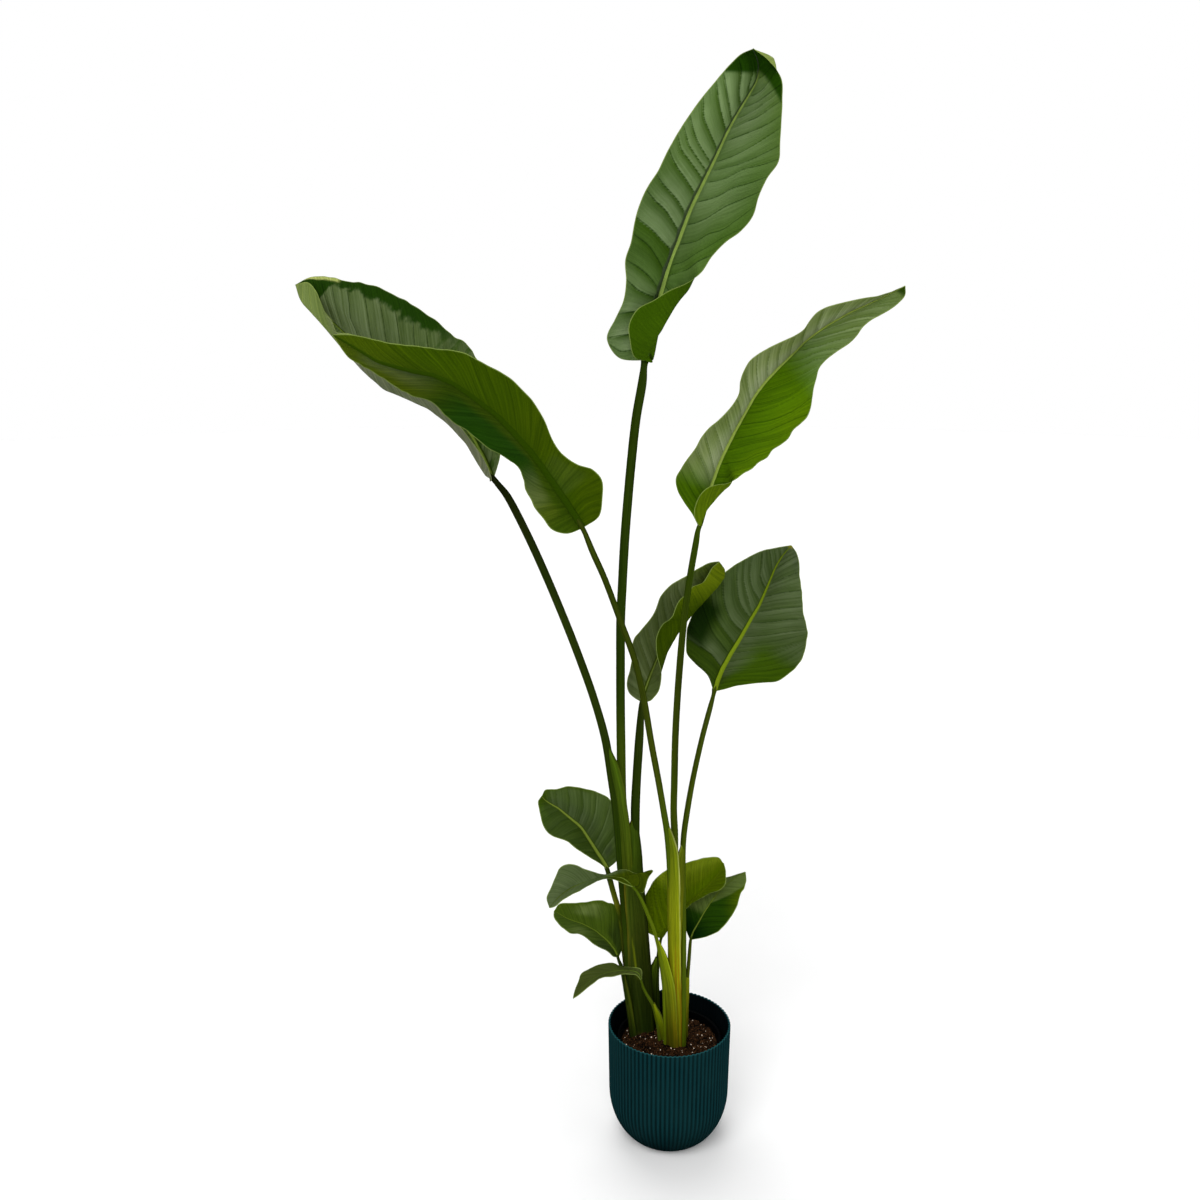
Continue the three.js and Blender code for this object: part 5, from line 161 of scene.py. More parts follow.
        [(277.3, 33.1, 1485.5), (274.9, 33.1, 1478.5), (272.5, 35.1, 1471), (270.1, 39.2, 1463), (274.7, 22.9, 1453.8), (279.2, 12.5, 1443.2), (283.8, 7.9, 1431.3)],
        [(291.6, 36, 1488.4), (288.9, 35.9, 1482.6), (286.3, 37.5, 1476.3), (283.7, 40.8, 1469.7), (287, 26.5, 1462.4), (290.2, 17.1, 1454), (293.5, 12.5, 1444.5)],
        [(305.5, 38.3, 1490.7), (302.8, 38.2, 1486.1), (300.2, 39.4, 1481.2), (297.5, 42.1, 1475.9), (300.5, 29.4, 1469.8), (303.6, 21, 1462.8), (306.6, 16.9, 1454.7)],
        [(319.2, 40.5, 1492.5), (316.5, 40.4, 1489.3), (313.9, 41.3, 1485.8), (311.3, 43.4, 1482.1), (314.9, 32.4, 1476.5), (318.5, 25.2, 1470), (322.1, 22, 1462.5)],
        [(331.7, 41.9, 1496.2), (329.4, 41.7, 1493.8), (327.1, 42.4, 1491.3), (324.8, 44, 1488.5), (329, 34.9, 1483.4), (333.3, 29.3, 1477.4), (337.5, 27.1, 1470.6)],
        [(343.7, 42.7, 1499.9), (341.8, 42.5, 1498.4), (339.9, 42.9, 1496.9), (338, 44, 1495.1), (342.6, 37.2, 1491), (347.2, 33.3, 1486.1), (351.8, 32.3, 1480.5)],
        [(354.6, 42.6, 1504.4), (353.5, 42.5, 1503.6), (352.3, 42.7, 1502.7), (351.1, 43.3, 1501.7), (355.2, 39.2, 1499.3), (359.4, 37.2, 1496.4), (363.5, 37.3, 1493.1)],
        [(363.5, 41.3, 1509), (363.6, 41.2, 1508.7), (363.7, 41.1, 1508.4), (363.9, 41, 1508.1), (364, 40.9, 1507.8), (364.1, 40.8, 1507.5), (364.2, 40.7, 1507.2)],
    ],
    "e": [
        [(-53.9, 62.3, 804.7), (-53.1, 62.2, 804.5), (-52.3, 62.1, 804.4), (-51.6, 62, 804.2), (-50.8, 61.9, 804.1), (-50, 61.8, 803.9), (-49.2, 61.7, 803.8)],
        [(-64.6, 64.7, 810.7), (-59.6, 63.1, 812), (-54.5, 62.6, 813), (-49.5, 63.2, 813.8), (-45.4, 61.6, 811.5), (-41.4, 60.8, 809.1), (-37.3, 60.8, 806.4)],
        [(-74.1, 67.2, 819.7), (-65.1, 64.4, 821.3), (-56.1, 63.4, 822.5), (-47, 64.4, 823.2), (-41.3, 61.6, 820.5), (-35.6, 59.9, 817.4), (-29.9, 59.3, 814.2)],
        [(-77.7, 69.6, 831.7), (-66.4, 65.9, 832.5), (-55.1, 64.5, 832.7), (-43.8, 65.5, 832.4), (-36.7, 61.5, 829.5), (-29.7, 58.5, 826.3), (-23.7, 57.1, 823.4)],
        [(-76.9, 72.1, 844), (-64.8, 67.7, 843.8), (-52.7, 65.9, 843), (-40.6, 66.6, 841.6), (-33, 60.6, 839.3), (-25.6, 55.5, 836.8), (-20.7, 52.9, 835)],
        [(-73.3, 74.5, 855.8), (-61.3, 69.7, 854.7), (-49.2, 67.4, 853), (-37.1, 67.7, 850.7), (-29.8, 58.6, 849.5), (-22.8, 50.4, 848.2), (-19.4, 46.9, 847.4)],
        [(-71.2, 76.9, 867.9), (-58.6, 71.4, 865.8), (-46.1, 68.7, 863.1), (-33.6, 68.7, 859.8), (-27.3, 56.4, 859.9), (-21.3, 44.7, 860), (-19.3, 41, 860)],
        [(-69.4, 78.9, 880), (-56.3, 73, 877), (-43.1, 69.9, 873.2), (-30, 69.8, 868.8), (-22.1, 63.8, 872.4), (-14.2, 57.9, 875.9), (-21.3, 36.3, 871.8)],
        [(-69.1, 80.7, 892.3), (-54.8, 74.2, 888.2), (-40.5, 70.9, 883.4), (-26.3, 70.9, 877.8), (-18.6, 63.4, 882.7), (-11, 56, 887.7), (-24.3, 31.4, 883.6)],
        [(-68.2, 81.9, 904.5), (-52.9, 75.1, 899.4), (-37.7, 71.8, 893.4), (-22.5, 71.9, 886.7), (-14.9, 63.2, 892.8), (-7.3, 54.4, 899), (-27.2, 26.8, 895.1)],
        [(-63.9, 82.9, 916), (-48.9, 76.1, 910), (-33.8, 72.8, 903.2), (-18.7, 73, 895.6), (-10.5, 63.4, 902.5), (-2.3, 53.8, 909.3), (-29.2, 23.1, 906.6)],
        [(-56.2, 83.6, 925.2), (-42.3, 77.1, 919), (-28.3, 74, 912), (-14.4, 74.1, 904.3), (-5.9, 63.6, 911.9), (2.6, 53.1, 919.6), (-30.1, 21, 917.7)],
        [(-48.5, 84.3, 934.5), (-35.8, 78.1, 928), (-23, 75.1, 920.9), (-10.2, 75.2, 913), (-0.9, 64, 921.4), (8.3, 52.9, 929.9), (-30, 20.9, 928.2)],
        [(-41.1, 84.8, 943.7), (-29.3, 79, 937), (-17.5, 76.1, 929.6), (-5.8, 76.2, 921.6), (4.8, 64.8, 930.9), (15.3, 53.3, 940.2), (-27.6, 21.4, 938.2)],
        [(-34.3, 85.2, 953.2), (-23.2, 79.7, 946.1), (-12.1, 77.1, 938.4), (-1, 77.3, 930), (10.6, 65.4, 940.2), (22.2, 53.6, 950.4), (-23.5, 22, 947.5)],
        [(-28.8, 85.7, 963.5), (-18, 80.3, 955.8), (-7.1, 77.9, 947.4), (3.7, 78.3, 938.3), (16, 66.3, 948.4), (28.4, 54.3, 958.5), (-17.7, 22.7, 955.6)],
        [(-25.2, 86.1, 974.4), (-14, 80.8, 965.9), (-2.7, 78.5, 956.6), (8.5, 79.4, 946.7), (21.1, 67.4, 955.5), (33.7, 55.4, 964.3), (-9.4, 23.5, 961.3)],
        [(-21.5, 86.7, 985), (-9.8, 81.4, 975.7), (1.9, 79.3, 965.7), (13.5, 80.5, 954.9), (26.2, 68.5, 962.5), (38.9, 56.5, 970.1), (-2.9, 24.5, 968.4)],
        [(-15.4, 87.3, 994.3), (-4.1, 82.1, 984.6), (7.2, 80.2, 974.2), (18.5, 81.6, 963.1), (31.7, 69.8, 969.8), (45, 58, 976.5), (0.6, 25.9, 977.8)],
        [(-8.4, 87.9, 1002.4), (2.3, 83, 992.7), (13, 81.3, 982.3), (23.7, 82.7, 971.1), (37.6, 71.2, 977.2), (51.5, 59.8, 983.4), (4.4, 28.7, 986.8)],
        [(-0.3, 88.6, 1009.5), (9.4, 84, 1000.1), (19.2, 82.5, 989.9), (29, 83.8, 979.1), (43.5, 72.7, 984.6), (58, 61.6, 990.2), (10, 32.8, 994.4)],
        [(8.6, 89.2, 1014.9), (17.2, 85.2, 1006.2), (25.8, 83.8, 996.9), (34.3, 85, 987), (49.2, 74.5, 991.7), (64.1, 64, 996.3), (17.6, 37.8, 1000.1)],
        [(17.7, 89.8, 1019.8), (25.2, 86.2, 1012), (32.6, 85, 1003.6), (40, 86.1, 994.7), (55.1, 76.3, 998.4), (70.1, 66.5, 1002.1), (25.6, 43.1, 1005.1)],
        [(26.5, 90.4, 1024.8), (32.9, 87.3, 1017.8), (39.4, 86.2, 1010.3), (45.8, 87.2, 1002.3), (61, 78.1, 1005.1), (76.1, 69, 1007.9), (31.4, 48.4, 1012.6)],
        [(34.9, 91, 1030.2), (40.4, 88.3, 1023.9), (46, 87.4, 1017.1), (51.5, 88.4, 1010), (66, 80.2, 1011.5), (80.6, 72, 1013.1), (40.9, 53.8, 1015.5)],
        [(43.1, 91.6, 1035.4), (47.8, 89.3, 1029.8), (52.5, 88.6, 1023.9), (57.2, 89.5, 1017.6), (70.9, 82.3, 1017.9), (84.6, 75.2, 1018.1), (50.3, 59.9, 1018.2)],
        [(51.4, 92.2, 1039.9), (55.3, 90.4, 1035.3), (59.1, 89.8, 1030.4), (62.9, 90.6, 1025.3), (75.8, 84.5, 1024.2), (88.6, 78.4, 1023.2), (56.7, 66.7, 1025.3)],
        [(59.6, 92.3, 1044.4), (62.6, 90.9, 1040.8), (65.7, 90.6, 1037), (68.7, 91.2, 1032.9), (78.8, 86.6, 1031.2), (89, 82, 1029.5), (62.1, 73.5, 1033)],
        [(68.2, 92.2, 1047.1), (70.3, 91.4, 1045), (72.4, 91.2, 1042.9), (74.5, 91.6, 1040.5), (81.7, 88.6, 1038.3), (88.9, 85.5, 1036.1), (68, 80.6, 1040.4)],
        [(80, 92.9, 1048.4), (80.1, 92.6, 1048.3), (80.2, 92.3, 1048.2), (80.3, 92, 1048.2), (80.4, 91.7, 1048.1), (80.5, 91.4, 1048.1), (80.6, 91.1, 1048)],
    ],
    "f": [
        [(73.5, 75, 821), (74.3, 75, 820.7), (75, 75, 820.5), (75.8, 75, 820.2), (76.5, 75, 820), (77.3, 75, 819.7), (78.1, 75, 819.5)],
        [(63.1, 76, 848.3), (68.4, 74.4, 842.5), (73.6, 74.9, 836.2), (78.8, 77.5, 829.4), (84.4, 73.9, 828.3), (89.9, 72.2, 826.7), (95.4, 72.6, 824.6)],
        [(42.6, 77.1, 867.9), (55.7, 73.9, 859.1), (68.8, 74.9, 849.3), (81.9, 79.9, 838.6), (91.9, 73.2, 836.7), (101.8, 70, 834), (111.8, 70.5, 830.4)],
        [(27.1, 78.3, 885.4), (46.7, 73.9, 874.1), (66.2, 75.3, 861.5), (85.7, 82.6, 847.5), (99.7, 72.9, 844), (113.7, 68.4, 839.4), (127.7, 69, 833.5)],
        [(24.9, 79.7, 902.4), (46.4, 75.7, 888.4), (68, 77.6, 873.1), (89.5, 85.3, 856.3), (107, 73.1, 850.9), (124.4, 67.4, 844), (141.8, 68.3, 835.5)],
        [(25.4, 81.5, 916.9), (48.4, 77.9, 900.8), (71.4, 80.2, 883.4), (94.4, 88.3, 864.6), (114.6, 74, 857), (134.8, 67.4, 847.6), (155, 68.5, 836.4)],
        [(26.2, 83.1, 929.7), (50.6, 80, 912.1), (75, 82.7, 893.2), (99.3, 91.3, 872.9), (122, 76.1, 862.8), (144.7, 68.5, 850.9), (167.3, 68.8, 837.2)],
        [(29.4, 84.6, 940.6), (54.4, 82, 922.2), (79.3, 85.3, 902.3), (104.2, 94.4, 881.1), (129.2, 78.2, 868.6), (154.1, 69.8, 854.2), (179, 69.2, 838)],
        [(32.9, 86.6, 950.2), (58.4, 84.5, 931.2), (84, 88.2, 910.9), (109.5, 97.8, 889.1), (136.1, 80.8, 875.1), (162.6, 71.6, 859.2), (189.2, 70.2, 841.5)],
        [(36.7, 88.8, 958.8), (62.8, 87.1, 939.6), (88.9, 91.2, 919), (115, 101.2, 897), (142.8, 83.6, 882.2), (170.5, 73.7, 865.6), (198.3, 71.7, 847.1)],
        [(41.3, 91.3, 966.4), (67.7, 89.9, 947.3), (94, 94.4, 926.8), (120.4, 104.7, 905), (149.1, 86.5, 889.6), (177.9, 76.2, 872.4), (206.7, 73.7, 853.4)],
        [(45.9, 94.2, 973.7), (72.4, 93, 954.9), (99, 97.7, 934.6), (125.6, 108.2, 913), (155.4, 89.7, 897), (185.3, 79.1, 879.2), (215.1, 76.3, 859.5)],
        [(50.7, 97.7, 980.9), (77.3, 96.5, 962.4), (104, 101.2, 942.5), (130.7, 111.7, 921.2), (161, 93.2, 905.1), (191.4, 82.6, 887.1), (221.8, 79.7, 867.4)],
        [(56.1, 101.2, 988.2), (82.6, 100.1, 969.9), (109.2, 104.7, 950.3), (135.8, 115.2, 929.3), (166.7, 96.8, 913.3), (197.6, 86.2, 895.3), (228.5, 83.4, 875.6)],
        [(61.9, 105, 996), (88.2, 103.7, 977.9), (114.6, 108.3, 958.4), (140.9, 118.8, 937.5), (171.5, 100.5, 922), (202.1, 90, 904.7), (232.6, 87.4, 885.6)],
        [(69.4, 109.1, 1003.4), (95, 107.8, 985.4), (120.7, 112.3, 966.1), (146.4, 122.7, 945.4), (176.2, 104.6, 930.9), (206.1, 94.3, 914.6), (236, 91.8, 896.5)],
        [(77.5, 113.2, 1010.6), (102.2, 111.8, 992.9), (127, 116.3, 973.8), (151.8, 126.6, 953.4), (180.6, 108.8, 940), (209.4, 98.7, 924.8), (238.2, 96.4, 907.7)],
        [(86.1, 117.5, 1017.3), (109.7, 116, 1000), (133.4, 120.4, 981.4), (157.1, 130.6, 961.4), (184.6, 113, 949.1), (212.2, 103.2, 935), (239.7, 101.3, 919.1)],
        [(94.8, 122.4, 1023.8), (117.1, 120.8, 1007.2), (139.3, 125.1, 989.2), (161.5, 135.2, 969.8), (187, 117.9, 958.5), (212.4, 108.4, 945.3), (237.9, 106.8, 930.4)],
        [(104.3, 127.3, 1029.6), (124.8, 125.6, 1013.8), (145.4, 129.8, 996.7), (165.9, 139.8, 978.3), (189.2, 122.8, 967.9), (212.5, 113.7, 955.7), (235.8, 112.3, 941.7)],
        [(113.9, 132.2, 1035.4), (132.7, 130.4, 1020.5), (151.5, 134.5, 1004.3), (170.3, 144.4, 986.8), (191.3, 127.8, 977.3), (212.4, 119, 966.1), (233.4, 118, 953)],
        [(124.2, 137.5, 1040.1), (141, 135.7, 1026.5), (157.8, 139.6, 1011.5), (174.5, 149.2, 995.3), (193.9, 133, 986.9), (213.3, 124.7, 976.7), (232.7, 124.1, 964.7)],
        [(134.7, 143.1, 1044.8), (149.4, 141.6, 1032.3), (164.1, 145.3, 1018.7), (178.8, 154, 1003.8), (196.7, 139.1, 996.4), (214.6, 131.3, 987.2), (232.6, 130.7, 976.4)],
        [(145.5, 149.7, 1048.9), (158.1, 148.5, 1037.7), (170.6, 151.8, 1025.5), (183.2, 159.5, 1012.2), (199.5, 146, 1005.7), (215.9, 139, 997.6), (232.2, 138.5, 988)],
        [(156.8, 156.6, 1052.5), (167.1, 155.7, 1042.7), (177.4, 158.6, 1032.1), (187.6, 165.3, 1020.6), (202.3, 153.4, 1015), (216.9, 147.3, 1008), (231.6, 147, 999.6)],
        [(168.5, 164, 1055.2), (176.6, 163.3, 1047.1), (184.8, 165.7, 1038.2), (192.9, 171.2, 1028.6), (205.6, 161.2, 1024), (218.4, 156.1, 1018.2), (231.1, 156, 1011.3)],
        [(181, 171.8, 1056), (187, 171.3, 1049.9), (193, 173.2, 1043.3), (199, 177.3, 1036.2), (209.8, 169.3, 1032.8), (220.5, 165.4, 1028.4), (231.3, 165.6, 1023.1)],
        [(193.7, 179.6, 1056.7), (197.6, 179.3, 1052.7), (201.5, 180.6, 1048.3), (205.4, 183.4, 1043.5), (213.9, 177.6, 1041.4), (222.4, 174.9, 1038.5), (230.9, 175.4, 1034.9)],
        [(206.5, 187.3, 1057.2), (208.6, 187.1, 1055.1), (210.8, 187.7, 1052.7), (212.9, 189.2, 1050.2), (217.9, 186, 1049.4), (223, 184.7, 1048.1), (228, 185.1, 1046.5)],
        [(219.6, 195.2, 1057.5), (219.9, 195.2, 1057.3), (220.1, 195.1, 1057.1), (220.4, 195, 1056.9), (220.6, 194.9, 1056.7), (220.9, 194.8, 1056.5), (221.1, 194.8, 1056.3)],
    ],
    "g": [
        [(-112.7, 61.4, 488.5), (-112.2, 61.6, 488.7), (-111.8, 61.8, 488.9), (-111.4, 62, 489.1), (-110.9, 62.2, 489.3), (-110.5, 62.4, 489.6), (-110, 62.6, 489.8)],
        [(-121.9, 60.3, 497.7), (-119.9, 61.1, 497.7), (-118, 62.2, 497.5), (-116, 63.7, 497.3), (-108.3, 64, 499.9), (-100.5, 66.1, 502.1), (-92.8, 69.8, 504)],
        [(-130.2, 59, 504.4), (-127.1, 60.5, 504.8), (-124, 62.8, 505.1), (-120.8, 65.6, 505.2), (-111.2, 67, 512.2), (-101.6, 70.9, 518.6), (-92, 77.3, 524.4)],
        [(-138.3, 58.2, 509.7), (-134.2, 60.6, 510.9), (-130.2, 63.8, 511.9), (-126.1, 67.9, 512.7), (-114.9, 70.2, 522.9), (-103.8, 75.8, 532.5), (-92.6, 84.6, 541.2)],
        [(-145.7, 57.9, 514.9), (-140.9, 61, 516.9), (-136.1, 65.1, 518.6), (-131.2, 70.4, 520.1), (-118.5, 73.4, 533.3), (-105.8, 80.3, 545.5), (-93.1, 91.2, 556.9)],
        [(-152.9, 57.4, 519.9), (-147.4, 61.3, 522.8), (-141.8, 66.5, 525.3), (-136.3, 73.1, 527.6), (-122.4, 76.8, 543.2), (-108.5, 85, 557.7), (-94.5, 97.7, 571.2)],
        [(-159.8, 56.8, 525.2), (-153.7, 61.5, 528.8), (-147.5, 67.8, 532.1), (-141.4, 75.7, 535.1), (-126.6, 80.3, 552.6), (-111.7, 89.8, 569), (-96.9, 104.1, 584.3)],
        [(-166.8, 56.4, 530.4), (-160, 61.9, 534.8), (-153.3, 69.3, 538.8), (-146.5, 78.4, 542.5), (-131.7, 84.1, 561.4), (-116.9, 94.7, 579.2), (-102.2, 110.2, 595.9)],
        [(-173.6, 56.7, 536), (-166.3, 62.9, 541.1), (-159, 71, 545.7), (-151.7, 81.1, 549.8), (-137.9, 87.7, 569.2), (-124.1, 99.2, 587.5), (-110.3, 115.5, 604.7)],
        [(-180.5, 58, 542), (-172.7, 64.5, 547.5), (-164.8, 73.1, 552.6), (-157, 83.8, 557.2), (-145.3, 90.9, 575.9), (-133.6, 102.8, 593.5), (-121.9, 119.6, 610)],
        [(-189.1, 60.5, 545.9), (-180.5, 66.9, 552.3), (-172, 75.5, 558.2), (-163.4, 86.3, 563.5), (-153.6, 93.5, 581.7), (-143.8, 105.4, 598.8), (-134, 122.1, 614.8)],
        [(-199, 64, 547.7), (-189.6, 69.8, 555.3), (-180.2, 78.1, 562.5), (-170.7, 88.7, 569), (-162.7, 95.6, 586.3), (-154.6, 106.9, 602.6), (-146.6, 122.7, 617.9)],
        [(-209.2, 68.3, 549.5), (-198.8, 73.3, 558.5), (-188.5, 80.9, 566.8), (-178.1, 91.1, 574.5), (-171.7, 97.3, 590.8), (-165.4, 107.7, 606.1), (-159, 122.1, 620.5)],
        [(-218.5, 73.1, 554), (-207.5, 77.3, 563.3), (-196.5, 84, 572), (-185.5, 93.3, 580.1), (-180.7, 98.7, 595.3), (-175.9, 107.8, 609.7), (-171.2, 120.5, 623.3)],
        [(-225.4, 78.2, 561.4), (-214.6, 81.5, 570), (-203.7, 87.3, 578.1), (-192.9, 95.6, 585.6), (-189.6, 99.9, 599.7), (-186.2, 107.6, 613.1), (-182.9, 118.5, 625.6)],
        [(-229.8, 83.2, 570.8), (-220, 85.9, 578.1), (-210.1, 90.8, 584.9), (-200.3, 97.8, 591.1), (-198.2, 101.4, 602.7), (-196.1, 107.6, 613.7), (-194, 116.6, 624)],
        [(-232.6, 88, 581.5), (-224.6, 90.1, 586.6), (-216.6, 94, 591.2), (-208.6, 99.6, 595.5), (-207.2, 102.4, 604.8), (-205.9, 107.3, 613.6), (-204.6, 114.3, 621.8)],
        [(-235.3, 93, 592.4), (-229.1, 94.5, 595.2), (-223, 97.2, 597.8), (-216.8, 101.1, 600), (-216.2, 102.8, 608.1), (-215.7, 106.2, 615.7), (-215.1, 111.3, 622.9)],
        [(-237.1, 97.8, 604), (-232.9, 98.5, 604.7), (-228.8, 99.9, 605.2), (-224.6, 102, 605.5), (-224.6, 102.5, 611.6), (-224.5, 104.2, 617.3), (-224.5, 107.3, 622.8)],
        [(-231.4, 101.7, 612.7), (-231.2, 101.8, 612.9), (-231, 101.9, 613), (-230.8, 102, 613.2), (-230.6, 102.1, 613.3), (-230.4, 102.2, 613.5), (-230.2, 102.3, 613.6)],
    ],
    "h": [
        [(-66.3, -25.6, 498.9), (-66.5, -26.1, 498.7), (-66.7, -26.5, 498.6), (-66.9, -27, 498.4), (-67, -27.5, 498.2), (-67.2, -27.9, 498.1), (-67.4, -28.4, 497.9)],
        [(-50.5, -18, 482.8), (-58, -22.4, 490.6), (-65.6, -25.4, 498.1), (-73.2, -27, 505.2), (-74.6, -28.4, 504.3), (-75.9, -29.6, 503.4), (-77.3, -30.5, 502.3)],
        [(-41.4, -18.3, 510.2), (-54.3, -23, 510.9), (-67.3, -26, 511.1), (-80.3, -27.3, 510.9), (-81.9, -30, 509.9), (-83.5, -32.4, 508.8), (-85.1, -34.3, 507.5)],
        [(-33.7, -19.8, 525.6), (-51.9, -24.8, 522.8), (-70, -27.6, 519.4), (-88.2, -28, 515.5), (-89.7, -32, 514.9), (-91.2, -35.5, 514.2), (-92.7, -38.5, 513.3)],
        [(-58.8, -17.2, 518.5), (-71.5, -23.2, 518.8), (-84.3, -27.5, 518.6), (-97, -30.1, 518), (-98.1, -35.6, 518.7), (-99.3, -40.4, 519.2), (-100.4, -44.7, 519.5)],
        [(-75.9, -16, 523.8), (-85.9, -23.1, 522.9), (-95.8, -28.8, 521.7), (-105.8, -33.1, 520.1), (-106.7, -40.2, 521.7), (-107.6, -46.4, 523.2), (-108.6, -51.9, 524.5)],
        [(-87.4, -15.7, 525.4), (-96.5, -24.2, 524.5), (-105.5, -31.3, 523.2), (-114.6, -36.9, 521.6), (-115.3, -45.3, 524), (-115.9, -52.7, 526.2), (-116.6, -59.2, 528.2)],
        [(-96.5, -16.8, 524.3), (-105.5, -26.4, 524), (-114.4, -34.6, 523.3), (-123.3, -41.2, 522.4), (-123.7, -50.3, 524.6), (-124, -58.4, 526.6), (-124.4, -65.4, 528.4)],
        [(-103.9, -18.1, 520.1), (-113.2, -28.9, 521.2), (-122.5, -38.1, 521.9), (-131.8, -45.6, 522.1), (-131.8, -55.1, 524.3), (-131.9, -63.5, 526.2), (-131.9, -70.9, 527.9)],
        [(-113.2, -20.3, 519), (-122.2, -31.9, 520.3), (-131.2, -41.8, 521.2), (-140.2, -50, 521.7), (-139.9, -59.7, 523.6), (-139.5, -68.4, 525.2), (-139.2, -75.9, 526.6)],
        [(-125.1, -23.7, 521.6), (-132.9, -35.1, 521.5), (-140.7, -45, 521), (-148.5, -53.4, 520.2), (-147.7, -63.1, 521.7), (-147, -71.7, 522.9), (-146.2, -79.3, 523.9)],
        [(-137.8, -29, 527.9), (-144.1, -39.7, 525.2), (-150.4, -49, 522.1), (-156.7, -56.8, 518.7), (-155.5, -66.2, 519.7), (-154.4, -74.7, 520.4), (-153.2, -82, 520.9)],
        [(-151.1, -34.6, 535.7), (-155.6, -44.2, 529.5), (-160.1, -52.4, 523), (-164.6, -59.2, 516.1), (-163.2, -68.2, 516.7), (-161.7, -76.2, 517.1), (-160.3, -83.2, 517.3)],
        [(-164.6, -40.5, 545.3), (-167.2, -49.1, 535), (-169.9, -56.1, 524.4), (-172.5, -61.5, 513.3), (-170.8, -70, 513.6), (-169.1, -77.5, 513.7), (-167.4, -84, 513.5)],
        [(-180, -46.2, 549.5), (-180, -53.8, 536.5), (-179.9, -59.5, 523.1), (-179.9, -63.5, 509.4), (-178.1, -71, 509.4), (-176.3, -77.7, 509.3), (-174.5, -83.5, 509)],
        [(-193.5, -52.6, 545.2), (-191.3, -58.7, 532.3), (-189.2, -62.9, 518.9), (-187.1, -65.4, 505), (-185.3, -71.2, 504.6), (-183.5, -76.3, 504.1), (-181.7, -80.8, 503.4)],
        [(-201.2, -58.2, 531), (-198.7, -62.4, 520.8), (-196.2, -65.3, 510.3), (-193.6, -66.7, 499.5), (-192, -70.7, 498.8), (-190.3, -74.3, 498), (-188.7, -77.3, 497.1)],
        [(-208.2, -62.5, 514.5), (-205.4, -65.2, 507.6), (-202.6, -67, 500.6), (-199.8, -67.7, 493.3), (-198.2, -70.4, 492.3), (-196.6, -72.7, 491.2), (-195, -74.6, 489.9)],
        [(-215.8, -65.6, 496.6), (-212.4, -67, 493.3), (-208.9, -67.8, 489.8), (-205.4, -68, 486.2), (-204.1, -69.4, 485.1), (-202.8, -70.5, 483.9), (-201.5, -71.3, 482.7)],
        [(-211.5, -67.8, 479.2), (-211.3, -67.9, 479), (-211.1, -67.9, 478.9), (-210.9, -68, 478.7), (-210.7, -68.1, 478.6), (-210.5, -68.1, 478.4), (-210.3, -68.2, 478.3)],
    ],
    "i": [
        [(-92.9, 49.5, 320.6), (-92.4, 49.7, 320.9), (-92, 49.8, 321.1), (-91.5, 50, 321.3), (-91, 50.2, 321.5), (-90.6, 50.3, 321.7), (-90.1, 50.5, 321.9)],
        [(-101.2, 48.1, 323.2), (-99.2, 48.6, 325), (-97.2, 49.5, 326.7), (-95.2, 50.9, 328.3), (-91.3, 51.7, 331), (-87.5, 53.2, 333.5), (-83.6, 55.5, 335.7)],
        [(-108, 46.4, 331.2), (-105, 47.6, 332.7), (-101.9, 49.4, 334.1), (-98.9, 51.9, 335.4), (-93.8, 53.6, 340.3), (-88.6, 56.6, 344.9), (-83.4, 60.8, 349.2)],
        [(-115.1, 45.1, 337.4), (-111.2, 46.9, 339), (-107.4, 49.6, 340.4), (-103.5, 53.1, 341.6), (-97.1, 55.8, 348.4), (-90.7, 60.1, 354.8), (-84.3, 66.1, 360.9)],
        [(-123.2, 43.9, 341.8), (-118.2, 46.4, 344.1), (-113.2, 49.9, 346.1), (-108.2, 54.4, 347.8), (-100.6, 57.9, 356.3), (-93.1, 63.5, 364.2), (-85.5, 71.2, 371.8)],
        [(-130.8, 42.5, 347.1), (-125, 45.6, 349.5), (-119.3, 50, 351.5), (-113.6, 55.6, 353.3), (-104.7, 60.1, 363.4), (-95.9, 67, 372.9), (-87.1, 76.4, 381.9)],
        [(-138.1, 40.8, 352.9), (-131.9, 44.7, 354.9), (-125.7, 50, 356.7), (-119.6, 56.7, 358.1), (-109.4, 62.2, 369.8), (-99.3, 70.5, 380.9), (-89.1, 81.7, 391.2)],
        [(-144.5, 39.2, 359.7), (-138.2, 43.9, 361.2), (-131.9, 50.1, 362.3), (-125.6, 57.8, 363), (-114.7, 64.2, 376.1), (-103.8, 73.9, 388.4), (-92.9, 86.7, 399.9)],
        [(-150.8, 38.3, 366.1), (-144.4, 43.6, 367.1), (-138, 50.4, 367.7), (-131.6, 58.9, 367.9), (-121.1, 66.3, 381.4), (-110.6, 76.9, 394.1), (-100.2, 90.9, 406.1)],
        [(-157.6, 38.1, 371.1), (-151.2, 43.8, 371.7), (-144.7, 51.1, 371.9), (-138.3, 60, 371.7), (-129.1, 68.1, 384.3), (-119.9, 79.3, 396.1), (-110.7, 93.7, 407.1)],
        [(-165, 39.1, 373), (-158.3, 44.8, 374.2), (-151.7, 52.1, 375), (-145.1, 61, 375.4), (-136.9, 69.2, 388.2), (-128.8, 80.5, 400.2), (-120.6, 94.8, 411.6)],
        [(-172.9, 41.2, 371.9), (-166, 46.5, 374.6), (-159, 53.4, 376.8), (-152, 62.1, 378.6), (-145.2, 70.1, 390.4), (-138.3, 80.8, 401.6), (-131.4, 94.4, 412.1)],
        [(-180.2, 43.9, 372.6), (-173.1, 48.6, 376), (-166.1, 55.1, 379), (-159.1, 63.2, 381.6), (-153.4, 70.6, 392), (-147.6, 80.5, 401.8), (-141.9, 92.9, 411)],
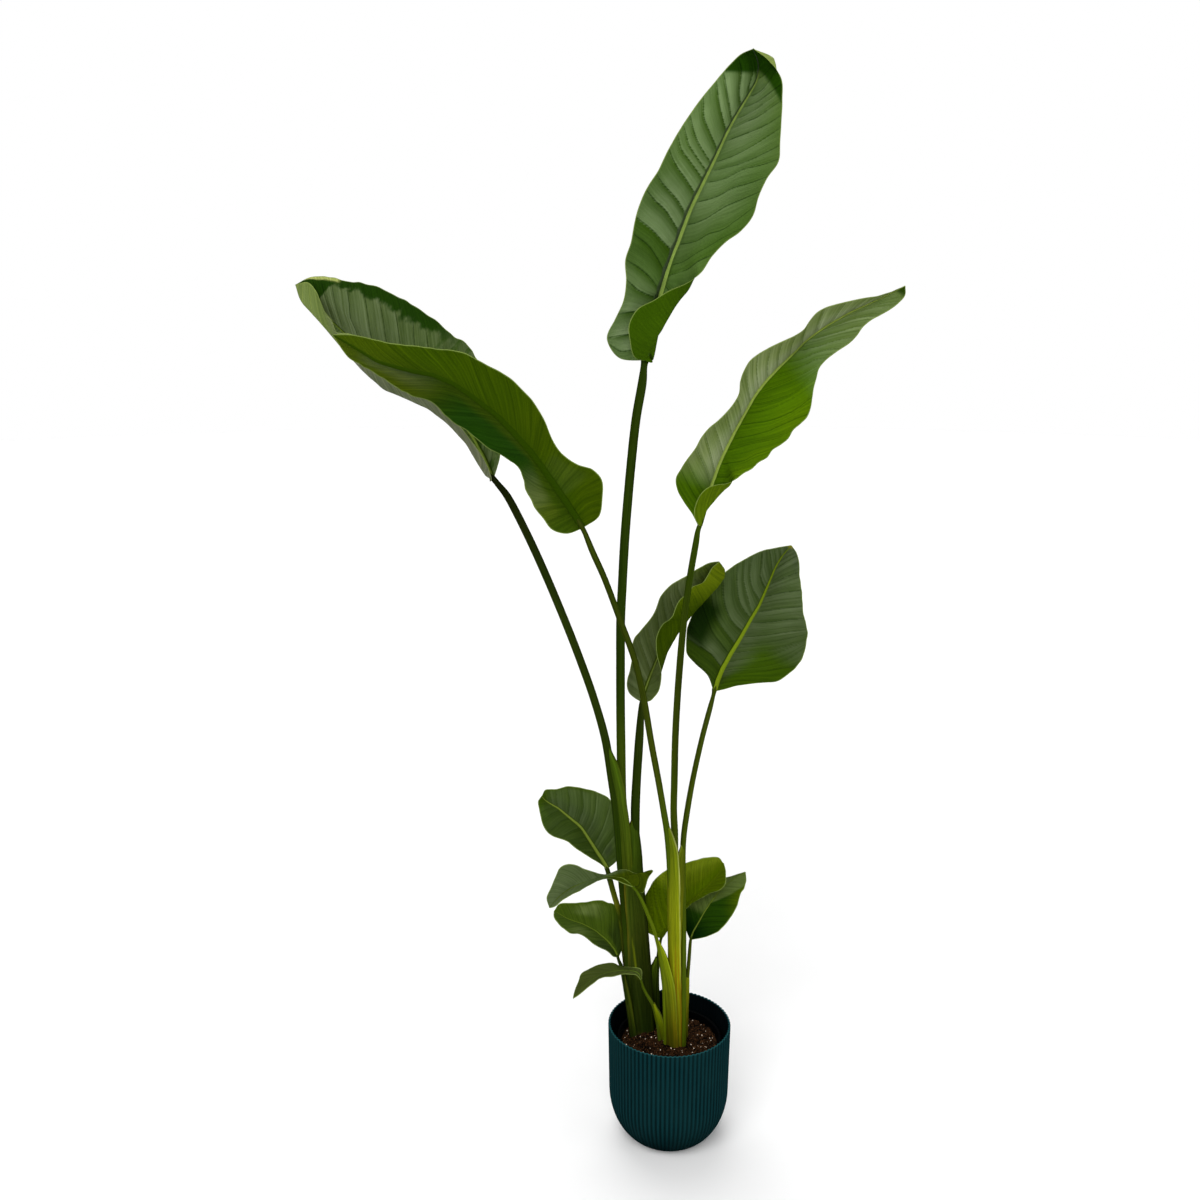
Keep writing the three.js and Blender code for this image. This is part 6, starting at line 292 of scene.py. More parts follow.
        [(-186.5, 47, 375.5), (-179.9, 51.2, 378.6), (-173.2, 56.9, 381.3), (-166.6, 64.2, 383.6), (-161.8, 70.8, 393), (-157, 79.5, 401.8), (-152.3, 90.5, 410.1)],
        [(-192.5, 50.3, 378.7), (-186.3, 53.9, 381.4), (-180.2, 58.8, 383.7), (-174, 65.1, 385.8), (-170.2, 70.7, 394.5), (-166.4, 78.2, 402.7), (-162.6, 87.6, 410.5)],
        [(-198, 53.2, 382.2), (-192.5, 56.2, 384.5), (-186.9, 60.4, 386.6), (-181.4, 65.7, 388.4), (-178.5, 70.2, 396.3), (-175.6, 76.5, 403.9), (-172.7, 84.4, 411.1)],
        [(-202.4, 56, 386.8), (-197.8, 58.4, 388.7), (-193.1, 61.7, 390.4), (-188.4, 66, 391.8), (-186.5, 69.5, 399.2), (-184.6, 74.5, 406.2), (-182.6, 80.9, 412.9)],
        [(-206.7, 59, 391.1), (-202.9, 60.5, 392.9), (-199, 62.9, 394.6), (-195.1, 66, 396.1), (-194.2, 68.2, 402.7), (-193.3, 71.7, 409.1), (-192.4, 76.4, 415.2)],
        [(-209.3, 61.9, 396.1), (-206.8, 62.6, 397.7), (-204.3, 63.8, 399.2), (-201.9, 65.5, 400.6), (-201.5, 66.5, 405.6), (-201.2, 68.3, 410.4), (-200.8, 70.9, 414.9)],
        [(-209, 64.7, 404.4), (-208.9, 64.8, 404.7), (-208.7, 64.9, 404.9), (-208.6, 65, 405.1), (-208.5, 65.1, 405.3), (-208.3, 65.2, 405.5), (-208.2, 65.3, 405.7)],
    ],
    "j": [
        [(-52.7, -28.1, 318.9), (-52.3, -27.7, 319.1), (-52, -27.4, 319.3), (-51.7, -27, 319.5), (-51.3, -26.6, 319.7), (-51, -26.3, 319.9), (-50.6, -25.9, 320.1)],
        [(-61.2, -33.7, 332.4), (-59.8, -32.4, 332.6), (-58.4, -30.9, 332.8), (-56.9, -29.3, 332.9), (-55.4, -27.9, 335.1), (-53.8, -26.1, 337.1), (-52.3, -24, 339.1)],
        [(-72.7, -41.3, 338.5), (-71, -38.9, 339.6), (-69.4, -36.2, 340.6), (-67.8, -33.3, 341.6), (-68.8, -30.3, 342.1), (-69.9, -26.9, 342.5), (-70.9, -23.1, 342.7)],
        [(-84.1, -47.9, 342.8), (-82.7, -44.8, 343.6), (-81.4, -41.4, 344.3), (-80.1, -37.6, 344.9), (-82.7, -33.4, 344.6), (-85.4, -28.4, 344.1), (-88, -22.8, 343.4)],
        [(-95.1, -53.6, 343.2), (-94.2, -50, 344.4), (-93.2, -45.9, 345.5), (-92.3, -41.5, 346.5), (-95.9, -35.8, 347.7), (-99.5, -29.1, 348.7), (-103.1, -21.5, 349.4)],
        [(-106.2, -58.6, 343.5), (-105.6, -54.5, 344.6), (-104.9, -50, 345.7), (-104.3, -45.1, 346.6), (-109.3, -38.2, 347.3), (-114.3, -30.1, 347.7), (-119.3, -20.9, 347.9)],
        [(-117.5, -62.4, 345.7), (-117, -58.2, 345.8), (-116.6, -53.5, 345.7), (-116.1, -48.4, 345.6), (-122.2, -41.1, 345.4), (-128.2, -32.4, 344.9), (-134.2, -22.4, 344.2)],
        [(-127.9, -64.6, 342.8), (-127.8, -60.6, 342.7), (-127.6, -56.1, 342.6), (-127.4, -51.3, 342.4), (-134.2, -44.5, 341.8), (-140.9, -36.3, 341), (-147.7, -26.7, 339.8)],
        [(-136.8, -65.1, 335.5), (-137.1, -61.6, 336), (-137.5, -57.7, 336.4), (-137.8, -53.5, 336.8), (-144.7, -47.7, 336.1), (-151.5, -40.6, 335), (-158.4, -32.3, 333.7)],
        [(-145.4, -64.6, 327.2), (-146.1, -61.8, 328.2), (-146.8, -58.7, 329.1), (-147.5, -55.3, 330), (-152.6, -50.7, 328.2), (-157.7, -45.1, 326.1), (-162.8, -38.6, 323.9)],
        [(-154, -63.5, 318.5), (-154.7, -61.4, 319.5), (-155.4, -59, 320.4), (-156.1, -56.5, 321.2), (-159.7, -53.2, 319.3), (-163.3, -49.1, 317.2), (-166.8, -44.3, 315)],
        [(-162.8, -60.8, 309), (-163.3, -59.7, 309.9), (-163.7, -58.4, 310.7), (-164.2, -57, 311.5), (-166.3, -55.2, 310.4), (-168.4, -53.1, 309.1), (-170.5, -50.5, 307.7)],
        [(-171.7, -57.7, 300.9), (-171.8, -57.5, 301), (-171.9, -57.2, 301.1), (-172, -57, 301.2), (-172.1, -56.8, 301.2), (-172.2, -56.5, 301.3), (-172.3, -56.3, 301.4)],
    ],
    "k": [
        [(-16.5, 44.9, 361.7), (-16, 45, 361.4), (-15.5, 45, 361.2), (-15, 45, 361), (-14.6, 45, 360.7), (-14.1, 45, 360.5), (-13.6, 45.1, 360.3)],
        [(-40.9, 45.5, 374.2), (-30.8, 46.7, 372.6), (-20.6, 46.1, 371.4), (-10.4, 43.8, 370.5), (-9.3, 44.6, 370), (-8.2, 45.3, 369.5), (-7.1, 45.8, 369.1)],
        [(-52, 45.6, 394.7), (-36.6, 47.3, 389.2), (-21.1, 46.2, 384.3), (-5.6, 42.4, 380), (-4.1, 43.9, 379.1), (-2.5, 45.2, 378.4), (-1, 46.2, 377.7)],
        [(-55.8, 44.8, 414.9), (-37.4, 46.9, 405.6), (-18.9, 45.5, 397.1), (-0.4, 40.7, 389.3), (1.3, 42.8, 388.3), (3.1, 44.5, 387.4), (4.9, 45.9, 386.6)],
        [(-51.5, 43.7, 433.3), (-32.8, 45.8, 420.8), (-14, 44.3, 409.3), (4.7, 39, 398.6), (6.9, 41.6, 397.4), (9.2, 43.8, 396.2), (11.4, 45.5, 395.1)],
        [(-43.5, 42.6, 447.9), (-25.4, 44.7, 433.4), (-7.4, 43, 419.8), (10.7, 37.6, 407.1), (13.1, 40.6, 405.8), (15.5, 43.1, 404.6), (17.9, 45.2, 403.6)],
        [(-36.3, 41.4, 461.7), (-18.7, 43.5, 445.4), (-1, 41.8, 430), (16.6, 36.1, 415.5), (19.2, 39.5, 414.3), (21.7, 42.4, 413.1), (24.2, 44.8, 412.1)],
        [(-29.7, 40, 475), (-12.2, 42, 457), (5.4, 40.1, 439.9), (23, 34.3, 423.7), (25.6, 38, 422.6), (28.2, 41.2, 421.6), (30.8, 43.8, 420.7)],
        [(-21.2, 38.7, 485.8), (-4.3, 40.5, 466.9), (12.6, 38.4, 448.8), (29.4, 32.5, 431.7), (32.2, 36.5, 430.7), (34.9, 39.9, 429.8), (37.7, 42.8, 429)],
        [(-11.2, 37.8, 494.7), (4.5, 39.4, 475.4), (20.2, 37, 457), (35.9, 30.8, 439.5), (39.2, 35.1, 438.1), (42.5, 38.8, 436.7), (45.8, 41.8, 435.5)],
        [(-0.5, 37.1, 502.2), (13.8, 38.3, 483), (28.1, 35.7, 464.7), (42.4, 29.1, 447.3), (46.3, 33.7, 445.3), (50.2, 37.6, 443.4), (54.1, 40.7, 441.8)],
        [(11.1, 36.1, 507.5), (23.7, 36.8, 489.2), (36.3, 33.8, 471.8), (48.9, 27.2, 455.2), (53.5, 32, 452.5), (58.1, 36, 450), (62.6, 39.2, 447.7)],
        [(22.5, 34.9, 512.7), (33.5, 35.1, 495.3), (44.4, 31.9, 478.8), (55.4, 25.3, 463), (60.6, 30.2, 459.8), (65.9, 34.1, 456.7), (71.1, 37.2, 453.9)],
        [(33.7, 33.4, 517.1), (43.1, 33.2, 501), (52.4, 29.8, 485.6), (61.7, 23.5, 471), (67.9, 28.2, 466.6), (74.1, 31.9, 462.4), (80.2, 34.5, 458.6)],
        [(44.7, 31.5, 521.1), (52.5, 30.9, 506.5), (60.2, 27.6, 492.4), (67.9, 21.6, 479), (75, 26.1, 473.5), (82.2, 29.3, 468.2), (89.3, 31.4, 463.3)],
        [(55.3, 28.8, 525.3), (61.5, 28.2, 512), (67.7, 25.3, 499.3), (73.8, 19.9, 487.2), (81.3, 23.8, 481.8), (88.7, 26.6, 476.7), (96.2, 28.2, 471.8)],
        [(65.7, 25.6, 528.2), (70.2, 25.1, 516.9), (74.8, 22.6, 506.1), (79.3, 18.2, 495.7), (85.8, 21.4, 491.4), (92.2, 23.6, 487.4), (98.7, 24.9, 483.6)],
        [(75.7, 21.8, 530.9), (78.6, 21.6, 521.8), (81.5, 19.8, 513), (84.4, 16.5, 504.6), (89, 18.8, 501.5), (93.5, 20.4, 498.7), (98.1, 21.3, 496)],
        [(85.1, 18, 531.1), (86.2, 18.1, 525.1), (87.4, 17.1, 519.3), (88.6, 15.2, 513.8), (91.4, 16.4, 511.9), (94.2, 17.3, 510), (97, 17.7, 508.3)],
        [(91.6, 14.1, 523.5), (91.9, 14.1, 523.4), (92.1, 14, 523.3), (92.4, 14, 523.2), (92.6, 14, 523.1), (92.8, 13.9, 523), (93.1, 13.9, 522.9)],
    ],
    "l": [
        [(35.1, 12.7, 377), (35.6, 12.4, 376.9), (36.1, 12.2, 376.9), (36.6, 12, 376.8), (37.1, 11.8, 376.7), (37.5, 11.6, 376.6), (38, 11.3, 376.5)],
        [(29.2, 23.3, 388.3), (32.6, 19.9, 386.9), (36, 17.4, 385.3), (39.4, 15.6, 383.6), (43, 13, 382.3), (46.7, 11.1, 380.9), (50.4, 9.9, 379.3)],
        [(26.1, 34.2, 398.5), (31.6, 28, 396), (37.1, 23.1, 393.1), (42.7, 19.5, 390), (48.9, 14.7, 387.8), (55.1, 11.1, 385.3), (61.3, 8.9, 382.5)],
        [(24.4, 45, 405.8), (32, 36.2, 402.8), (39.5, 29.3, 399.4), (47.1, 24.1, 395.5), (54.9, 17.7, 392.6), (62.7, 12.8, 389.3), (70.6, 9.6, 385.7)],
        [(24.2, 55.3, 411.8), (33.3, 44.1, 408.8), (42.4, 35.1, 405.3), (51.5, 28.3, 401.3), (60.6, 20.4, 397.7), (69.7, 14.4, 393.7), (78.8, 10.3, 389.3)],
        [(26.4, 65.3, 416.9), (36.2, 51.8, 414.3), (46, 40.8, 411), (55.8, 32.3, 407.2), (65.9, 22.9, 403), (76, 15.8, 398.3), (86.1, 10.9, 393.1)],
        [(28.3, 74.4, 421.8), (38.9, 58.8, 419.6), (49.5, 46.1, 416.7), (60.1, 36.2, 413.2), (70.7, 25.8, 408.9), (81.2, 17.8, 404), (91.8, 12.1, 398.6)],
        [(33, 81.4, 426.4), (43.6, 64.6, 424.6), (54.2, 50.8, 422.2), (64.8, 40, 419), (75.7, 28.9, 414.4), (86.5, 20.4, 409.2), (97.3, 14.3, 403.4)],
        [(37.6, 85.7, 432.2), (48.3, 68.7, 430.5), (59, 54.7, 428), (69.7, 43.7, 424.8), (80.6, 32.6, 419.8), (91.6, 23.9, 414.3), (102.5, 17.8, 408.1)],
        [(43.8, 88.9, 437.7), (54.1, 72.2, 436), (64.3, 58.4, 433.7), (74.5, 47.5, 430.6), (85.5, 36.6, 425.3), (96.5, 28.3, 419.3), (107.5, 22.4, 412.7)],
        [(51.9, 91.2, 442.6), (61.2, 75, 441.1), (70.5, 61.6, 439), (79.8, 50.9, 436.3), (90.7, 40.6, 430.6), (101.7, 32.8, 424.4), (112.7, 27.5, 417.6)],
        [(60.4, 93, 447.2), (68.6, 77.5, 446), (76.9, 64.6, 444.2), (85.1, 54.3, 441.9), (95.8, 44.8, 436), (106.5, 37.7, 429.7), (117.2, 32.9, 422.7)],
        [(70.2, 94.5, 449.1), (76.9, 79.9, 449.1), (83.7, 67.6, 448.6), (90.5, 57.7, 447.5), (100.8, 49, 441.5), (111.2, 42.7, 435), (121.5, 38.7, 428)],
        [(80, 95.6, 451.3), (85.6, 81.9, 452.1), (91.2, 70.3, 452.5), (96.8, 60.9, 452.3), (106, 53.3, 446.7), (115.1, 47.7, 440.6), (124.3, 44.2, 434)],
        [(90, 96.1, 453.2), (94.4, 83.5, 454.9), (98.8, 72.8, 456.2), (103.2, 64.1, 457), (111.1, 57.5, 451.8), (119.1, 52.7, 446.2), (127.1, 49.7, 440.1)],
        [(99.8, 94.8, 456), (103.2, 83.9, 458.2), (106.5, 74.6, 460.1), (109.8, 67, 461.6), (116.6, 61.5, 456.8), (123.3, 57.5, 451.7), (130.1, 55.1, 446.2)],
        [(109.5, 91.8, 459.8), (112, 83, 462.1), (114.4, 75.6, 464.1), (116.9, 69.6, 465.7), (123.1, 65.1, 461.2), (129.3, 62, 456.3), (135.6, 60.3, 451.1)],
        [(118.9, 87.6, 465), (120.6, 81.5, 466.9), (122.3, 76.3, 468.5), (124, 72.1, 469.9), (128.8, 68.9, 466), (133.6, 66.7, 461.8), (138.4, 65.7, 457.4)],
        [(128.2, 82.1, 470.8), (129.3, 78.9, 471.7), (130.5, 76.2, 472.5), (131.6, 74, 473.2), (134.6, 72.2, 470.3), (137.6, 71.1, 467.3), (140.6, 70.8, 464)],
        [(139, 76.6, 477.1), (139.1, 76.4, 476.9), (139.2, 76.2, 476.8), (139.3, 76, 476.6), (139.4, 75.8, 476.5), (139.5, 75.6, 476.3), (139.6, 75.4, 476.2)],
    ],
}

# x, y, z, half width, half depth from the soil up
STALKS = {
    "b": [(-62.7, 27, 184.3, 7, 8.6),
          (-68.7, 26, 278.8, 7.2, 8.6),
          (-76.4, 24, 369.3, 7.2, 8.4),
          (-82.7, 23, 447.9, 7, 7.8),
          (-87.7, 21.5, 506.3, 7, 7.4),
          (-91.5, 21, 563.6, 7.5, 7.4),
          (-96.2, 21.5, 619.7, 7.9, 7.7),
          (-103.8, 23, 674.8, 7.7, 7.5),
          (-115, 28, 746.4, 7.5, 7.3),
          (-134.3, 36, 816.2, 7.3, 7.2),
          (-158.5, 46, 884.9, 7.3, 7.2),
          (-185.2, 57, 953, 7.2, 7.1),
          (-213.7, 69, 1020.5, 7.2, 7.1),
          (-244.3, 81, 1087.8, 7.1, 7),
          (-278.6, 92, 1155.1, 6.8, 6.6),
          (-299.6, 98, 1182.5, 5.3, 5.2)],
    "a": [(-47.1, 27, 184.3, 7, 8.6),
          (-53.2, 27, 278.2, 7.2, 8.6),
          (-60.1, 29, 366.6, 7.2, 8.6),
          (-68.5, 33, 442.9, 6.8, 8),
          (-75, 37.5, 498.8, 6.8, 7.4),
          (-80.7, 39.8, 555.2, 7.3, 7.5),
          (-85.2, 40.6, 611.7, 7.8, 7.8),
          (-87.2, 39.1, 668.5, 7.8, 7.6),
          (-88.5, 39.1, 742.4, 7.8, 7.6),
          (-89.5, 38, 815.6, 7.7, 7.5),
          (-89.8, 39, 886.9, 7.7, 7.5),
          (-89.8, 41, 957, 7.7, 7.5),
          (-86.8, 43, 1026.2, 7.6, 7.4),
          (-83.4, 46, 1094.3, 7.6, 7.4),
          (-78.4, 49, 1161.6, 7.6, 7.4),
          (-72.6, 52, 1228.1, 7.6, 7.4),
          (-65.6, 55, 1293.8, 7.6, 7.4),
          (-56, 58, 1350.6, 7.4, 7.1),
          (-52.8, 60, 1380.4, 5.6, 5.5)],
    "e": [(-31.6, 27, 184.3, 7, 8.6),
          (-37.5, 27, 278.2, 7.2, 8.6),
          (-44, 27, 367.7, 7.2, 8.4),
          (-52.9, 26, 446.4, 7, 8),
          (-58.6, 26, 504.2, 6.8, 7.4),
          (-62.1, 28, 560.5, 7.3, 7.4),
          (-62.9, 33, 614.9, 8, 7.6),
          (-60.7, 40, 668.2, 7.7, 7.4),
          (-56.3, 52, 737.9, 7.5, 7.2),
          (-52.6, 61, 794.5, 5.1, 5)],
    "c": [(3.3, -20, 184.3, 5.7, 7),
          (2.1, -21, 276.7, 5.7, 7),
          (1, -22, 374.9, 5.7, 7),
          (-1.7, -23.5, 471.2, 5.7, 6.6),
          (-4.4, -25, 537.7, 5.6, 6),
          (-9.2, -29, 595.1, 5.8, 5.7),
          (-16.2, -34, 639.3, 5.6, 5.5),
          (-26.6, -42, 700.2, 5.6, 5.5),
          (-40.3, -52, 774.7, 5.5, 5.4),
          (-52.5, -61, 847.2, 5.5, 5.4),
          (-68.6, -72, 918.5, 5.3, 5.3),
          (-92.6, -86, 988.8, 5.2, 5.2),
          (-116.6, -102, 1057.6, 5.1, 5.1),
          (-136.1, -113, 1104.5, 5, 5),
          (-148, -119, 1135.5, 4.1, 4.1)],
    "d": [(14.3, -12, 184.3, 5.6, 7),
          (12.9, -12, 271.3, 5.6, 7),
          (11.2, -12, 369.4, 5.6, 7),
          (8.4, -12.5, 465.7, 5.5, 6.4),
          (5.8, -14, 532.5, 5.3, 5.8),
          (4, -14, 588.4, 6.1, 6),
          (1.6, -15, 635, 5.9, 5.7),
          (1.8, -17, 690.4, 5.9, 5.7),
          (2.2, -19, 763, 5.8, 5.6),
          (4.5, -22, 834.7, 5.8, 5.6),
          (8.2, -25, 905.1, 5.7, 5.5),
          (13.4, -28, 974.3, 5.5, 5.4),
          (20.9, -32, 1042.4, 5.4, 5.3),
          (29.3, -37, 1101.3, 5.2, 5.1),
          (32.6, -40, 1125.5, 4.1, 4.1)],
    "f": [(24.4, -20, 184.3, 5.6, 7),
          (22.6, -20, 276.1, 5.6, 7),
          (21.8, -18, 372.7, 5.5, 6.8),
          (20.2, -11, 465, 5.2, 5.8),
          (19.7, -4, 527.8, 4.8, 5),
          (20.2, 1, 572.5, 5.1, 5),
          (25.3, 6, 616.9, 5.2, 5),
          (35.6, 15, 677.9, 4.9, 4.8),
          (51.2, 34, 744.2, 4.8, 4.6),
          (65.9, 56, 791.6, 4.7, 4.5),
          (73.6, 71, 814.2, 3.7, 3.6)],
    "g": [(-61.4, 42, 184.3, 3.9, 4.4),
          (-66.4, 43, 268.9, 4.2, 4.4),
          (-74, 44, 338.6, 4.6, 4.6),
          (-86.6, 47, 400.5, 5, 4.8),
          (-97.8, 53, 436.8, 5.1, 4.9),
          (-107.4, 60, 470.6, 5.1, 4.9),
          (-110.1, 61.5, 482.5, 4.4, 4.2)],
    "h": [(-8, -22, 184.3, 3.4, 4),
          (-9.7, -26, 250.1, 3.4, 4),
          (-11.9, -29, 301.1, 3.3, 3.6),
          (-16.1, -31, 350.9, 3.3, 3.4),
          (-28, -31, 408.6, 3.2, 3.2),
          (-41.4, -30, 446.1, 3.2, 3.2),
          (-52.9, -28.5, 473.7, 3, 3),
          (-62.5, -27.5, 491.1, 2.3, 2.3)],
    "i": [(-66.6, 13.5, 184.3, 3.8, 3.8),
          (-71.5, 11, 237.5, 3.8, 3.8),
          (-78.4, 12, 277, 3.8, 3.8),
          (-85.8, 26, 312.8, 3.7, 3.6),
          (-90.6, 46, 316.5, 2.9, 2.8)],
    "j": [(-15.9, -9, 184.3, 4.2, 5),
          (-21.9, -12, 231.6, 4, 4.6),
          (-30.4, -16, 263.8, 3.4, 3.6),
          (-41.5, -21, 286.6, 2.9, 2.9),
          (-48.8, -25, 304.6, 2.5, 2.5),
          (-51.1, -27, 313.6, 2, 2)],
    "k": [(-18.8, 42, 184.3, 5, 5.5),
          (-20.8, 43, 248.6, 4.8, 5),
          (-20.6, 44, 298.6, 3.9, 4),
          (-17.7, 45, 338.1, 3.3, 3.3),
          (-15.5, 45, 354, 2.6, 2.6)],
    "l": [(30.1, 1, 184.3, 4, 4.2),
          (30.6, 1, 243.6, 4, 4),
          (31.3, 2.4, 298.5, 3.4, 3.4),
          (33.9, 6, 339.9, 3.3, 3.2),
          (36.1, 11, 370.5, 2.8, 2.8)],
}

# z, x of the closed side, x of the free edges, y of the middle, half depth; from the tip down to the soil
SHEATHS = {
    "b": [(739.5, -115.5, -109, 26.8, 5),
          (730.7, -115.7, -106.2, 25.8, 6),
          (720.1, -115.3, -101.7, 24.8, 6.8),
          (705.9, -113.8, -95.1, 23.6, 7.3),
          (684.2, -110.6, -88.4, 22.6, 7.6),
          (653, -106.8, -81.3, 22, 7.9),
          (619.7, -102.5, -76.6, 21.6, 8.1),
          (591.6, -99.3, -72.3, 21.5, 8.3),
          (553.9, -95.7, -69.5, 21.5, 8.6),
          (506.1, -92.3, -67.4, 22, 9),
          (447.7, -89.3, -64.3, 23.5, 9.4),
          (368.8, -84.7, -58.4, 25, 9.6),
          (278.5, -77.4, -48.7, 26.5, 9.8),
          (182.5, -69.6, -40.7, 27, 10)],
    "e": [(604.1, -58.8, -67.2, 32, 4.6),
          (596.9, -58, -69.6, 31.2, 5.6),
          (588, -57.1, -73.1, 30, 6.8),
          (577.2, -55.7, -76.5, 28.6, 8.2),
          (557.1, -52.9, -79.7, 27, 10),
          (532.9, -50.3, -81.2, 26, 11.4),
          (504.5, -48.4, -82.2, 25.4, 12.4),
          (446.8, -43.6, -81, 25.2, 13),
          (368.2, -36.5, -76.4, 26, 13.3),
          (278.2, -29.5, -68.7, 27, 13.4),
          (182.5, -23.8, -60.8, 27.4, 13.4)],
    "g": [(420.8, -90.6, -84.1, 49.6, 3.8),
          (411.7, -91.3, -81.2, 48.2, 4.4),
          (398.5, -91.6, -78.6, 47, 5),
          (367.4, -88.3, -74.1, 46, 5.2),
          (328.1, -84.9, -70.3, 45, 5),
          (268.3, -78.4, -64.5, 44, 5.2),
          (182.5, -69.6, -56.7, 42.5, 5.4)],
    "i": [(304, -84.3, -79.8, 20.5, 2.6),
          (294.1, -84.8, -77.3, 16.8, 3.3),
          (282.4, -83.4, -73.7, 13, 3.9),
          (257.5, -79.7, -68.9, 11.2, 4.4),
          (222.9, -75.2, -63.3, 11.8, 4.8),
          (182.5, -71, -57.5, 13, 5)],
    "k": [(324.4, -18.3, -23.8, 44.4, 3),
          (315.5, -17.8, -27.3, 44.2, 3.8),
          (304.6, -17.4, -32, 43.9, 4.4),
          (290.7, -16.9, -34.4, 43.7, 5),
          (270.7, -16.7, -36, 43.4, 5.4),
          (238.5, -15.2, -36.5, 43, 5.8),
          (182.5, -13.2, -33.9, 42, 6.2)],
    "j": [(268.3, -32.4, -27.6, -16.8, 2.5),
          (257.7, -31.2, -22.8, -15.6, 3.4),
          (242.8, -28.3, -15.4, -14, 4.4),
          (223.6, -24.8, -10.1, -12, 5),
          (204.6, -21.3, -5.5, -10.4, 5.4),
          (182.5, -18.6, -1.3, -9, 5.8)],
    "h": [(398.8, -27.4, -22.9, -30.6, 2.7),
          (386.6, -26, -16.7, -29.4, 3.6),
          (368.7, -23.5, -8.4, -28.4, 4.8),
          (353.1, -21.2, -3.3, -28, 5.6),
          (333.3, -18.5, 1.9, -27.4, 6.6),
          (309.6, -15.6, 6.5, -26.8, 7.6),
          (279.7, -12.5, 9.8, -26, 8.4),
          (239.4, -9.1, 12.9, -24.6, 9),
          (182.5, -5.9, 16.7, -22.6, 9.4)],
    "c": [(611.4, -14.5, -6.3, -30.6, 4.4),
          (604.6, -14.4, -3.5, -29.8, 5.4),
          (596.9, -14.1, -0.6, -29, 5.8),
          (583.6, -12.4, 3.8, -28, 6.2),
          (568.3, -10.9, 8.2, -27, 6.8),
          (547.3, -9.7, 10.6, -25.6, 7.4),
          (509.4, -8.9, 12.6, -24.6, 8),
          (452.4, -7.8, 14.5, -23.8, 8.3),
          (375.2, -5.7, 16.8, -22.6, 8.6),
          (277, -4.1, 19, -21.4, 8.8),
          (182.5, -3.6, 21.5, -20.4, 9)],
    "f": [(568.4, 24, 18.1, -0.4, 2.8),
          (559.8, 23.5, 15, -2, 4),
          (550.3, 22.9, 11.6, -3.8, 5),
          (541.7, 22.7, 9.1, -5.4, 5.6),
          (527.7, 22.6, 7.5, -7.6, 6.2),
          (493.7, 22, 6, -11.6, 7),
          (447.7, 21.5, 5.7, -14.6, 7.6),
          (372.1, 21.4, 6.6, -17, 8),
          (323.8, 22.4, 7.2, -17.6, 8.1),
          (275.2, 25.3, 7.8, -18.4, 8.2),
          (182.5, 28.8, 9.1, -18.6, 8.4)],
    "l": [(311.9, 34.9, 30.4, 3.2, 2.6),
          (301.2, 35.3, 27.6, 1.2, 3.6),
          (288.3, 35.2, 24.1, -0.4, 4.6),
          (265.5, 34.7, 22.2, -2.2, 5.2),
          (231, 33.1, 20, -4.6, 5.8),
          (182.5, 31.7, 19.1, -6, 6.2)],
}
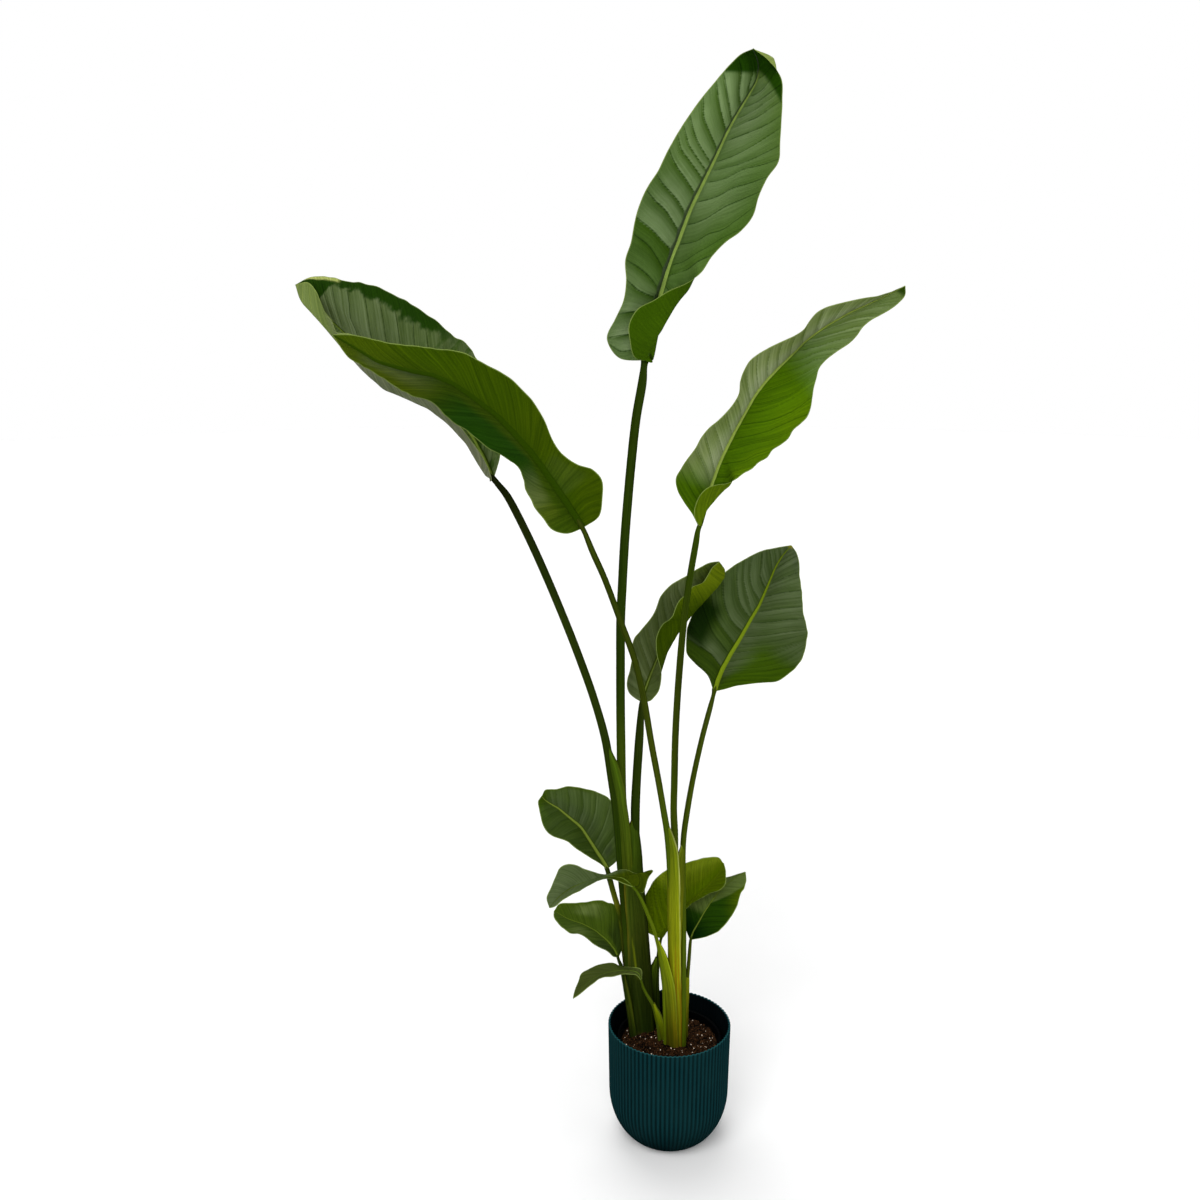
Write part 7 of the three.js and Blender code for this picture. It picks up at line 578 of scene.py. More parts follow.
# where each main vein runs: (mm along the midrib, mm out from it)
VEINS = {
    "a": {
        "L": [[(26.4, 12), (32.8, 50.3), (42.9, 68.7)], [(47.5, 12), (51.2, 47), (53, 74.4)], [(73.4, 12), (86.5, 46.6), (87.4, 70.1)], [(107.9, 12), (117.2, 41.2), (130.4, 63.5)], [(124.7, 12), (141.7, 36.9), (151, 55.4), (157.6, 72.9)], [(154.8, 9.7), (170.8, 29.7), (185, 50.4), (196.3, 78.2)], [(190.6, 12), (199.1, 32.7), (208.6, 53.2), (218.1, 79.9)], [(226.6, 12), (236.1, 28.8), (244.7, 45), (251.4, 66.1), (261, 85.6)], [(257.1, 12), (264.8, 26.8), (271.5, 44.4), (278.3, 64.6), (288, 82.6)], [(294.8, 12), (303.5, 33.6), (311.3, 53.4), (321, 69.9), (329.8, 80.3)], [(323, 12), (332.7, 43.6), (341.5, 65.6), (356.2, 79.1)], [(337.6, 12), (344.5, 35.7), (354.2, 57), (370.9, 73.7)], [(354.2, 12), (363, 39), (374.8, 57.6), (391.5, 73)], [(381.6, 12), (394.4, 37.2), (407.1, 54.2), (433.5, 68.3)], [(419.8, 12), (434.4, 32.6), (452, 48.7), (469.5, 60.6)], [(437.4, 6.8), (450, 21.9), (464.6, 37.6), (484.9, 53.8)], [(468.5, 6.2), (481.1, 20.1), (500.5, 29.5)], [(491.4, 1.5), (503.2, 9.8), (520.2, 12.6)]],
        "R": [[(135.1, 12), (167, 93.8)], [(157.6, 12), (184, 32.3), (206.7, 50.1), (221.9, 61.3)], [(175.5, 10.5), (212.4, 40.6), (241.9, 61.7), (266.7, 78.4)], [(209.5, 9.2), (237.1, 39.3), (254.3, 51.8), (275.4, 72.3), (293.8, 81.4)], [(244.7, 10.5), (269.6, 36.3), (291.9, 48.9), (307.4, 58.4), (333.7, 79.8)], [(283.1, 6.9), (308.4, 34.8), (334.7, 53.9), (354.2, 74.3), (375.8, 94.7)], [(320, 6.2), (339.6, 32.5), (368.9, 56.6), (388.5, 80.3), (406.2, 98.7)], [(342.5, 6), (365, 38.2), (382.6, 57), (402.2, 74.3), (422.8, 90.2)], [(361.1, 8.8), (383.6, 34.1), (408.1, 53.8), (428.6, 67.8), (449.1, 80.2)], [(399.3, 6.1), (416.9, 27.7), (431.5, 44.4), (451, 62.3), (464.6, 70.5)], [(420.8, 4.5), (436.4, 19.7), (452, 38.3), (478.3, 55.1)], [(442.2, 5.3), (456.8, 23), (478.3, 38.8), (492.3, 47.1)], [(464.6, 7.1), (477.3, 24.9), (495, 38.8)], [(487.7, 10.6), (498.7, 21.8), (508.5, 24.9)]],
    },
    "b": {
        "L": [[(65.9, 0), (84, 28.3), (105.4, 49.9)], [(107.7, 2.6), (191.9, 85), (220.8, 113.4), (235.3, 116)], [(141.7, 0), (210.3, 74.5), (243.4, 114), (258.8, 119.2)], [(175.1, 0.4), (232.1, 61.5), (259.6, 96.7), (281.5, 119.9)], [(204.7, 0.5), (252.3, 52.3), (287.2, 101.1), (306.7, 119.7)], [(235.3, 0.5), (274.2, 42.1), (301.8, 76.7), (327.8, 109)], [(265.3, 0.5), (297.8, 35), (320.5, 63.1), (352.1, 100.6)], [(295.3, 0), (323.7, 27.6), (348.1, 57.8), (375.5, 90)], [(328.6, 0.5), (347.3, 16.9), (364.2, 27.2), (378.8, 45.2), (402.2, 72.7)], [(363.4, 0.4), (386.9, 16.8), (403.8, 31.1), (424.7, 55.1)]],
    },
    "c": {
        "L": [[(42.4, 2.9), (49.3, 31.5), (46.7, 54.2)], [(78.4, 1.2), (81.8, 28.4), (82.6, 45.6)], [(114.8, 3.7), (119, 31.9), (123.1, 47.8)], [(144, 0.8), (154.8, 27), (170.4, 57.4)], [(168.8, 0.3), (192.5, 31.7), (220, 58)], [(190.1, 0), (212, 27.5), (241.7, 60)], [(212, 0), (236.1, 26.5), (265.7, 55)], [(236.1, 1.6), (259.3, 23), (287.1, 53.5)], [(257.7, 1.6), (287.1, 34.1), (309.9, 54.2)], [(294.9, 2.3), (324.1, 28.7), (346.8, 46.9)], [(330.3, 0), (357.8, 21), (383.5, 37.9)], [(370.2, 0), (396.7, 17.2), (422.1, 29.4)]],
        "R": [[(27.8, 1.5), (33.8, 27.3), (36.4, 41.6)], [(47.6, 1.1), (57.9, 29), (62.2, 48)], [(65.6, 2.6), (92.8, 33.2), (113.9, 48.1)], [(101.3, 3.4), (123.1, 31.2), (144, 49.3)], [(144, 5.8), (167.1, 50.4), (193.3, 65.4)], [(177.8, 2.5), (205.5, 41.6), (232.1, 65.2)], [(217.6, 1.9), (249.8, 33.5), (275.2, 65.2)], [(256.9, 0.4), (298.9, 30.8), (337.4, 55.4)], [(297.3, 2.9), (338.2, 16.1), (371, 35.2)], [(330.3, 2.8), (368.7, 5.9), (392.8, 30.4)], [(368.7, 5.9), (402.1, 19.1), (419.8, 26.2)], [(409.8, 2.2), (430.6, 16.7), (444.5, 19.1)]],
    },
    "d": {
        "L": [[(48.7, 0), (61.1, 18.7), (74.3, 35)], [(67.3, 1.2), (86.7, 18.1), (103.5, 41.1)], [(87.6, 0.2), (108.8, 19.3), (126.5, 41.3)], [(121.2, 0), (135.4, 21.8), (143.4, 38)], [(154.9, 0), (161.9, 20.9), (167.3, 33.9)], [(185.8, 0), (189.3, 28), (187.5, 32.8)], [(216.7, 2.1), (223.7, 26.9), (236.2, 48.2)], [(239.7, 1.7), (246.8, 28), (256.7, 46.1)], [(262.9, 1.7), (268.2, 22.7), (278.9, 41.4)], [(286.1, 1), (289.6, 22.3), (297.7, 39)], [(312.9, 1.8), (313.8, 21.3), (321, 34.6)], [(341.5, 2.7), (337.9, 20.9), (341.5, 34)], [(369.2, 0), (372.7, 13.4), (379.9, 32)], [(400.4, 0), (407.5, 12), (417.4, 26.6)], [(434.3, 0), (444.9, 6.7), (456.4, 16.3)]],
        "R": [[(70.8, 0), (84.1, 13.5), (96.4, 25.6)], [(84.1, 3.3), (123.9, 44.6), (151.3, 64.2)], [(109.7, 5.2), (144.2, 44.8), (172.5, 62.8), (190.2, 75.2)], [(132.7, 4.4), (170.8, 41), (213.1, 77.1), (230.8, 85.8)], [(153.1, 4.7), (197.2, 49.6), (231.7, 71.2), (258.4, 84.7)], [(181.4, 7.6), (221.1, 50.2), (261.1, 72.7), (300.4, 80.5)], [(199.9, 5.1), (235.3, 40.1), (276.3, 58.6), (321, 71.6)], [(221.1, 9.7), (272.7, 49.9), (325.4, 62.8)], [(245.9, 8.3), (295, 36.6), (349.5, 59.5)], [(279.8, 7), (315.6, 31.8), (368.3, 56.9)], [(304.9, 5.1), (337.9, 30.5), (387.9, 51.8)], [(332.6, 5.7), (362, 30.2), (413.8, 46.5)], [(359.3, 6.1), (387.9, 23), (436.9, 36.8)], [(390.6, 6.7), (427.2, 17), (460, 29.1)], [(424.5, 4.9), (460.8, 12.4), (485.4, 20.9)]],
    },
    "f": {
        "L": [[(15, 2.7), (21.7, 25.3), (24.6, 44.6)], [(44.5, 8.6), (50.8, 37), (50.4, 62.3)], [(71.3, 6.9), (76.7, 30.6), (83.1, 53.6), (97.9, 74.8), (110.7, 91)], [(93, 12), (100.4, 40.5), (111.2, 64.7), (137.5, 89.8)], [(117.7, 12), (120.1, 29.4), (131.5, 51.7), (149, 70.2), (165.6, 82.1)], [(147, 12), (156.5, 36.6), (177.2, 57.7), (196.1, 68.3)], [(155, 5.6), (174.6, 32.6), (196.1, 53.9), (216.2, 61.9)], [(181.8, 2.9), (191, 28.3), (208.4, 45.9), (228.6, 52.7)], [(208.4, 2.5), (218.7, 24.6), (237.1, 32.5)], [(238.7, 0), (250, 11.6)]],
        "R": [[(13.5, 2.5), (24.6, 22), (35.8, 41)], [(28.5, 6.5), (44.5, 28.3), (70.3, 58), (97.9, 88.5)], [(43, 9), (65, 38.6), (86.6, 64), (116.7, 90.3), (139.5, 102.9)], [(58.2, 5.8), (87.1, 38), (106.8, 60.8), (133, 82.7), (156, 101)], [(74.8, 3.1), (102.8, 37.8), (125.6, 68.2), (149.5, 91.3)], [(92, 2.2), (118.2, 39.2), (146, 72.2), (165.6, 94.3)], [(108.8, 3.6), (134.5, 39.6), (156.5, 67.2), (174.6, 92.9)], [(138.5, 5), (156.5, 33), (174.6, 57.3), (190.5, 81)], [(160, 2.3), (183.8, 35), (208.9, 70.2)], [(190.5, 1.9), (211.5, 27.4), (232.3, 56.7)], [(217.2, 2.4), (238.7, 22), (259.8, 39.8)], [(251.6, 4.7), (269.8, 14.2), (282.1, 20.2)]],
    },
    "e": {
        "L": [[(12.8, 0), (26.1, 19.1), (31.8, 31.5)], [(33.2, 0.4), (54.1, 22.4), (66.4, 36.9)], [(54.1, 0), (79.1, 21.8), (97, 40.9)], [(81, 0), (105, 24), (121, 39.4)], [(107.8, 0), (131.8, 23.8), (149.6, 40.5)], [(135.1, 0), (153.8, 26.1), (171.1, 44.7)], [(161.7, 0), (175.3, 29.2), (187.9, 41.3)], [(187.9, 0), (194.9, 27.8), (203.7, 36.8)], [(215.3, 0), (216.3, 19.9), (224.2, 27.5)], [(242.3, 0), (241.8, 14.6), (248.8, 18.8)]],
    },
    "g": {
        "L": [[(13.6, 4.3), (22, 7.8), (27.6, 13.2)], [(35.4, 3), (46.4, 16.1), (52.6, 24.6)], [(61.9, 3.8), (72.6, 24.4), (81.9, 35.6)], [(89, 2.4), (97.3, 21.9), (102.1, 39.7)], [(114.5, 0.2), (122.3, 17.7), (122.9, 39.5)], [(137.3, 0.5), (142.5, 16.9), (143.1, 34.9)]],
        "R": [[(7.8, 0), (11.2, 8.5), (12.7, 20.3)], [(24.9, 0), (32.1, 22.4), (33.6, 45.3)], [(49.7, 0), (54.4, 26.2), (64.6, 58.6)], [(74.7, 0), (77.1, 26.3), (87.8, 57.1)], [(96.7, 0), (98.8, 27.1), (107.5, 49.4)], [(119.9, 0), (122.9, 22.7), (130.7, 40)], [(142.2, 0), (147.3, 13.7), (151.2, 27.1)]],
    },
}

SOIL_TOP = 184.0

# ------------------------------------------------------------------ numbers

def smooth(a, b, x):
    t = np.clip((x - a) / (b - a), 0, 1)
    return t * t * (3 - 2 * t)


def cr(P, x):
    """Catmull-Rom through the rows of P at the places x (0 to n-1)."""
    n = len(P)
    x = np.asarray(x, float)
    i = np.clip(np.floor(x).astype(int), 0, n - 2)
    f = (x - i).reshape((-1,) + (1,) * (P.ndim - 1))
    E = np.concatenate([2 * P[:1] - P[1:2], P, 2 * P[-1:] - P[-2:-1]])
    p0, p1, p2, p3 = E[i], E[i + 1], E[i + 2], E[i + 3]
    return 0.5 * (2 * p1 + (p2 - p0) * f + (2 * p0 - 5 * p1 + 4 * p2 - p3) * f * f
                  + (3 * p1 - p0 - 3 * p2 + p3) * f ** 3)


def unit(a):
    return a / np.maximum(np.linalg.norm(a, axis=-1, keepdims=True), 1e-9)


class Waves:
    """Smooth seeded noise in one or two directions, about -1 to 1."""

    def __init__(self, seed, octaves=5, base=1.0, gain=0.6):
        rng = np.random.default_rng(seed)
        self.k = []
        for o in range(octaves):
            for _ in range(4):
                a = rng.uniform(0, 2 * math.pi)
                f = base * 2 ** o * rng.uniform(0.7, 1.3)
                self.k.append((f * math.cos(a), f * math.sin(a), rng.uniform(0, 2 * math.pi), gain ** o / 2))

    def __call__(self, x, y=0.0):
        s = 0
        for a, b, p, w in self.k:
            s = s + w * np.sin(a * x + b * y + p)
        return s / 1.6


def make(name, verts, faces, mats, index=None, attrs=None, shade=True):
    """A mesh object from arrays in millimetres."""
    me = bpy.data.meshes.new(name)
    verts = np.asarray(verts, np.float64) * MM
    faces = np.asarray(faces, np.int32)
    me.vertices.add(len(verts))
    me.vertices.foreach_set("co", verts.astype(np.float32).ravel())
    k = faces.shape[1]
    me.loops.add(faces.size)
    me.loops.foreach_set("vertex_index", faces.ravel())
    me.polygons.add(len(faces))
    me.polygons.foreach_set("loop_start", np.arange(0, faces.size, k, dtype=np.int32))
    me.polygons.foreach_set("loop_total", np.full(len(faces), k, np.int32))
    for m in mats:
        me.materials.append(m)
    if index is not None:
        me.polygons.foreach_set("material_index", np.asarray(index, np.int32))
    me.polygons.foreach_set("use_smooth", np.full(len(faces), shade))
    me.update(calc_edges=True)
    me.validate(clean_customdata=False)
    for key, values in (attrs or {}).items():
        values = np.asarray(values, np.float32)
        if values.ndim == 2:
            a = me.attributes.new(key, "FLOAT_COLOR", "POINT")
            rgba = np.ones((len(values), 4), np.float32)
            rgba[:, :3] = values[:, :3]
            a.data.foreach_set("color", rgba.ravel())
        else:
            a = me.attributes.new(key, "FLOAT", "POINT")
            a.data.foreach_set("value", values)
    ob = bpy.data.objects.new(name, me)
    bpy.context.scene.collection.objects.link(ob)
    return ob


def grid_faces(rows, cols, start=0, flip=False, wrap=False):
    r = np.arange(rows - 1)[:, None]
    c = np.arange(cols if wrap else cols - 1)[None, :]
    c2 = (c + 1) % cols
    a = r * cols + c
    b = r * cols + c2
    d = (r + 1) * cols + c
    e = (r + 1) * cols + c2
    f = np.stack([a, b, e, d], -1).reshape(-1, 4) + start
    return f[:, ::-1] if flip else f


# ------------------------------------------------------------------ materials

def new_mat(name):
    m = bpy.data.materials.new(name)
    m.use_nodes = True
    nt = m.node_tree
    nt.nodes.clear()
    return m, nt


class Net:
    """Short forms for building a node tree."""

    def __init__(self, nt):
        self.nt = nt

    def node(self, kind, **props):
        n = self.nt.nodes.new(kind)
        for k, v in props.items():
            setattr(n, k, v)
        return n

    def put(self, socket, value):
        if isinstance(value, bpy.types.NodeSocket):
            self.nt.links.new(value, socket)
        elif isinstance(value, (tuple, list)) and len(value) == 3 and socket.type == "RGBA":
            socket.default_value = (*value, 1)
        else:
            socket.default_value = value

    def attr(self, name):
        n = self.node("ShaderNodeAttribute", attribute_name=name)
        return n

    def math(self, op, a, b=0.0, c=None):
        n = self.node("ShaderNodeMath", operation=op)
        self.put(n.inputs[0], a)
        self.put(n.inputs[1], b)
        if c is not None:
            self.put(n.inputs[2], c)
        return n.outputs[0]

    def band(self, x, lo, hi, to_lo=0.0, to_hi=1.0, kind="SMOOTHSTEP"):
        n = self.node("ShaderNodeMapRange", interpolation_type=kind)
        self.put(n.inputs[0], x)
        n.inputs[1].default_value = lo
        n.inputs[2].default_value = hi
        n.inputs[3].default_value = to_lo
        n.inputs[4].default_value = to_hi
        return n.outputs[0]

    def mix(self, f, a, b, blend="MIX"):
        n = self.node("ShaderNodeMix", data_type="RGBA", blend_type=blend)
        self.put(n.inputs[0], f)
        self.put(n.inputs[6], a)
        self.put(n.inputs[7], b)
        return n.outputs[2]

    def noise(self, scale, detail=3.0, rough=0.5, vector=None, dist=0.0):
        n = self.node("ShaderNodeTexNoise")
        n.inputs["Scale"].default_value = scale
        n.inputs["Detail"].default_value = detail
        n.inputs["Roughness"].default_value = rough
        n.inputs["Distortion"].default_value = dist
        if vector is not None:
            self.put(n.inputs["Vector"], vector)
        return n.outputs[0]

    def xyz(self, x, y, z=0.0):
        n = self.node("ShaderNodeCombineXYZ")
        self.put(n.inputs[0], x)
        self.put(n.inputs[1], y)
        self.put(n.inputs[2], z)
        return n.outputs[0]

    def bump(self, height, strength, distance, normal=None):
        n = self.node("ShaderNodeBump")
        n.inputs["Strength"].default_value = strength
        n.inputs["Distance"].default_value = distance
        self.put(n.inputs["Height"], height)
        if normal is not None:
            self.put(n.inputs["Normal"], normal)
        return n.outputs[0]

    def obj(self):
        return self.node("ShaderNodeTexCoord").outputs["Object"]


def surface(net, color, rough, normal=None, spec=0.5, translucent=None, glow=None, sheen=0.0, tint=None):
    p = net.node("ShaderNodeBsdfPrincipled")
    net.put(p.inputs["Base Color"], color)
    net.put(p.inputs["Roughness"], rough)
    p.inputs["Specular IOR Level"].default_value = spec
    if tint:
        p.inputs["Specular Tint"].default_value = (*tint, 1)
    if sheen:
        p.inputs["Sheen Weight"].default_value = sheen
    if normal is not None:
        net.put(p.inputs["Normal"], normal)
    out = net.node("ShaderNodeOutputMaterial")
    if translucent is None:
        net.nt.links.new(p.outputs[0], out.inputs[0])
        return
    t = net.node("ShaderNodeBsdfTranslucent")
    net.put(t.inputs["Color"], glow)
    if normal is not None:
        net.put(t.inputs["Normal"], normal)
    m = net.node("ShaderNodeMixShader")
    m.inputs[0].default_value = translucent
    net.nt.links.new(p.outputs[0], m.inputs[1])
    net.nt.links.new(t.outputs[0], m.inputs[2])
    net.nt.links.new(m.outputs[0], out.inputs[0])


def leaf_material(name, upper):
    m, nt = new_mat(name)
    net = Net(nt)
    tint = net.attr("tint").outputs["Color"]
    q = net.attr("q").outputs["Fac"]          # mm along the midrib where this vein starts
    dm = net.attr("dm").outputs["Fac"]        # mm from the midrib
    tt = net.attr("tt").outputs["Fac"]        # 0 at the midrib, 1 at the margin
    ph = net.attr("ph").outputs["Fac"]        # pleat phase
    mw = net.attr("mw").outputs["Fac"]        # half width of the midrib, mm
    obj = net.obj()
    cloud = net.noise(9.0, 4, 0.6, obj)
    speck = net.noise(420.0, 2, 0.5, obj)
    along = net.xyz(net.math("MULTIPLY", q, 0.9), net.math("MULTIPLY", dm, 0.02))
    streak = net.noise(1.0, 3, 0.6, along)
    stripes = net.noise(1.0, 2, 0.55, net.xyz(net.math("MULTIPLY", q, 0.27), net.math("MULTIPLY", dm, 0.010)))
    fine = net.math("SINE", net.math("MULTIPLY", q, 2 * math.pi / 2.1))
    third = net.math("SINE", net.math("ADD", net.math("MULTIPLY", q, 2 * math.pi / 7.3), net.math("MULTIPLY", cloud, 6.0)))
    # the secondary veins, a narrow line at each whole number of the phase
    saw = net.math("ABSOLUTE", net.math("SUBTRACT", net.math("FRACT", ph), 0.5))
    line = net.band(saw, 0.44, 0.5)
    away = net.band(tt, 0.02, 0.10)
    line = net.math("MULTIPLY", line, away)
    em = net.attr("em").outputs["Fac"]        # mm in from the margin
    edge = net.band(em, 0.7, 1.9, 1.0, 0.0)
    rw = net.attr("rw").outputs["Fac"]        # half width of the pale line in the midrib, mm
    rib = net.band(net.math("DIVIDE", dm, rw), 0.8, 1.2, 1.0, 0.0)
    bw = net.attr("bw").outputs["Fac"]        # half width of the painted shade on the channel wall beside that line, mm
    rib_shade = net.band(net.math("DIVIDE", dm, bw), 0.8, 1.15, 1.0, 0.0)
    col = net.mix(net.band(cloud, 0.3, 0.72), net.mix(1.0, tint, (0.88, 0.92, 0.86), "MULTIPLY"), net.mix(1.0, tint, (1.1, 1.07, 1.1), "MULTIPLY"))
    col = net.mix(net.band(streak, 0.42, 0.7, 0.0, 0.42), col, net.mix(1.0, tint, (0.7, 0.78, 0.6), "MULTIPLY"))
    col = net.mix(net.band(streak, 0.58, 0.32, 0.0, 0.30), col, net.mix(1.0, tint, (1.35, 1.28, 1.3), "MULTIPLY"))
    lined = net.attr("lined").outputs["Fac"]  # how much the fine lines show
    col = net.mix(net.math("MULTIPLY", lined, net.band(stripes, 0.52, 0.66, 0.0, 0.75)), col, net.mix(1.0, tint, (0.56, 0.64, 0.42), "MULTIPLY"))
    col = net.mix(net.math("MULTIPLY", lined, net.band(stripes, 0.48, 0.35, 0.0, 0.65)), col, net.mix(1.0, tint, (1.45, 1.36, 1.55), "MULTIPLY"))
    col = net.mix(net.band(third, -1.0, 1.0, 0.0, 0.14), col, net.mix(1.0, tint, (0.6, 0.68, 0.5), "MULTIPLY"))
    col = net.mix(net.band(fine, -1.0, 1.0, 0.0, 0.10), col, net.mix(1.0, tint, (1.5, 1.4, 1.3), "MULTIPLY"))
    veiny = net.attr("veiny").outputs["Fac"]   # how dark or pale the main veins stand out here
    # on the upper side each main vein line is darkened: painted shade in the vein's groove; underneath the veins are
    # paler
    if upper:
        col = net.mix(net.math("MULTIPLY", line, veiny), col, net.mix(1.0, tint, (0.34, 0.42, 0.30), "MULTIPLY"))
    else:
        col = net.mix(net.math("MULTIPLY", line, veiny), col, net.mix(1.0, tint, (1.6, 1.5, 1.3), "MULTIPLY"))
    ribc = net.attr("ribc").outputs["Color"]
    if upper:
        # painted shade on one wall of the midrib channel
        rib_shade_col = net.attr("rib_shade_col").outputs["Color"]
        col = net.mix(rib_shade, col, rib_shade_col)
    col = net.mix(rib, col, ribc)
    col = net.mix(net.math("MULTIPLY", edge, 0.8), col, (0.24, 0.32, 0.075))
    height = net.math("ADD", net.math("MULTIPLY", fine, 0.5), net.math("MULTIPLY", third, 0.8))
    height = net.math("ADD", height, net.math("MULTIPLY", speck, 0.6))
    height = net.math("SUBTRACT", height, net.math("MULTIPLY", net.math("MULTIPLY", line, veiny), 1.8 if upper else -1.8))
    height = net.math("MULTIPLY", height, net.band(net.math("DIVIDE", dm, mw), 0.8, 1.6))
    normal = net.bump(height, 0.35, 0.0005)
    gloss = net.attr("gloss").outputs["Fac"]  # 1 where the skin shines, 0 where it is dull
    rough = net.band(net.math("ADD", net.math("MULTIPLY", cloud, 0.6), net.math("MULTIPLY", streak, 0.4)), 0.3, 0.7, 0.0, 0.12)
    rough = net.math("ADD", rough, net.band(gloss, 0.0, 1.0, 0.80, 0.34, kind="LINEAR"))
    glow = net.mix(1.0, tint, (3.0, 2.6, 1.0), "MULTIPLY")
    surface(net, col, rough, normal, 0.03 if upper else 0.010, 0.22, glow)
    return m


def stalk_material(name):
    m, nt = new_mat(name)
    net = Net(nt)
    tint = net.attr("tint").outputs["Color"]
    sl = net.attr("sl").outputs["Fac"]        # mm along the stalk
    an = net.attr("an").outputs["Fac"]        # mm around it
    edge = net.attr("edge").outputs["Fac"]    # 1 at the free, dry margin of a sheath
    vec = net.xyz(net.math("MULTIPLY", sl, 0.012), net.math("MULTIPLY", an, 0.9))
    streak = net.noise(1.0, 4, 0.6, vec)
    vec2 = net.xyz(net.math("MULTIPLY", sl, 0.03), net.math("MULTIPLY", an, 3.0))
    thin = net.noise(1.0, 2, 0.5, vec2)
    cloud = net.noise(22.0, 3, 0.6, net.obj())
    col = net.mix(net.band(streak, 0.35, 0.65), net.mix(1.0, tint, (0.72, 0.78, 0.6), "MULTIPLY"), net.mix(1.0, tint, (1.25, 1.2, 1.15), "MULTIPLY"))
    col = net.mix(net.band(thin, 0.4, 0.7, 0.0, 0.35), col, net.mix(1.0, tint, (1.7, 1.45, 1.3), "MULTIPLY"))
    col = net.mix(net.band(cloud, 0.55, 0.8, 0.0, 0.3), col, net.mix(1.0, tint, (0.8, 0.62, 0.5), "MULTIPLY"))
    col = net.mix(net.band(edge, 0.2, 0.95), col, (0.42, 0.40, 0.16))
    height = net.math("ADD", net.math("MULTIPLY", streak, 1.0), net.math("MULTIPLY", thin, 0.6))
    normal = net.bump(height, 0.35, 0.0006)
    rough = net.band(streak, 0.3, 0.7, 0.34, 0.5)
    surface(net, col, rough, normal, 0.025)
    return m


def pot_material():
    m, nt = new_mat("teal_pot")
    net = Net(nt)
    obj = net.obj()
    cloud = net.noise(14.0, 4, 0.55, obj)
    speck = net.noise(900.0, 3, 0.6, obj)
    crest_light = net.attr("crest_light").outputs["Fac"]  # painted light and shade: 1 on the crest of a flute, 0 in the groove, and less towards the foot
    rim = net.attr("rim").outputs["Fac"]
    # painted shade in the grooves and low down, painted light on the crests
    col = net.mix(net.band(crest_light, 0.1, 0.9), (0.0005, 0.0075, 0.0085), (0.0015, 0.0235, 0.0275))
    col = net.mix(net.band(cloud, 0.3, 0.7, 0.0, 0.35), col, (0.0030, 0.0240, 0.0245))
    col = net.mix(net.band(speck, 0.62, 0.78, 0.0, 0.35), col, (0.008, 0.045, 0.049))
    # painted highlight along the rounded rim
    col = net.mix(net.math("MULTIPLY", rim, 0.8), col, (0.010, 0.066, 0.072))
    inner_shade = net.attr("inner_shade").outputs["Fac"]
    # painted shade: the teal inner wall is painted near black
    col = net.mix(net.math("MULTIPLY", inner_shade, 0.93), col, (0.0011, 0.0024, 0.0031))
    normal = net.bump(net.math("ADD", speck, net.math("MULTIPLY", cloud, 2.0)), 0.18, 0.0004)
    rough = net.band(cloud, 0.3, 0.7, 0.5, 0.6)
    surface(net, col, rough, normal, 0.03)
    return m


def black_material():
    m, nt = new_mat("black_plastic")
    net = Net(nt)
    obj = net.obj()
    dust_and_sheen = net.noise(30.0, 5, 0.65, obj)
    fine = net.noise(600.0, 2, 0.5, obj)
    col = net.mix(net.band(dust_and_sheen, 0.5, 0.75), (0.0008, 0.0011, 0.0013), (0.0018, 0.0018, 0.0017))
    normal = net.bump(fine, 0.15, 0.0004)
    rough = net.band(dust_and_sheen, 0.4, 0.7, 0.42, 0.7)
    surface(net, col, rough, normal, 0.02)
    return m


def soil_material():
    m, nt = new_mat("soil_mix")
    net = Net(nt)
    obj = net.obj()
    big = net.noise(60.0, 4, 0.6, obj)
    small = net.noise(420.0, 4, 0.7, obj)
    tiny = net.noise(1500.0, 2, 0.6, obj)
    col = net.mix(net.band(big, 0.42, 0.62), (0.0008, 0.0005, 0.0003), (0.022, 0.0090, 0.0032))
    col = net.mix(net.band(small, 0.54, 0.66), col, (0.130, 0.055, 0.018))
    col = net.mix(net.band(tiny, 0.66, 0.78), col, (0.17, 0.105, 0.055))
    normal = net.bump(net.math("ADD", small, tiny), 0.9, 0.0012)
    surface(net, col, net.band(big, 0.3, 0.7, 0.75, 0.95), normal, 0.05)
    return m


def bit_material(name, dark, light, rough, scale):
    m, nt = new_mat(name)
    net = Net(nt)
    obj = net.obj()
    a = net.noise(scale, 4, 0.6, obj)
    b = net.noise(scale * 7, 3, 0.6, obj)
    col = net.mix(net.band(a, 0.35, 0.65), dark, light)
    col = net.mix(net.band(b, 0.5, 0.75, 0.0, 0.4), col, dark)
    normal = net.bump(b, 0.6, 0.0006)
    surface(net, col, rough, normal, 0.05)
    return m


UPPER = leaf_material("leaf_upper", True)
UNDER = leaf_material("leaf_under", False)
STALK = stalk_material("stalk_skin")

# ------------------------------------------------------------------ leaves

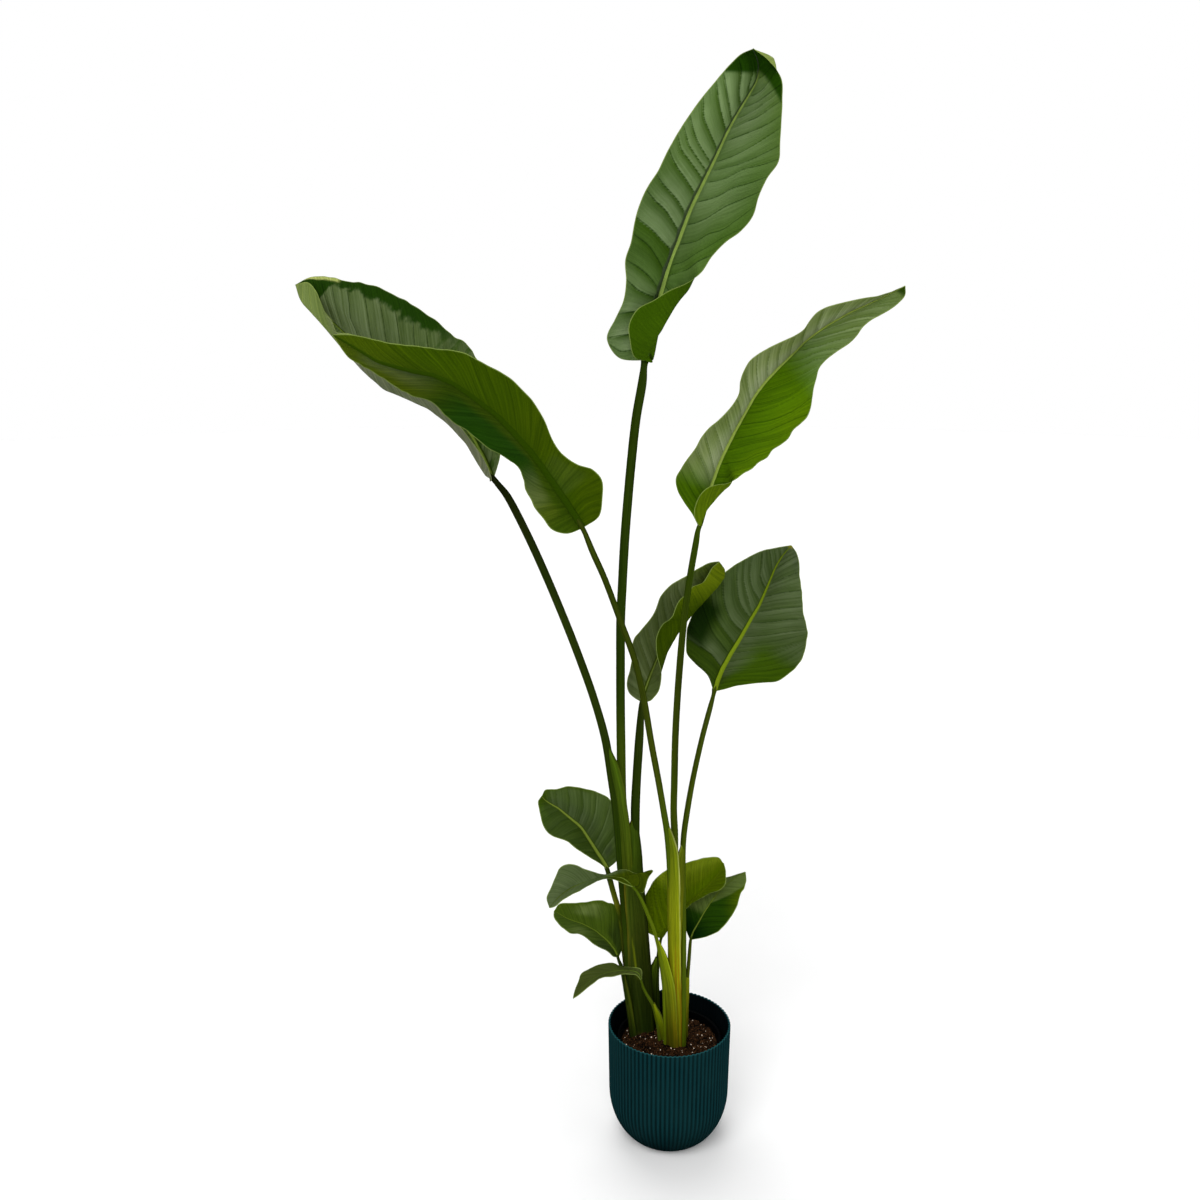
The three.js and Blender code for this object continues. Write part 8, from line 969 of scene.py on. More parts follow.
# adaxial: which way the upper side faces, seen from the front (1 towards the viewer, -1 away)
LEAF = {
    "a": dict(adaxial=1, nu=250, nv=32, pleat=31.0, amp=3.2, left=1.2, right=0.65, wave=1.6, rib=9.0, line=0.21, channel=0.55, up=(0.038, 0.092, 0.0020), un=(0.034, 0.078, 0.0010), ribc=(0.27, 0.39, 0.075), bands=(1.5, 0.0), rib_shade=(0.5, 0.48, 0.62), rib_shade_grey=0.030, veiny=1.1, pleat_shadeL=0.8, pleat_shadeR=0.36, painted_sheen=(0.066, 0.062), sheen_tint=(1.0, 1.12, 0.80), pl=[0.9, 0.9, 0.9, 0.9, 0.75, 0.30, 0.15], pr=[0.5, 0.5, 0.35, 0.55, 0.8], slant=0.66, bend=0.7, lined=0.45, seed=1),
    "b": dict(adaxial=1, nu=220, nv=32, pleat=24.0, amp=1.1, wave=2.2, rib=6.0, line=0.4, up=(0.032, 0.064, 0.0010), un=(0.120, 0.138, 0.070), ribc=(0.16, 0.23, 0.03), veiny=1.2, painted_sheen=(0.062, 0.03), dust_and_sheen=(0.0, 0.05), pleat_shadeL=0.25, slant=0.5, seed=2),
    "c": dict(adaxial=-1, nu=220, nv=30, pleat=17.0, amp=0.9, wave=2.0, rib=5.2, up=(0.055, 0.110, 0.0025), un=(0.030, 0.060, 0.0001), ribc=(0.16, 0.22, 0.03), ribu=(0.020, 0.046, 0.0003), veiny=0.9, dust_and_sheen=(0.004, 0.022), slant=0.9, seed=3),
    "d": dict(adaxial=1, nu=240, nv=30, pleat=18.0, amp=1.35, left=0.9, wave=1.2, rib=4.6, ribfade=0.45, line=0.62, channel=0.3, up=(0.050, 0.112, 0.0003), un=(0.084, 0.140, 0.002), ribc=(0.30, 0.40, 0.07), bands=(0.0, 1.1), rib_shade=(0.6, 0.62, 0.6), veiny=0.75, pleat_shadeL=0.30, pleat_shadeR=0.45, painted_sheen=(0.068, 0.072), slant=0.85, seed=4),
    "e": dict(adaxial=1, nu=170, nv=28, pleat=14.0, amp=0.9, wave=1.4, rib=4.0, line=0.3, up=(0.040, 0.066, 0.0006), un=(0.030, 0.056, 0.0001), ribc=(0.14, 0.19, 0.03), veiny=0.6, painted_sheen=(0.036, 0.024), pleat_shadeL=0.35, slant=0.8, seed=5),
    "f": dict(adaxial=1, nu=190, nv=32, pleat=17.0, amp=1.3, wave=2.0, rib=6.4, line=0.66, channel=0.15, up=(0.027, 0.056, 0.0006), un=(0.05, 0.10, 0.002), ribc=(0.19, 0.27, 0.008), bands=(1.1, 0.0), rib_shade=(0.5, 0.6, 0.4), veiny=0.7, pleat_shadeL=0.55, pleat_shadeR=0.40, painted_sheen=(0.030, 0.040), pl=[0.05, 0.05, 0.9, 0.25, 0.6, 0.9, 1.0, 1.0], pr=[0.1, 0.15, 0.7, 0.75, 0.7, 0.6, 0.9, 1.0], slant=0.5, seed=6),
    "g": dict(adaxial=1, nu=120, nv=22, pleat=12.0, amp=0.55, wave=1.4, rib=5.0, line=0.62, ribfade=0.6, up=(0.028, 0.056, 0.0010), un=(0.05, 0.10, 0.002), ribc=(0.185, 0.250, 0.030), veiny=0.6, pleat_shadeL=0.3, pleat_shadeR=0.4, painted_sheen=(0.004, 0.019), slant=0.6, seed=7),
    "h": dict(adaxial=1, nu=110, nv=22, pleat=10.0, amp=0.8, wave=1.4, rib=2.6, line=0.5, up=(0.032, 0.062, 0.0010), un=(0.036, 0.070, 0.002), ribc=(0.12, 0.18, 0.02), painted_sheen=(0.042, 0.046), slant=0.7, seed=8),
    "i": dict(adaxial=1, nu=110, nv=22, pleat=11.0, amp=1.1, wave=1.4, rib=3.0, line=0.5, up=(0.050, 0.090, 0.0006), un=(0.05, 0.10, 0.002), ribc=(0.15, 0.22, 0.02), painted_sheen=(0.004, 0.000), slant=0.6, seed=9),
    "j": dict(adaxial=1, nu=100, nv=20, pleat=10.0, amp=0.7, wave=1.0, rib=2.1, line=0.5, up=(0.038, 0.058, 0.0015), un=(0.036, 0.070, 0.002), ribc=(0.10, 0.16, 0.02), painted_sheen=(0.010, 0.008), slant=0.6, seed=10),
    "k": dict(adaxial=-1, nu=110, nv=22, pleat=11.0, amp=1.2, wave=1.3, rib=3.0, up=(0.045, 0.09, 0.0025), un=(0.068, 0.112, 0.0001), ribc=(0.12, 0.18, 0.02), ribu=(0.060, 0.092, 0.0005), slant=0.6, seed=11),
    "l": dict(adaxial=1, nu=110, nv=22, pleat=12.0, amp=0.8, wave=1.2, rib=2.6, line=0.5, up=(0.052, 0.088, 0.0008), un=(0.045, 0.08, 0.002), ribc=(0.13, 0.18, 0.02), painted_sheen=(0.022, 0.022), slant=0.6, seed=12),
}


def blade_surface(G, nu, nv, power=1.4):
    n = len(G)
    u = np.linspace(0, 1, nu + 1)
    rows = cr(G, u * (n - 1))                         # (nu+1, 7, 3)
    v = np.linspace(0, 1, nv + 1) ** power
    left = cr(np.swapaxes(rows[:, :4], 0, 1), 3 - 3 * v[::-1])    # from the margin to the midrib
    right = cr(np.swapaxes(rows[:, 3:], 0, 1), 3 * v)
    S = np.concatenate([left, right[1:]])             # (2nv+1, nu+1, 3)
    return np.swapaxes(S, 0, 1), u, v


def build_blade(key, G, P):
    nu, nv = P["nu"], P["nv"]
    G = np.array(G, float)
    S, u, v = blade_surface(G, nu, nv)
    mid = nv
    rng = np.random.default_rng(P["seed"])
    du = np.gradient(S, axis=0)
    dv = np.gradient(S, axis=1)
    N = unit(np.cross(dv, du))
    # the upper side's normal: the average over the outer two thirds looks at the viewer or away
    toward = -(N[nu // 3:, :, 1].mean() * 0.974 - N[nu // 3:, :, 2].mean() * 0.227)
    sign = 1.0 if toward * P["adaxial"] > 0 else -1.0
    N = N * sign
    seg = np.linalg.norm(np.diff(S, axis=1), axis=2)
    d = np.zeros(S.shape[:2])
    d[:, mid + 1:] = np.cumsum(seg[:, mid:], axis=1)
    d[:, :mid] = np.cumsum(seg[:, :mid][:, ::-1], axis=1)[:, ::-1]
    w = np.zeros_like(d)
    w[:, mid:] = d[:, -1:]
    w[:, :mid] = d[:, :1]
    t = d / np.maximum(w, 1e-6)
    side = np.sign(np.arange(2 * nv + 1) - mid)[None, :] * np.ones_like(d)
    lm = np.concatenate([[0], np.cumsum(np.linalg.norm(np.diff(S[:, mid], axis=0), axis=1))])
    Lt = lm[-1]
    lm2 = lm[:, None] * np.ones_like(d)
    jit = Waves(P["seed"] + 50, 3, 0.02)
    ramp = smooth(0.0, 0.22, lm2 / Lt)
    bend = np.where(side < 0, P.get("bendl", P.get("bend", 0.6)), P.get("bendr", P.get("bend", 0.6)))
    slant = np.where(side < 0, P.get("slantl", P["slant"]), P.get("slantr", P["slant"]))
    q = lm2 - ramp * (slant * d * (0.72 + 0.34 * t) + bend * 14.0 * (1 - np.exp(-d / 14.0)))
    ph = q / P["pleat"] + 0.3 * jit(q, side * 40) + np.where(side > 0, 0.37, 0.0)
    for which, veins in VEINS.get(key, {}).items():
        q2, p2 = along_veins(veins, lm2, d, P["pleat"])
        here = side < 0 if which == "L" else side >= 0
        q = np.where(here, q2, q)
        ph = np.where(here, p2, ph)
    saw = np.sqrt(np.sin(math.pi * ph) ** 2 + 0.005)
    env = smooth(0.0, 0.12, t) * (1 - 0.7 * smooth(0.6, 1.0, t)) * smooth(0.0, 0.10, lm2 / Lt) * (1 - smooth(0.90, 1.0, lm2 / Lt))
    env = env * calm(key, lm2 / Lt, t, side)
    wide = np.clip(w / (0.6 * w.max()), 0, 1)
    var = 0.85 + 0.3 * jit(q * 1.7 + 9, side * 70)
    lr = np.where(side < 0, P.get("left", 1.0), P.get("right", 1.0))
    h = P["amp"] * var * lr * (saw - 0.64) * env * wide
    still = calm(key, lm2 / Lt, t, side)
    h += 0.10 * P["amp"] * np.sin(2 * math.pi * q / 7.3) * smooth(0.1, 0.3, t) * (1 - smooth(0.7, 1.0, t)) * wide * still
    wav = Waves(P["seed"] + 90, 2, 2 * math.pi / 95.0, 0.55)
    h += P["wave"] * t ** 2.2 * wav(lm2 - 0.5 * d, side * 300) * wide * still * (1 - smooth(0.9, 1.0, lm2 / Lt))
    h += P["wave"] * 0.35 * t ** 4 * np.sin(2 * math.pi * (lm2 - 0.5 * d) / 27.0 + 2 * jit(lm2 * 2, side * 9)) * wide * still * (1 - smooth(0.85, 1.0, lm2 / Lt))
    # midrib: a shallow channel above, a round rib below that fades towards the tip
    fade = (1 - lm2 / Lt)
    mw = np.minimum(P["rib"] * (0.12 + 0.88 * fade ** P.get("ribfade", 0.8)), 0.8 * np.maximum(w, 0.8))
    rw = mw * P.get("line", 0.5)
    h -= P.get("channel", 0.3) * mw * np.exp(-(d / (0.8 * mw)) ** 2)
    rib = P["rib"] * (0.10 + 0.9 * fade ** 0.9)
    rib = np.minimum(rib, 1.3 * mw)
    thick = 0.55 - 0.25 * t + rib * np.sqrt(np.clip(1 - (d / (1.02 * mw)) ** 2, 0, 1))
    T = S + N * h[..., None]
    B = T - N * thick[..., None]
    rows, cols = S.shape[:2]
    V = np.concatenate([T.reshape(-1, 3), B.reshape(-1, 3)])
    m = rows * cols
    flip = sign < 0
    # cross(dv, du) is the winding (column, row)
    top = grid_faces(rows, cols, 0, flip)
    bot = grid_faces(rows, cols, m, not flip)
    ring = np.concatenate([np.arange(cols), np.arange(1, rows) * cols + cols - 1,
                           (rows - 1) * cols + np.arange(cols - 2, -1, -1), np.arange(rows - 2, 0, -1) * cols])
    nxt = np.roll(ring, -1)
    rim = np.stack([ring, ring + m, nxt + m, nxt], -1)
    if flip:
        rim = rim[:, ::-1]
    F = np.concatenate([top, bot, rim])
    idx = np.concatenate([np.zeros(len(top)), np.ones(len(bot)), np.zeros(len(rim))])
    # large-scale colour
    patch = Waves(P["seed"] + 7, 3, 0.018)
    k = 1 + 0.13 * patch(q, d * side)
    up = np.array(P["up"])[None, None] * k[..., None]
    un = np.array(P["un"])[None, None] * k[..., None]
    up = paint(key, up, lm2 / Lt, t, side, True)
    un = paint(key, un, lm2 / Lt, t, side, False)
    gl_up, gl_un = gloss(key, lm2 / Lt, t, side)
    ribup = np.array(P["ribc"])[None, None] * (0.75 + 0.25 * fade[..., None]) * np.ones_like(up)
    if key == "a":
        # painted shade: the midrib turns dark inside the hooded tip
        end = smooth(0.885, 0.93, lm2 / Lt)[..., None]
        ribup = ribup * (1 - end) + np.array((0.016, 0.040, 0.002)) * end
    ribun = np.array(P.get("ribu", np.array(P["un"]) * 0.62))[None, None] * np.ones_like(up)
    bands = P.get("bands", (1.0, 1.0))        # how much of the painted shade on the channel wall shows left and right of the pale line
    bw = np.where(side < 0, mw * bands[0], mw * bands[1])
    bw = np.maximum(bw, rw)
    rib_shade_col = up * np.array(P.get("rib_shade", (0.75, 0.78, 0.95)))[None, None]
    veiny = P.get("veiny", 0.7) * fadeveins(key, lm2 / Lt, t, side)
    zone = (smooth(0.0, 0.1, t) * (1 - smooth(0.75, 1.0, t)) * env)
    part = ph - np.floor(ph)                  # 0 just past a vein, 1 just before the next
    k0 = np.clip(np.floor(ph).astype(int) + 1, 0, 39)
    each = np.ones((2, 40))                   # how much painted sheen each pleat gets, the first one below the first vein
    for row, name in ((0, "pl"), (1, "pr")):
        vals = P.get(name, [])
        each[row, :len(vals)] = vals
    pleat_shine = np.where(side < 0, each[0][k0], each[1][k0])
    # painted light and shade across each pleat: on the left lighter just past a vein and darker before the next, on
    # the right the other way round
    pleat_shading = np.where(side < 0, P.get("pleat_shadeL", 0.0) * (0.5 - part), P.get("pleat_shadeR", 0.0) * (part - 0.5)) * np.clip(env * 1.3, 0, 1)
    mottle = 1 + 0.16 * Waves(P["seed"] + 31, 4, 0.05)(lm2 * 0.6 + 7, d * side)
    # painted sheen: grey added to the upper colour where the leaf shines, scaled per pleat and by the pleat shading
    painted_sheen = np.where(side < 0, P.get("painted_sheen", (0.03, 0.03))[0] + 0.006, P.get("painted_sheen", (0.03, 0.03))[1] + 0.006) * gl_up * pleat_shine * (1 + 2.4 * pleat_shading) * mottle
    up = up * (1 + 0.35 * pleat_shading)[..., None] + np.maximum(painted_sheen, 0)[..., None] * np.array(P.get("sheen_tint", (1.0, 1.03, 0.88)))
    # painted sheen on the underside: grey added where the underside shines
    under_sheen = np.where(side < 0, P.get("dust_and_sheen", (0.0, 0.0))[0], P.get("dust_and_sheen", (0.0, 0.0))[1]) * gl_un * mottle
    if key == "k":
        near = np.abs(part - 0.5) * 2             # 1 on a vein
        un = un * (1 - 0.38 * smooth(0.70, 0.98, near) * smooth(0.1, 0.3, t))[..., None]
    un = un + np.maximum(under_sheen, 0)[..., None] * np.array((1.0, 1.0, 0.97))
    rib_shade_col = rib_shade_col + P.get("rib_shade_grey", 0.0)
    gl_up = np.clip(gl_up + 0.5 * pleat_shading, 0, 1)
    two = lambda a, b: np.concatenate([a.reshape(-1, *a.shape[2:]), b.reshape(-1, *b.shape[2:])])
    lined = P.get("lined", 1.0) * np.ones_like(q)
    attrs = dict(q=two(q, q), lined=two(lined, lined), dm=two(d, d), tt=two(t, t), ph=two(ph, ph), mw=two(mw, mw), rw=two(rw, rw * 1.6), bw=two(bw, bw), em=two(w - d, w - d), veiny=two(veiny, veiny), rib_shade_col=two(rib_shade_col, un), gloss=two(gl_up, gl_un), tint=two(up, un), ribc=two(ribup, ribun))
    ob = make(f"blade_{key}", V, F, [UPPER, UNDER], idx, attrs)
    return ob, T, N


def through(vein):
    """A smooth curve through the points of one vein, that never turns back; straight beyond its ends."""
    pts = [tuple(vein[0])]
    for p in vein[1:]:
        if p[1] > pts[-1][1] + 1.5:
            pts.append(tuple(p))
    a = np.array(pts, float)
    y, x = a[:, 0], a[:, 1]
    if len(x) == 1:
        return lambda q: y[0] + 0 * np.asarray(q, float)
    h = np.diff(x)
    g = np.diff(y) / h
    m = np.empty(len(x))
    for k in range(1, len(x) - 1):
        m[k] = 0.0 if g[k - 1] * g[k] <= 0 else 2 * g[k - 1] * g[k] / (g[k - 1] + g[k])
    m[0] = np.clip(1.25 * g[0] - 0.25 * (g[1] if len(g) > 1 else g[0]), -0.3, 2.6)
    m[-1] = np.clip(g[-1], -1.0, 3.0)

    def f(q):
        q = np.asarray(q, float)
        k = np.clip(np.searchsorted(x, q) - 1, 0, len(h) - 1)
        w = np.clip((q - x[k]) / h[k], 0, 1)
        c = y[k] * (2 * w ** 3 - 3 * w ** 2 + 1) + y[k + 1] * (3 * w ** 2 - 2 * w ** 3)
        c = c + h[k] * (m[k] * (w ** 3 - 2 * w ** 2 + w) + m[k + 1] * (w ** 3 - w ** 2))
        return c + m[0] * np.minimum(q - x[0], 0) + m[-1] * np.maximum(q - x[-1], 0)
    return f


def along_veins(veins, s, d, pleat):
    """For a point s mm along the midrib and d mm out: where its fine vein leaves the midrib, and a phase
    that is a whole number on each main vein."""
    rows, start = [], []
    for v in veins:
        f = through(v)
        rows.append(f(d))
        start.append(float(f(np.array(0.0))))
    S = np.array(rows)
    for k in range(1, len(S)):
        S[k] = np.maximum(S[k], S[k - 1] + 3.0)
    start = np.maximum.accumulate(np.array(start) + np.arange(len(start)) * 1e-3)
    ph = np.minimum((s - S[0]) / pleat, 0.0)
    q = start[0] + np.minimum(s - S[0], 0.0)
    for k in range(len(S) - 1):
        part = np.clip((s - S[k]) / (S[k + 1] - S[k]), 0, 1)
        ph = ph + part
        q = q + part * (start[k + 1] - start[k])
    ph = ph + np.maximum((s - S[-1]) / pleat, 0.0)
    q = q + np.maximum(s - S[-1], 0.0)
    return q, ph


def calm(key, u, t, side):
    """Where the pleats lie flat."""
    R = 1.0 * (side >= 0)
    f = np.ones_like(u)
    if key == "a":
        f = f * (1 - 0.92 * R * (1 - smooth(0.30, 0.42, u)) * smooth(0.12, 0.4, t))
    if key == "d":
        f = f * (1 - 0.9 * R * (1 - smooth(0.16, 0.26, u)) * smooth(0.12, 0.4, t))
    if key == "e":
        f = f * (1 - 0.85 * R * smooth(0.2, 0.5, t))
    if key == "b":
        f = f * (1 - 0.9 * R * smooth(0.2, 0.5, t))
    return f


def fadeveins(key, u, t, side):
    """Where the main veins stop showing."""
    R = 1.0 * (side >= 0)
    L = 1.0 - R
    f = 1 - 0.35 * smooth(0.8, 1.0, t)
    if key == "a":
        f = f * (1 - R * (1 - smooth(0.30, 0.36, u)) * smooth(0.12, 0.4, t)) * (1 - 0.6 * smooth(0.90, 0.93, u))
    if key == "b":
        f = f * (1 - L * smooth(0.62, 0.8, t))
    if key == "c":
        f = f * (0.45 + 0.55 * smooth(0.5, 0.75, u))
    return f


def paint(key, c, u, t, side, upper):
    """Where one leaf is lighter, darker or yellower than the rest of it; some of these marks are painted light,
    painted shade or painted shadow, as said at each.
    """
    c = c.copy()
    L = 1.0 * (side < 0)
    R = 1.0 * (side >= 0)

    def toward(mask, rgb):
        nonlocal c
        mask = np.clip(mask, 0, 1) * np.ones_like(u)
        c = c * (1 - mask[..., None]) + np.array(rgb) * mask[..., None]
    if key == "a" and upper:
        # painted shade: the hooded tip, bent down towards the viewer, is painted dark green
        hood = np.where(side < 0, 0.915 - 0.055 * t, 0.915 - 0.075 * t ** 1.4)
        toward(0.45 * R * smooth(0.3, 1.0, t) * smooth(0.55, 0.8, u), (0.050, 0.105, 0.001))
        toward(0.97 * smooth(-0.006, 0.012, u - hood), (0.010, 0.040, 0.0003))
    if key == "a" and not upper:
        toward(0.9 * R * smooth(0.86, 0.90, u), (0.26, 0.33, 0.09))
    if key == "b" and upper:
        ragged = shade_band_b(u, t)
        # painted shade: a near-black band along the far margin where it curls over
        toward(0.95 * L * smooth(-0.05, 0.05, t - ragged) * smooth(0.36, 0.52, u), (0.009, 0.036, 0.0004))
        toward(0.7 * L * smooth(0.1, 0.7, Waves(63, 4, 1.0)(u * 120, t * 5)) * (1 - smooth(0.40, 0.56, u)), (0.020, 0.056, 0.0010))
        # painted highlight on the curled margin near the tip
        toward(0.95 * L * smooth(0.84, 0.90, t + 0.06 * np.exp(-((u - 0.93) / 0.02) ** 2)) * smooth(0.855, 0.875, u) * (1 - smooth(0.965, 0.98, u)), (0.37, 0.42, 0.13))
        toward(0.9 * L * (1 - smooth(0.02, 0.05, t)) * smooth(0.80, 0.84, u) * (1 - smooth(0.93, 0.95, u)), (0.20, 0.26, 0.06))
    if key == "b" and not upper:
        toward(0.95 * R * smooth(0.74, 0.88, u), (0.120, 0.180, 0.022))
        toward(0.55 * R * smooth(0.25, 0.45, u) * (1 - smooth(0.60, 0.75, u)), (0.075, 0.100, 0.040))
    if key == "c" and not upper:
        toward(0.75 * L * (1 - smooth(0.3, 0.5, u)) * smooth(0.1, 0.5, t), (0.037, 0.066, 0.0002))
        toward(0.7 * R * smooth(0.58, 0.75, u) * smooth(0.1, 0.5, t), (0.066, 0.094, 0.001))
        toward(0.7 * R * smooth(0.06, 0.10, u) * (1 - smooth(0.16, 0.24, u)) * smooth(0.3, 0.6, t), (0.060, 0.090, 0.004))
        # painted shade over the middle of the right half
        toward(0.95 * R * smooth(0.20, 0.30, u) * (1 - smooth(0.52, 0.66, u)) * smooth(0.18, 0.5, t), (0.010, 0.046, 0.0003))
        toward(0.6 * smooth(0.72, 0.9, u), (0.060, 0.096, 0.002))
    if key == "d" and upper:
        toward(0.9 * L * smooth(0.10, 0.2, u), (0.080, 0.124, 0.002))
        # painted sheen: the left half turns grey towards the midrib
        toward(0.8 * L * smooth(0.10, 0.2, u) * (1 - smooth(0.10, 0.75, t)), (0.128, 0.168, 0.062))
        toward(0.7 * L * smooth(0.10, 0.2, u) * smooth(0.45, 0.9, t), (0.058, 0.092, 0.002))
        toward(0.8 * R * smooth(0.62, 0.85, u), (0.066, 0.115, 0.003))
        # painted light: the lower half turns brighter green towards its margin, as if lit through the leaf
        toward(0.45 * R * smooth(0.4, 1.0, t) * (1 - smooth(0.5, 0.62, u)), (0.088, 0.160, 0.0004))
        toward(0.95 * smooth(0.962, 0.975, u + 0.012 * L * t), (0.016, 0.044, 0.0006))
    if key == "e" and not upper:
        # painted light: the folded underside turns bright yellow-green towards the tip, as if lit through the leaf
        toward(0.8 * smooth(0.55, 0.95, u) * (0.6 + 0.4 * t), (0.120, 0.165, 0.004))
    if key == "f" and upper:
        toward(0.8 * smooth(0.968, 1.0, u), (0.35, 0.26, 0.01))
        # painted shadow of leaf e: a near-black patch on the left half
        toward(0.93 * L * smooth(0.42, 0.72, t) * smooth(0.12, 0.2, u) * (1 - smooth(0.38, 0.48, u)), (0.0030, 0.013, 0.0001))
        toward(0.6 * R * smooth(0.1, 0.5, t) * (1 - smooth(0.30, 0.42, u)), (0.036, 0.078, 0.0005))
        toward(0.8 * R * smooth(0.80, 0.90, u) * smooth(0.45, 0.8, t), (0.018, 0.042, 0.0004))
    if key == "g" and upper:
        toward(0.5 * R * smooth(0.2, 0.6, t), (0.044, 0.084, 0.001))
    if key == "h" and upper:
        toward(0.92 * (1 - smooth(0.24, 0.34, u)), (0.036, 0.056, 0.0002))
    if key == "i" and upper:
        toward(0.7 * L, (0.034, 0.066, 0.0006))
        toward(0.5 * R * smooth(0.5, 0.9, t), (0.060, 0.105, 0.001))
        # painted highlights: a pale streak on each half
        toward(0.85 * R * np.exp(-((u - 0.62) / 0.12) ** 2) * smooth(0.25, 0.5, t) * (1 - smooth(0.75, 0.95, t)), (0.130, 0.178, 0.042))
        toward(0.60 * L * np.exp(-((u - 0.55) / 0.10) ** 2) * smooth(0.15, 0.5, t) * (1 - smooth(0.8, 1.0, t)), (0.110, 0.156, 0.034))
        toward(0.85 * (1 - smooth(0.22, 0.40, u)) * smooth(0.1, 0.3, t), (0.018, 0.038, 0.0003))
    if key == "g" and upper:
        toward(0.85 * R * smooth(0.90, 0.96, t) * smooth(0.45, 0.6, u), (0.040, 0.072, 0.0008))
        toward(0.8 * smooth(0.88, 0.97, u), (0.034, 0.064, 0.0006))
        toward(0.7 * L * smooth(0.70, 0.80, u) * (1 - smooth(0.90, 0.96, u)) * smooth(0.4, 0.7, t), (0.034, 0.070, 0.0006))
        toward(0.75 * R * np.exp(-((u - 0.13) / 0.035) ** 2) * smooth(0.18, 0.35, t) * (1 - smooth(0.55, 0.75, t)), (0.014, 0.030, 0.001))
    if key == "l" and upper:
        # painted shadow of leaf k and the stalks: the shaded parts are painted dark green, lighter further out
        out_of_shadow = np.where(side > 0, smooth(0.0, 0.09, (u - 0.44) * 2.2 - t), smooth(0.28, 0.38, u + 0.06 * t))
        dark = np.array((0.001, 0.013, 0.0001))[None, None] * (1 - smooth(0.05, 0.35, u))[..., None] + np.array((0.012, 0.040, 0.0003))[None, None] * smooth(0.05, 0.35, u)[..., None]
        far = smooth(0.40, 0.85, u * (0.6 + 0.55 * t))[..., None]
        dark = dark * (1 - far) + np.array((0.050, 0.084, 0.0005)) * far
        c = c * out_of_shadow[..., None] + dark * (1 - out_of_shadow[..., None])
    if key == "k" and not upper:
        # painted light: a bright yellow-green band, as if lit through the leaf
        toward(0.92 * smooth(0.36, 0.50, u) * smooth(0.42, 0.80, t) * L, (0.215, 0.285, 0.014))
        toward(0.60 * smooth(0.36, 0.50, u) * smooth(0.15, 0.42, t) * L, (0.110, 0.150, 0.004))
        toward(0.50 * L * (1 - smooth(0.20, 0.34, u)), (0.084, 0.130, 0.0004))
        toward(0.6 * (1 - smooth(0.22, 0.34, u)) * smooth(0.15, 0.5, t) * R, (0.026, 0.050, 0.0003))
        toward(0.5 * R * smooth(0.5, 0.8, u), (0.044, 0.066, 0.0006))
    return c


def shade_band_b(u, t):
    """Where the band of painted shade along the far margin of leaf b begins."""
    return 0.76 + 0.07 * Waves(61, 4, 1.0)(u * 70, t * 9) + 0.04 * Waves(62, 4, 1.0)(u * 190, t * 4) + 0.10 * (1 - smooth(0.42, 0.56, u)) - 0.05 * np.exp(-((u - 0.66) / 0.08) ** 2) - 0.85 * smooth(0.872, 0.905, u)


def gloss(key, u, t, side):
    """How much each place shines: it sets the roughness and scales the painted sheen on both sides."""
    L = 1.0 * (side < 0)
    R = 1.0 * (side >= 0)
    up = 0.85 * np.ones_like(u)
    un = 0.25 * np.ones_like(u)
    if key == "a":
        hood = np.where(side < 0, 0.915 - 0.055 * t, 0.915 - 0.075 * t ** 1.4)
        up = up + 0.34 * R * smooth(0.55, 0.75, u) * (1 - smooth(0.86, 0.90, u)) * np.exp(-((t - 0.28) / 0.18) ** 2) - 0.42 * R * smooth(0.5, 1.0, t) * smooth(0.30, 0.5, u) - 0.40 * L * smooth(0.6, 1.0, t) * np.exp(-((u - 0.5) / 0.12) ** 2)
        up = up + 0.6 * L * np.exp(-((u - 0.07) / 0.04) ** 2) * np.exp(-((t - 0.6) / 0.25) ** 2)
        up = up * (1 - smooth(-0.006, 0.012, u - hood))
    if key == "b":
        ragged = shade_band_b(u, t)
        up = up * (0.62 + 0.38 * smooth(0.45, 0.75, u))
        up = up * (1 - 0.99 * L * smooth(-0.05, 0.05, t - ragged) * smooth(0.36, 0.52, u))
        up = up * (1 - 0.75 * L * smooth(0.1, 0.7, Waves(63, 4, 1.0)(u * 120, t * 5)) * (1 - smooth(0.40, 0.56, u)))
        un = un + 0.45
    if key == "c":
        un = 0.10 + 0.9 * R * smooth(0.62, 0.75, u) * (1 - smooth(0.85, 0.92, u)) * (1 - smooth(0.5, 0.9, t))
        un = un + 0.9 * R * smooth(0.10, 0.16, u) * (1 - smooth(0.20, 0.28, u)) * smooth(0.3, 0.7, t)
        un = un + 2.2 * L * smooth(0.11, 0.15, u) * (1 - smooth(0.19, 0.25, u)) * (1 - smooth(0.5, 1.0, t))
    if key == "d":
        up = L * smooth(0.10, 0.2, u) * (1.25 - 0.45 * smooth(0.2, 0.8, t)) + R * (0.0 + 0.70 * smooth(0.54, 0.70, u))
        up = up * (1 - smooth(0.955, 0.98, u))
    if key == "e":
        up = up - 0.6 * smooth(0.75, 0.9, u)
    if key == "f":
        # no painted sheen inside the painted shadow
        up = up * (1 - 0.97 * L * smooth(0.40, 0.70, t) * smooth(0.12, 0.2, u) * (1 - smooth(0.38, 0.48, u)))
        up = up * (1 - 0.95 * R * smooth(0.15, 0.5, t) * (1 - smooth(0.32, 0.46, u)))
    if key == "h":
        up = up * smooth(0.24, 0.36, u)
    if key == "l":
        # no painted sheen inside the painted shadow
        up = up * np.where(side > 0, smooth(0.0, 0.09, (u - 0.44) * 2.2 - t), smooth(0.28, 0.38, u + 0.06 * t))
    if key == "g":
        up = up * (1 - 0.9 * R * smooth(0.88, 0.96, t) * smooth(0.45, 0.6, u)) * (1 - 0.9 * smooth(0.86, 0.95, u))
    return np.clip(up, 0, 1.7) * np.ones_like(u), np.clip(un, 0, 1) * np.ones_like(u)


# ------------------------------------------------------------------ stalks and sheaths

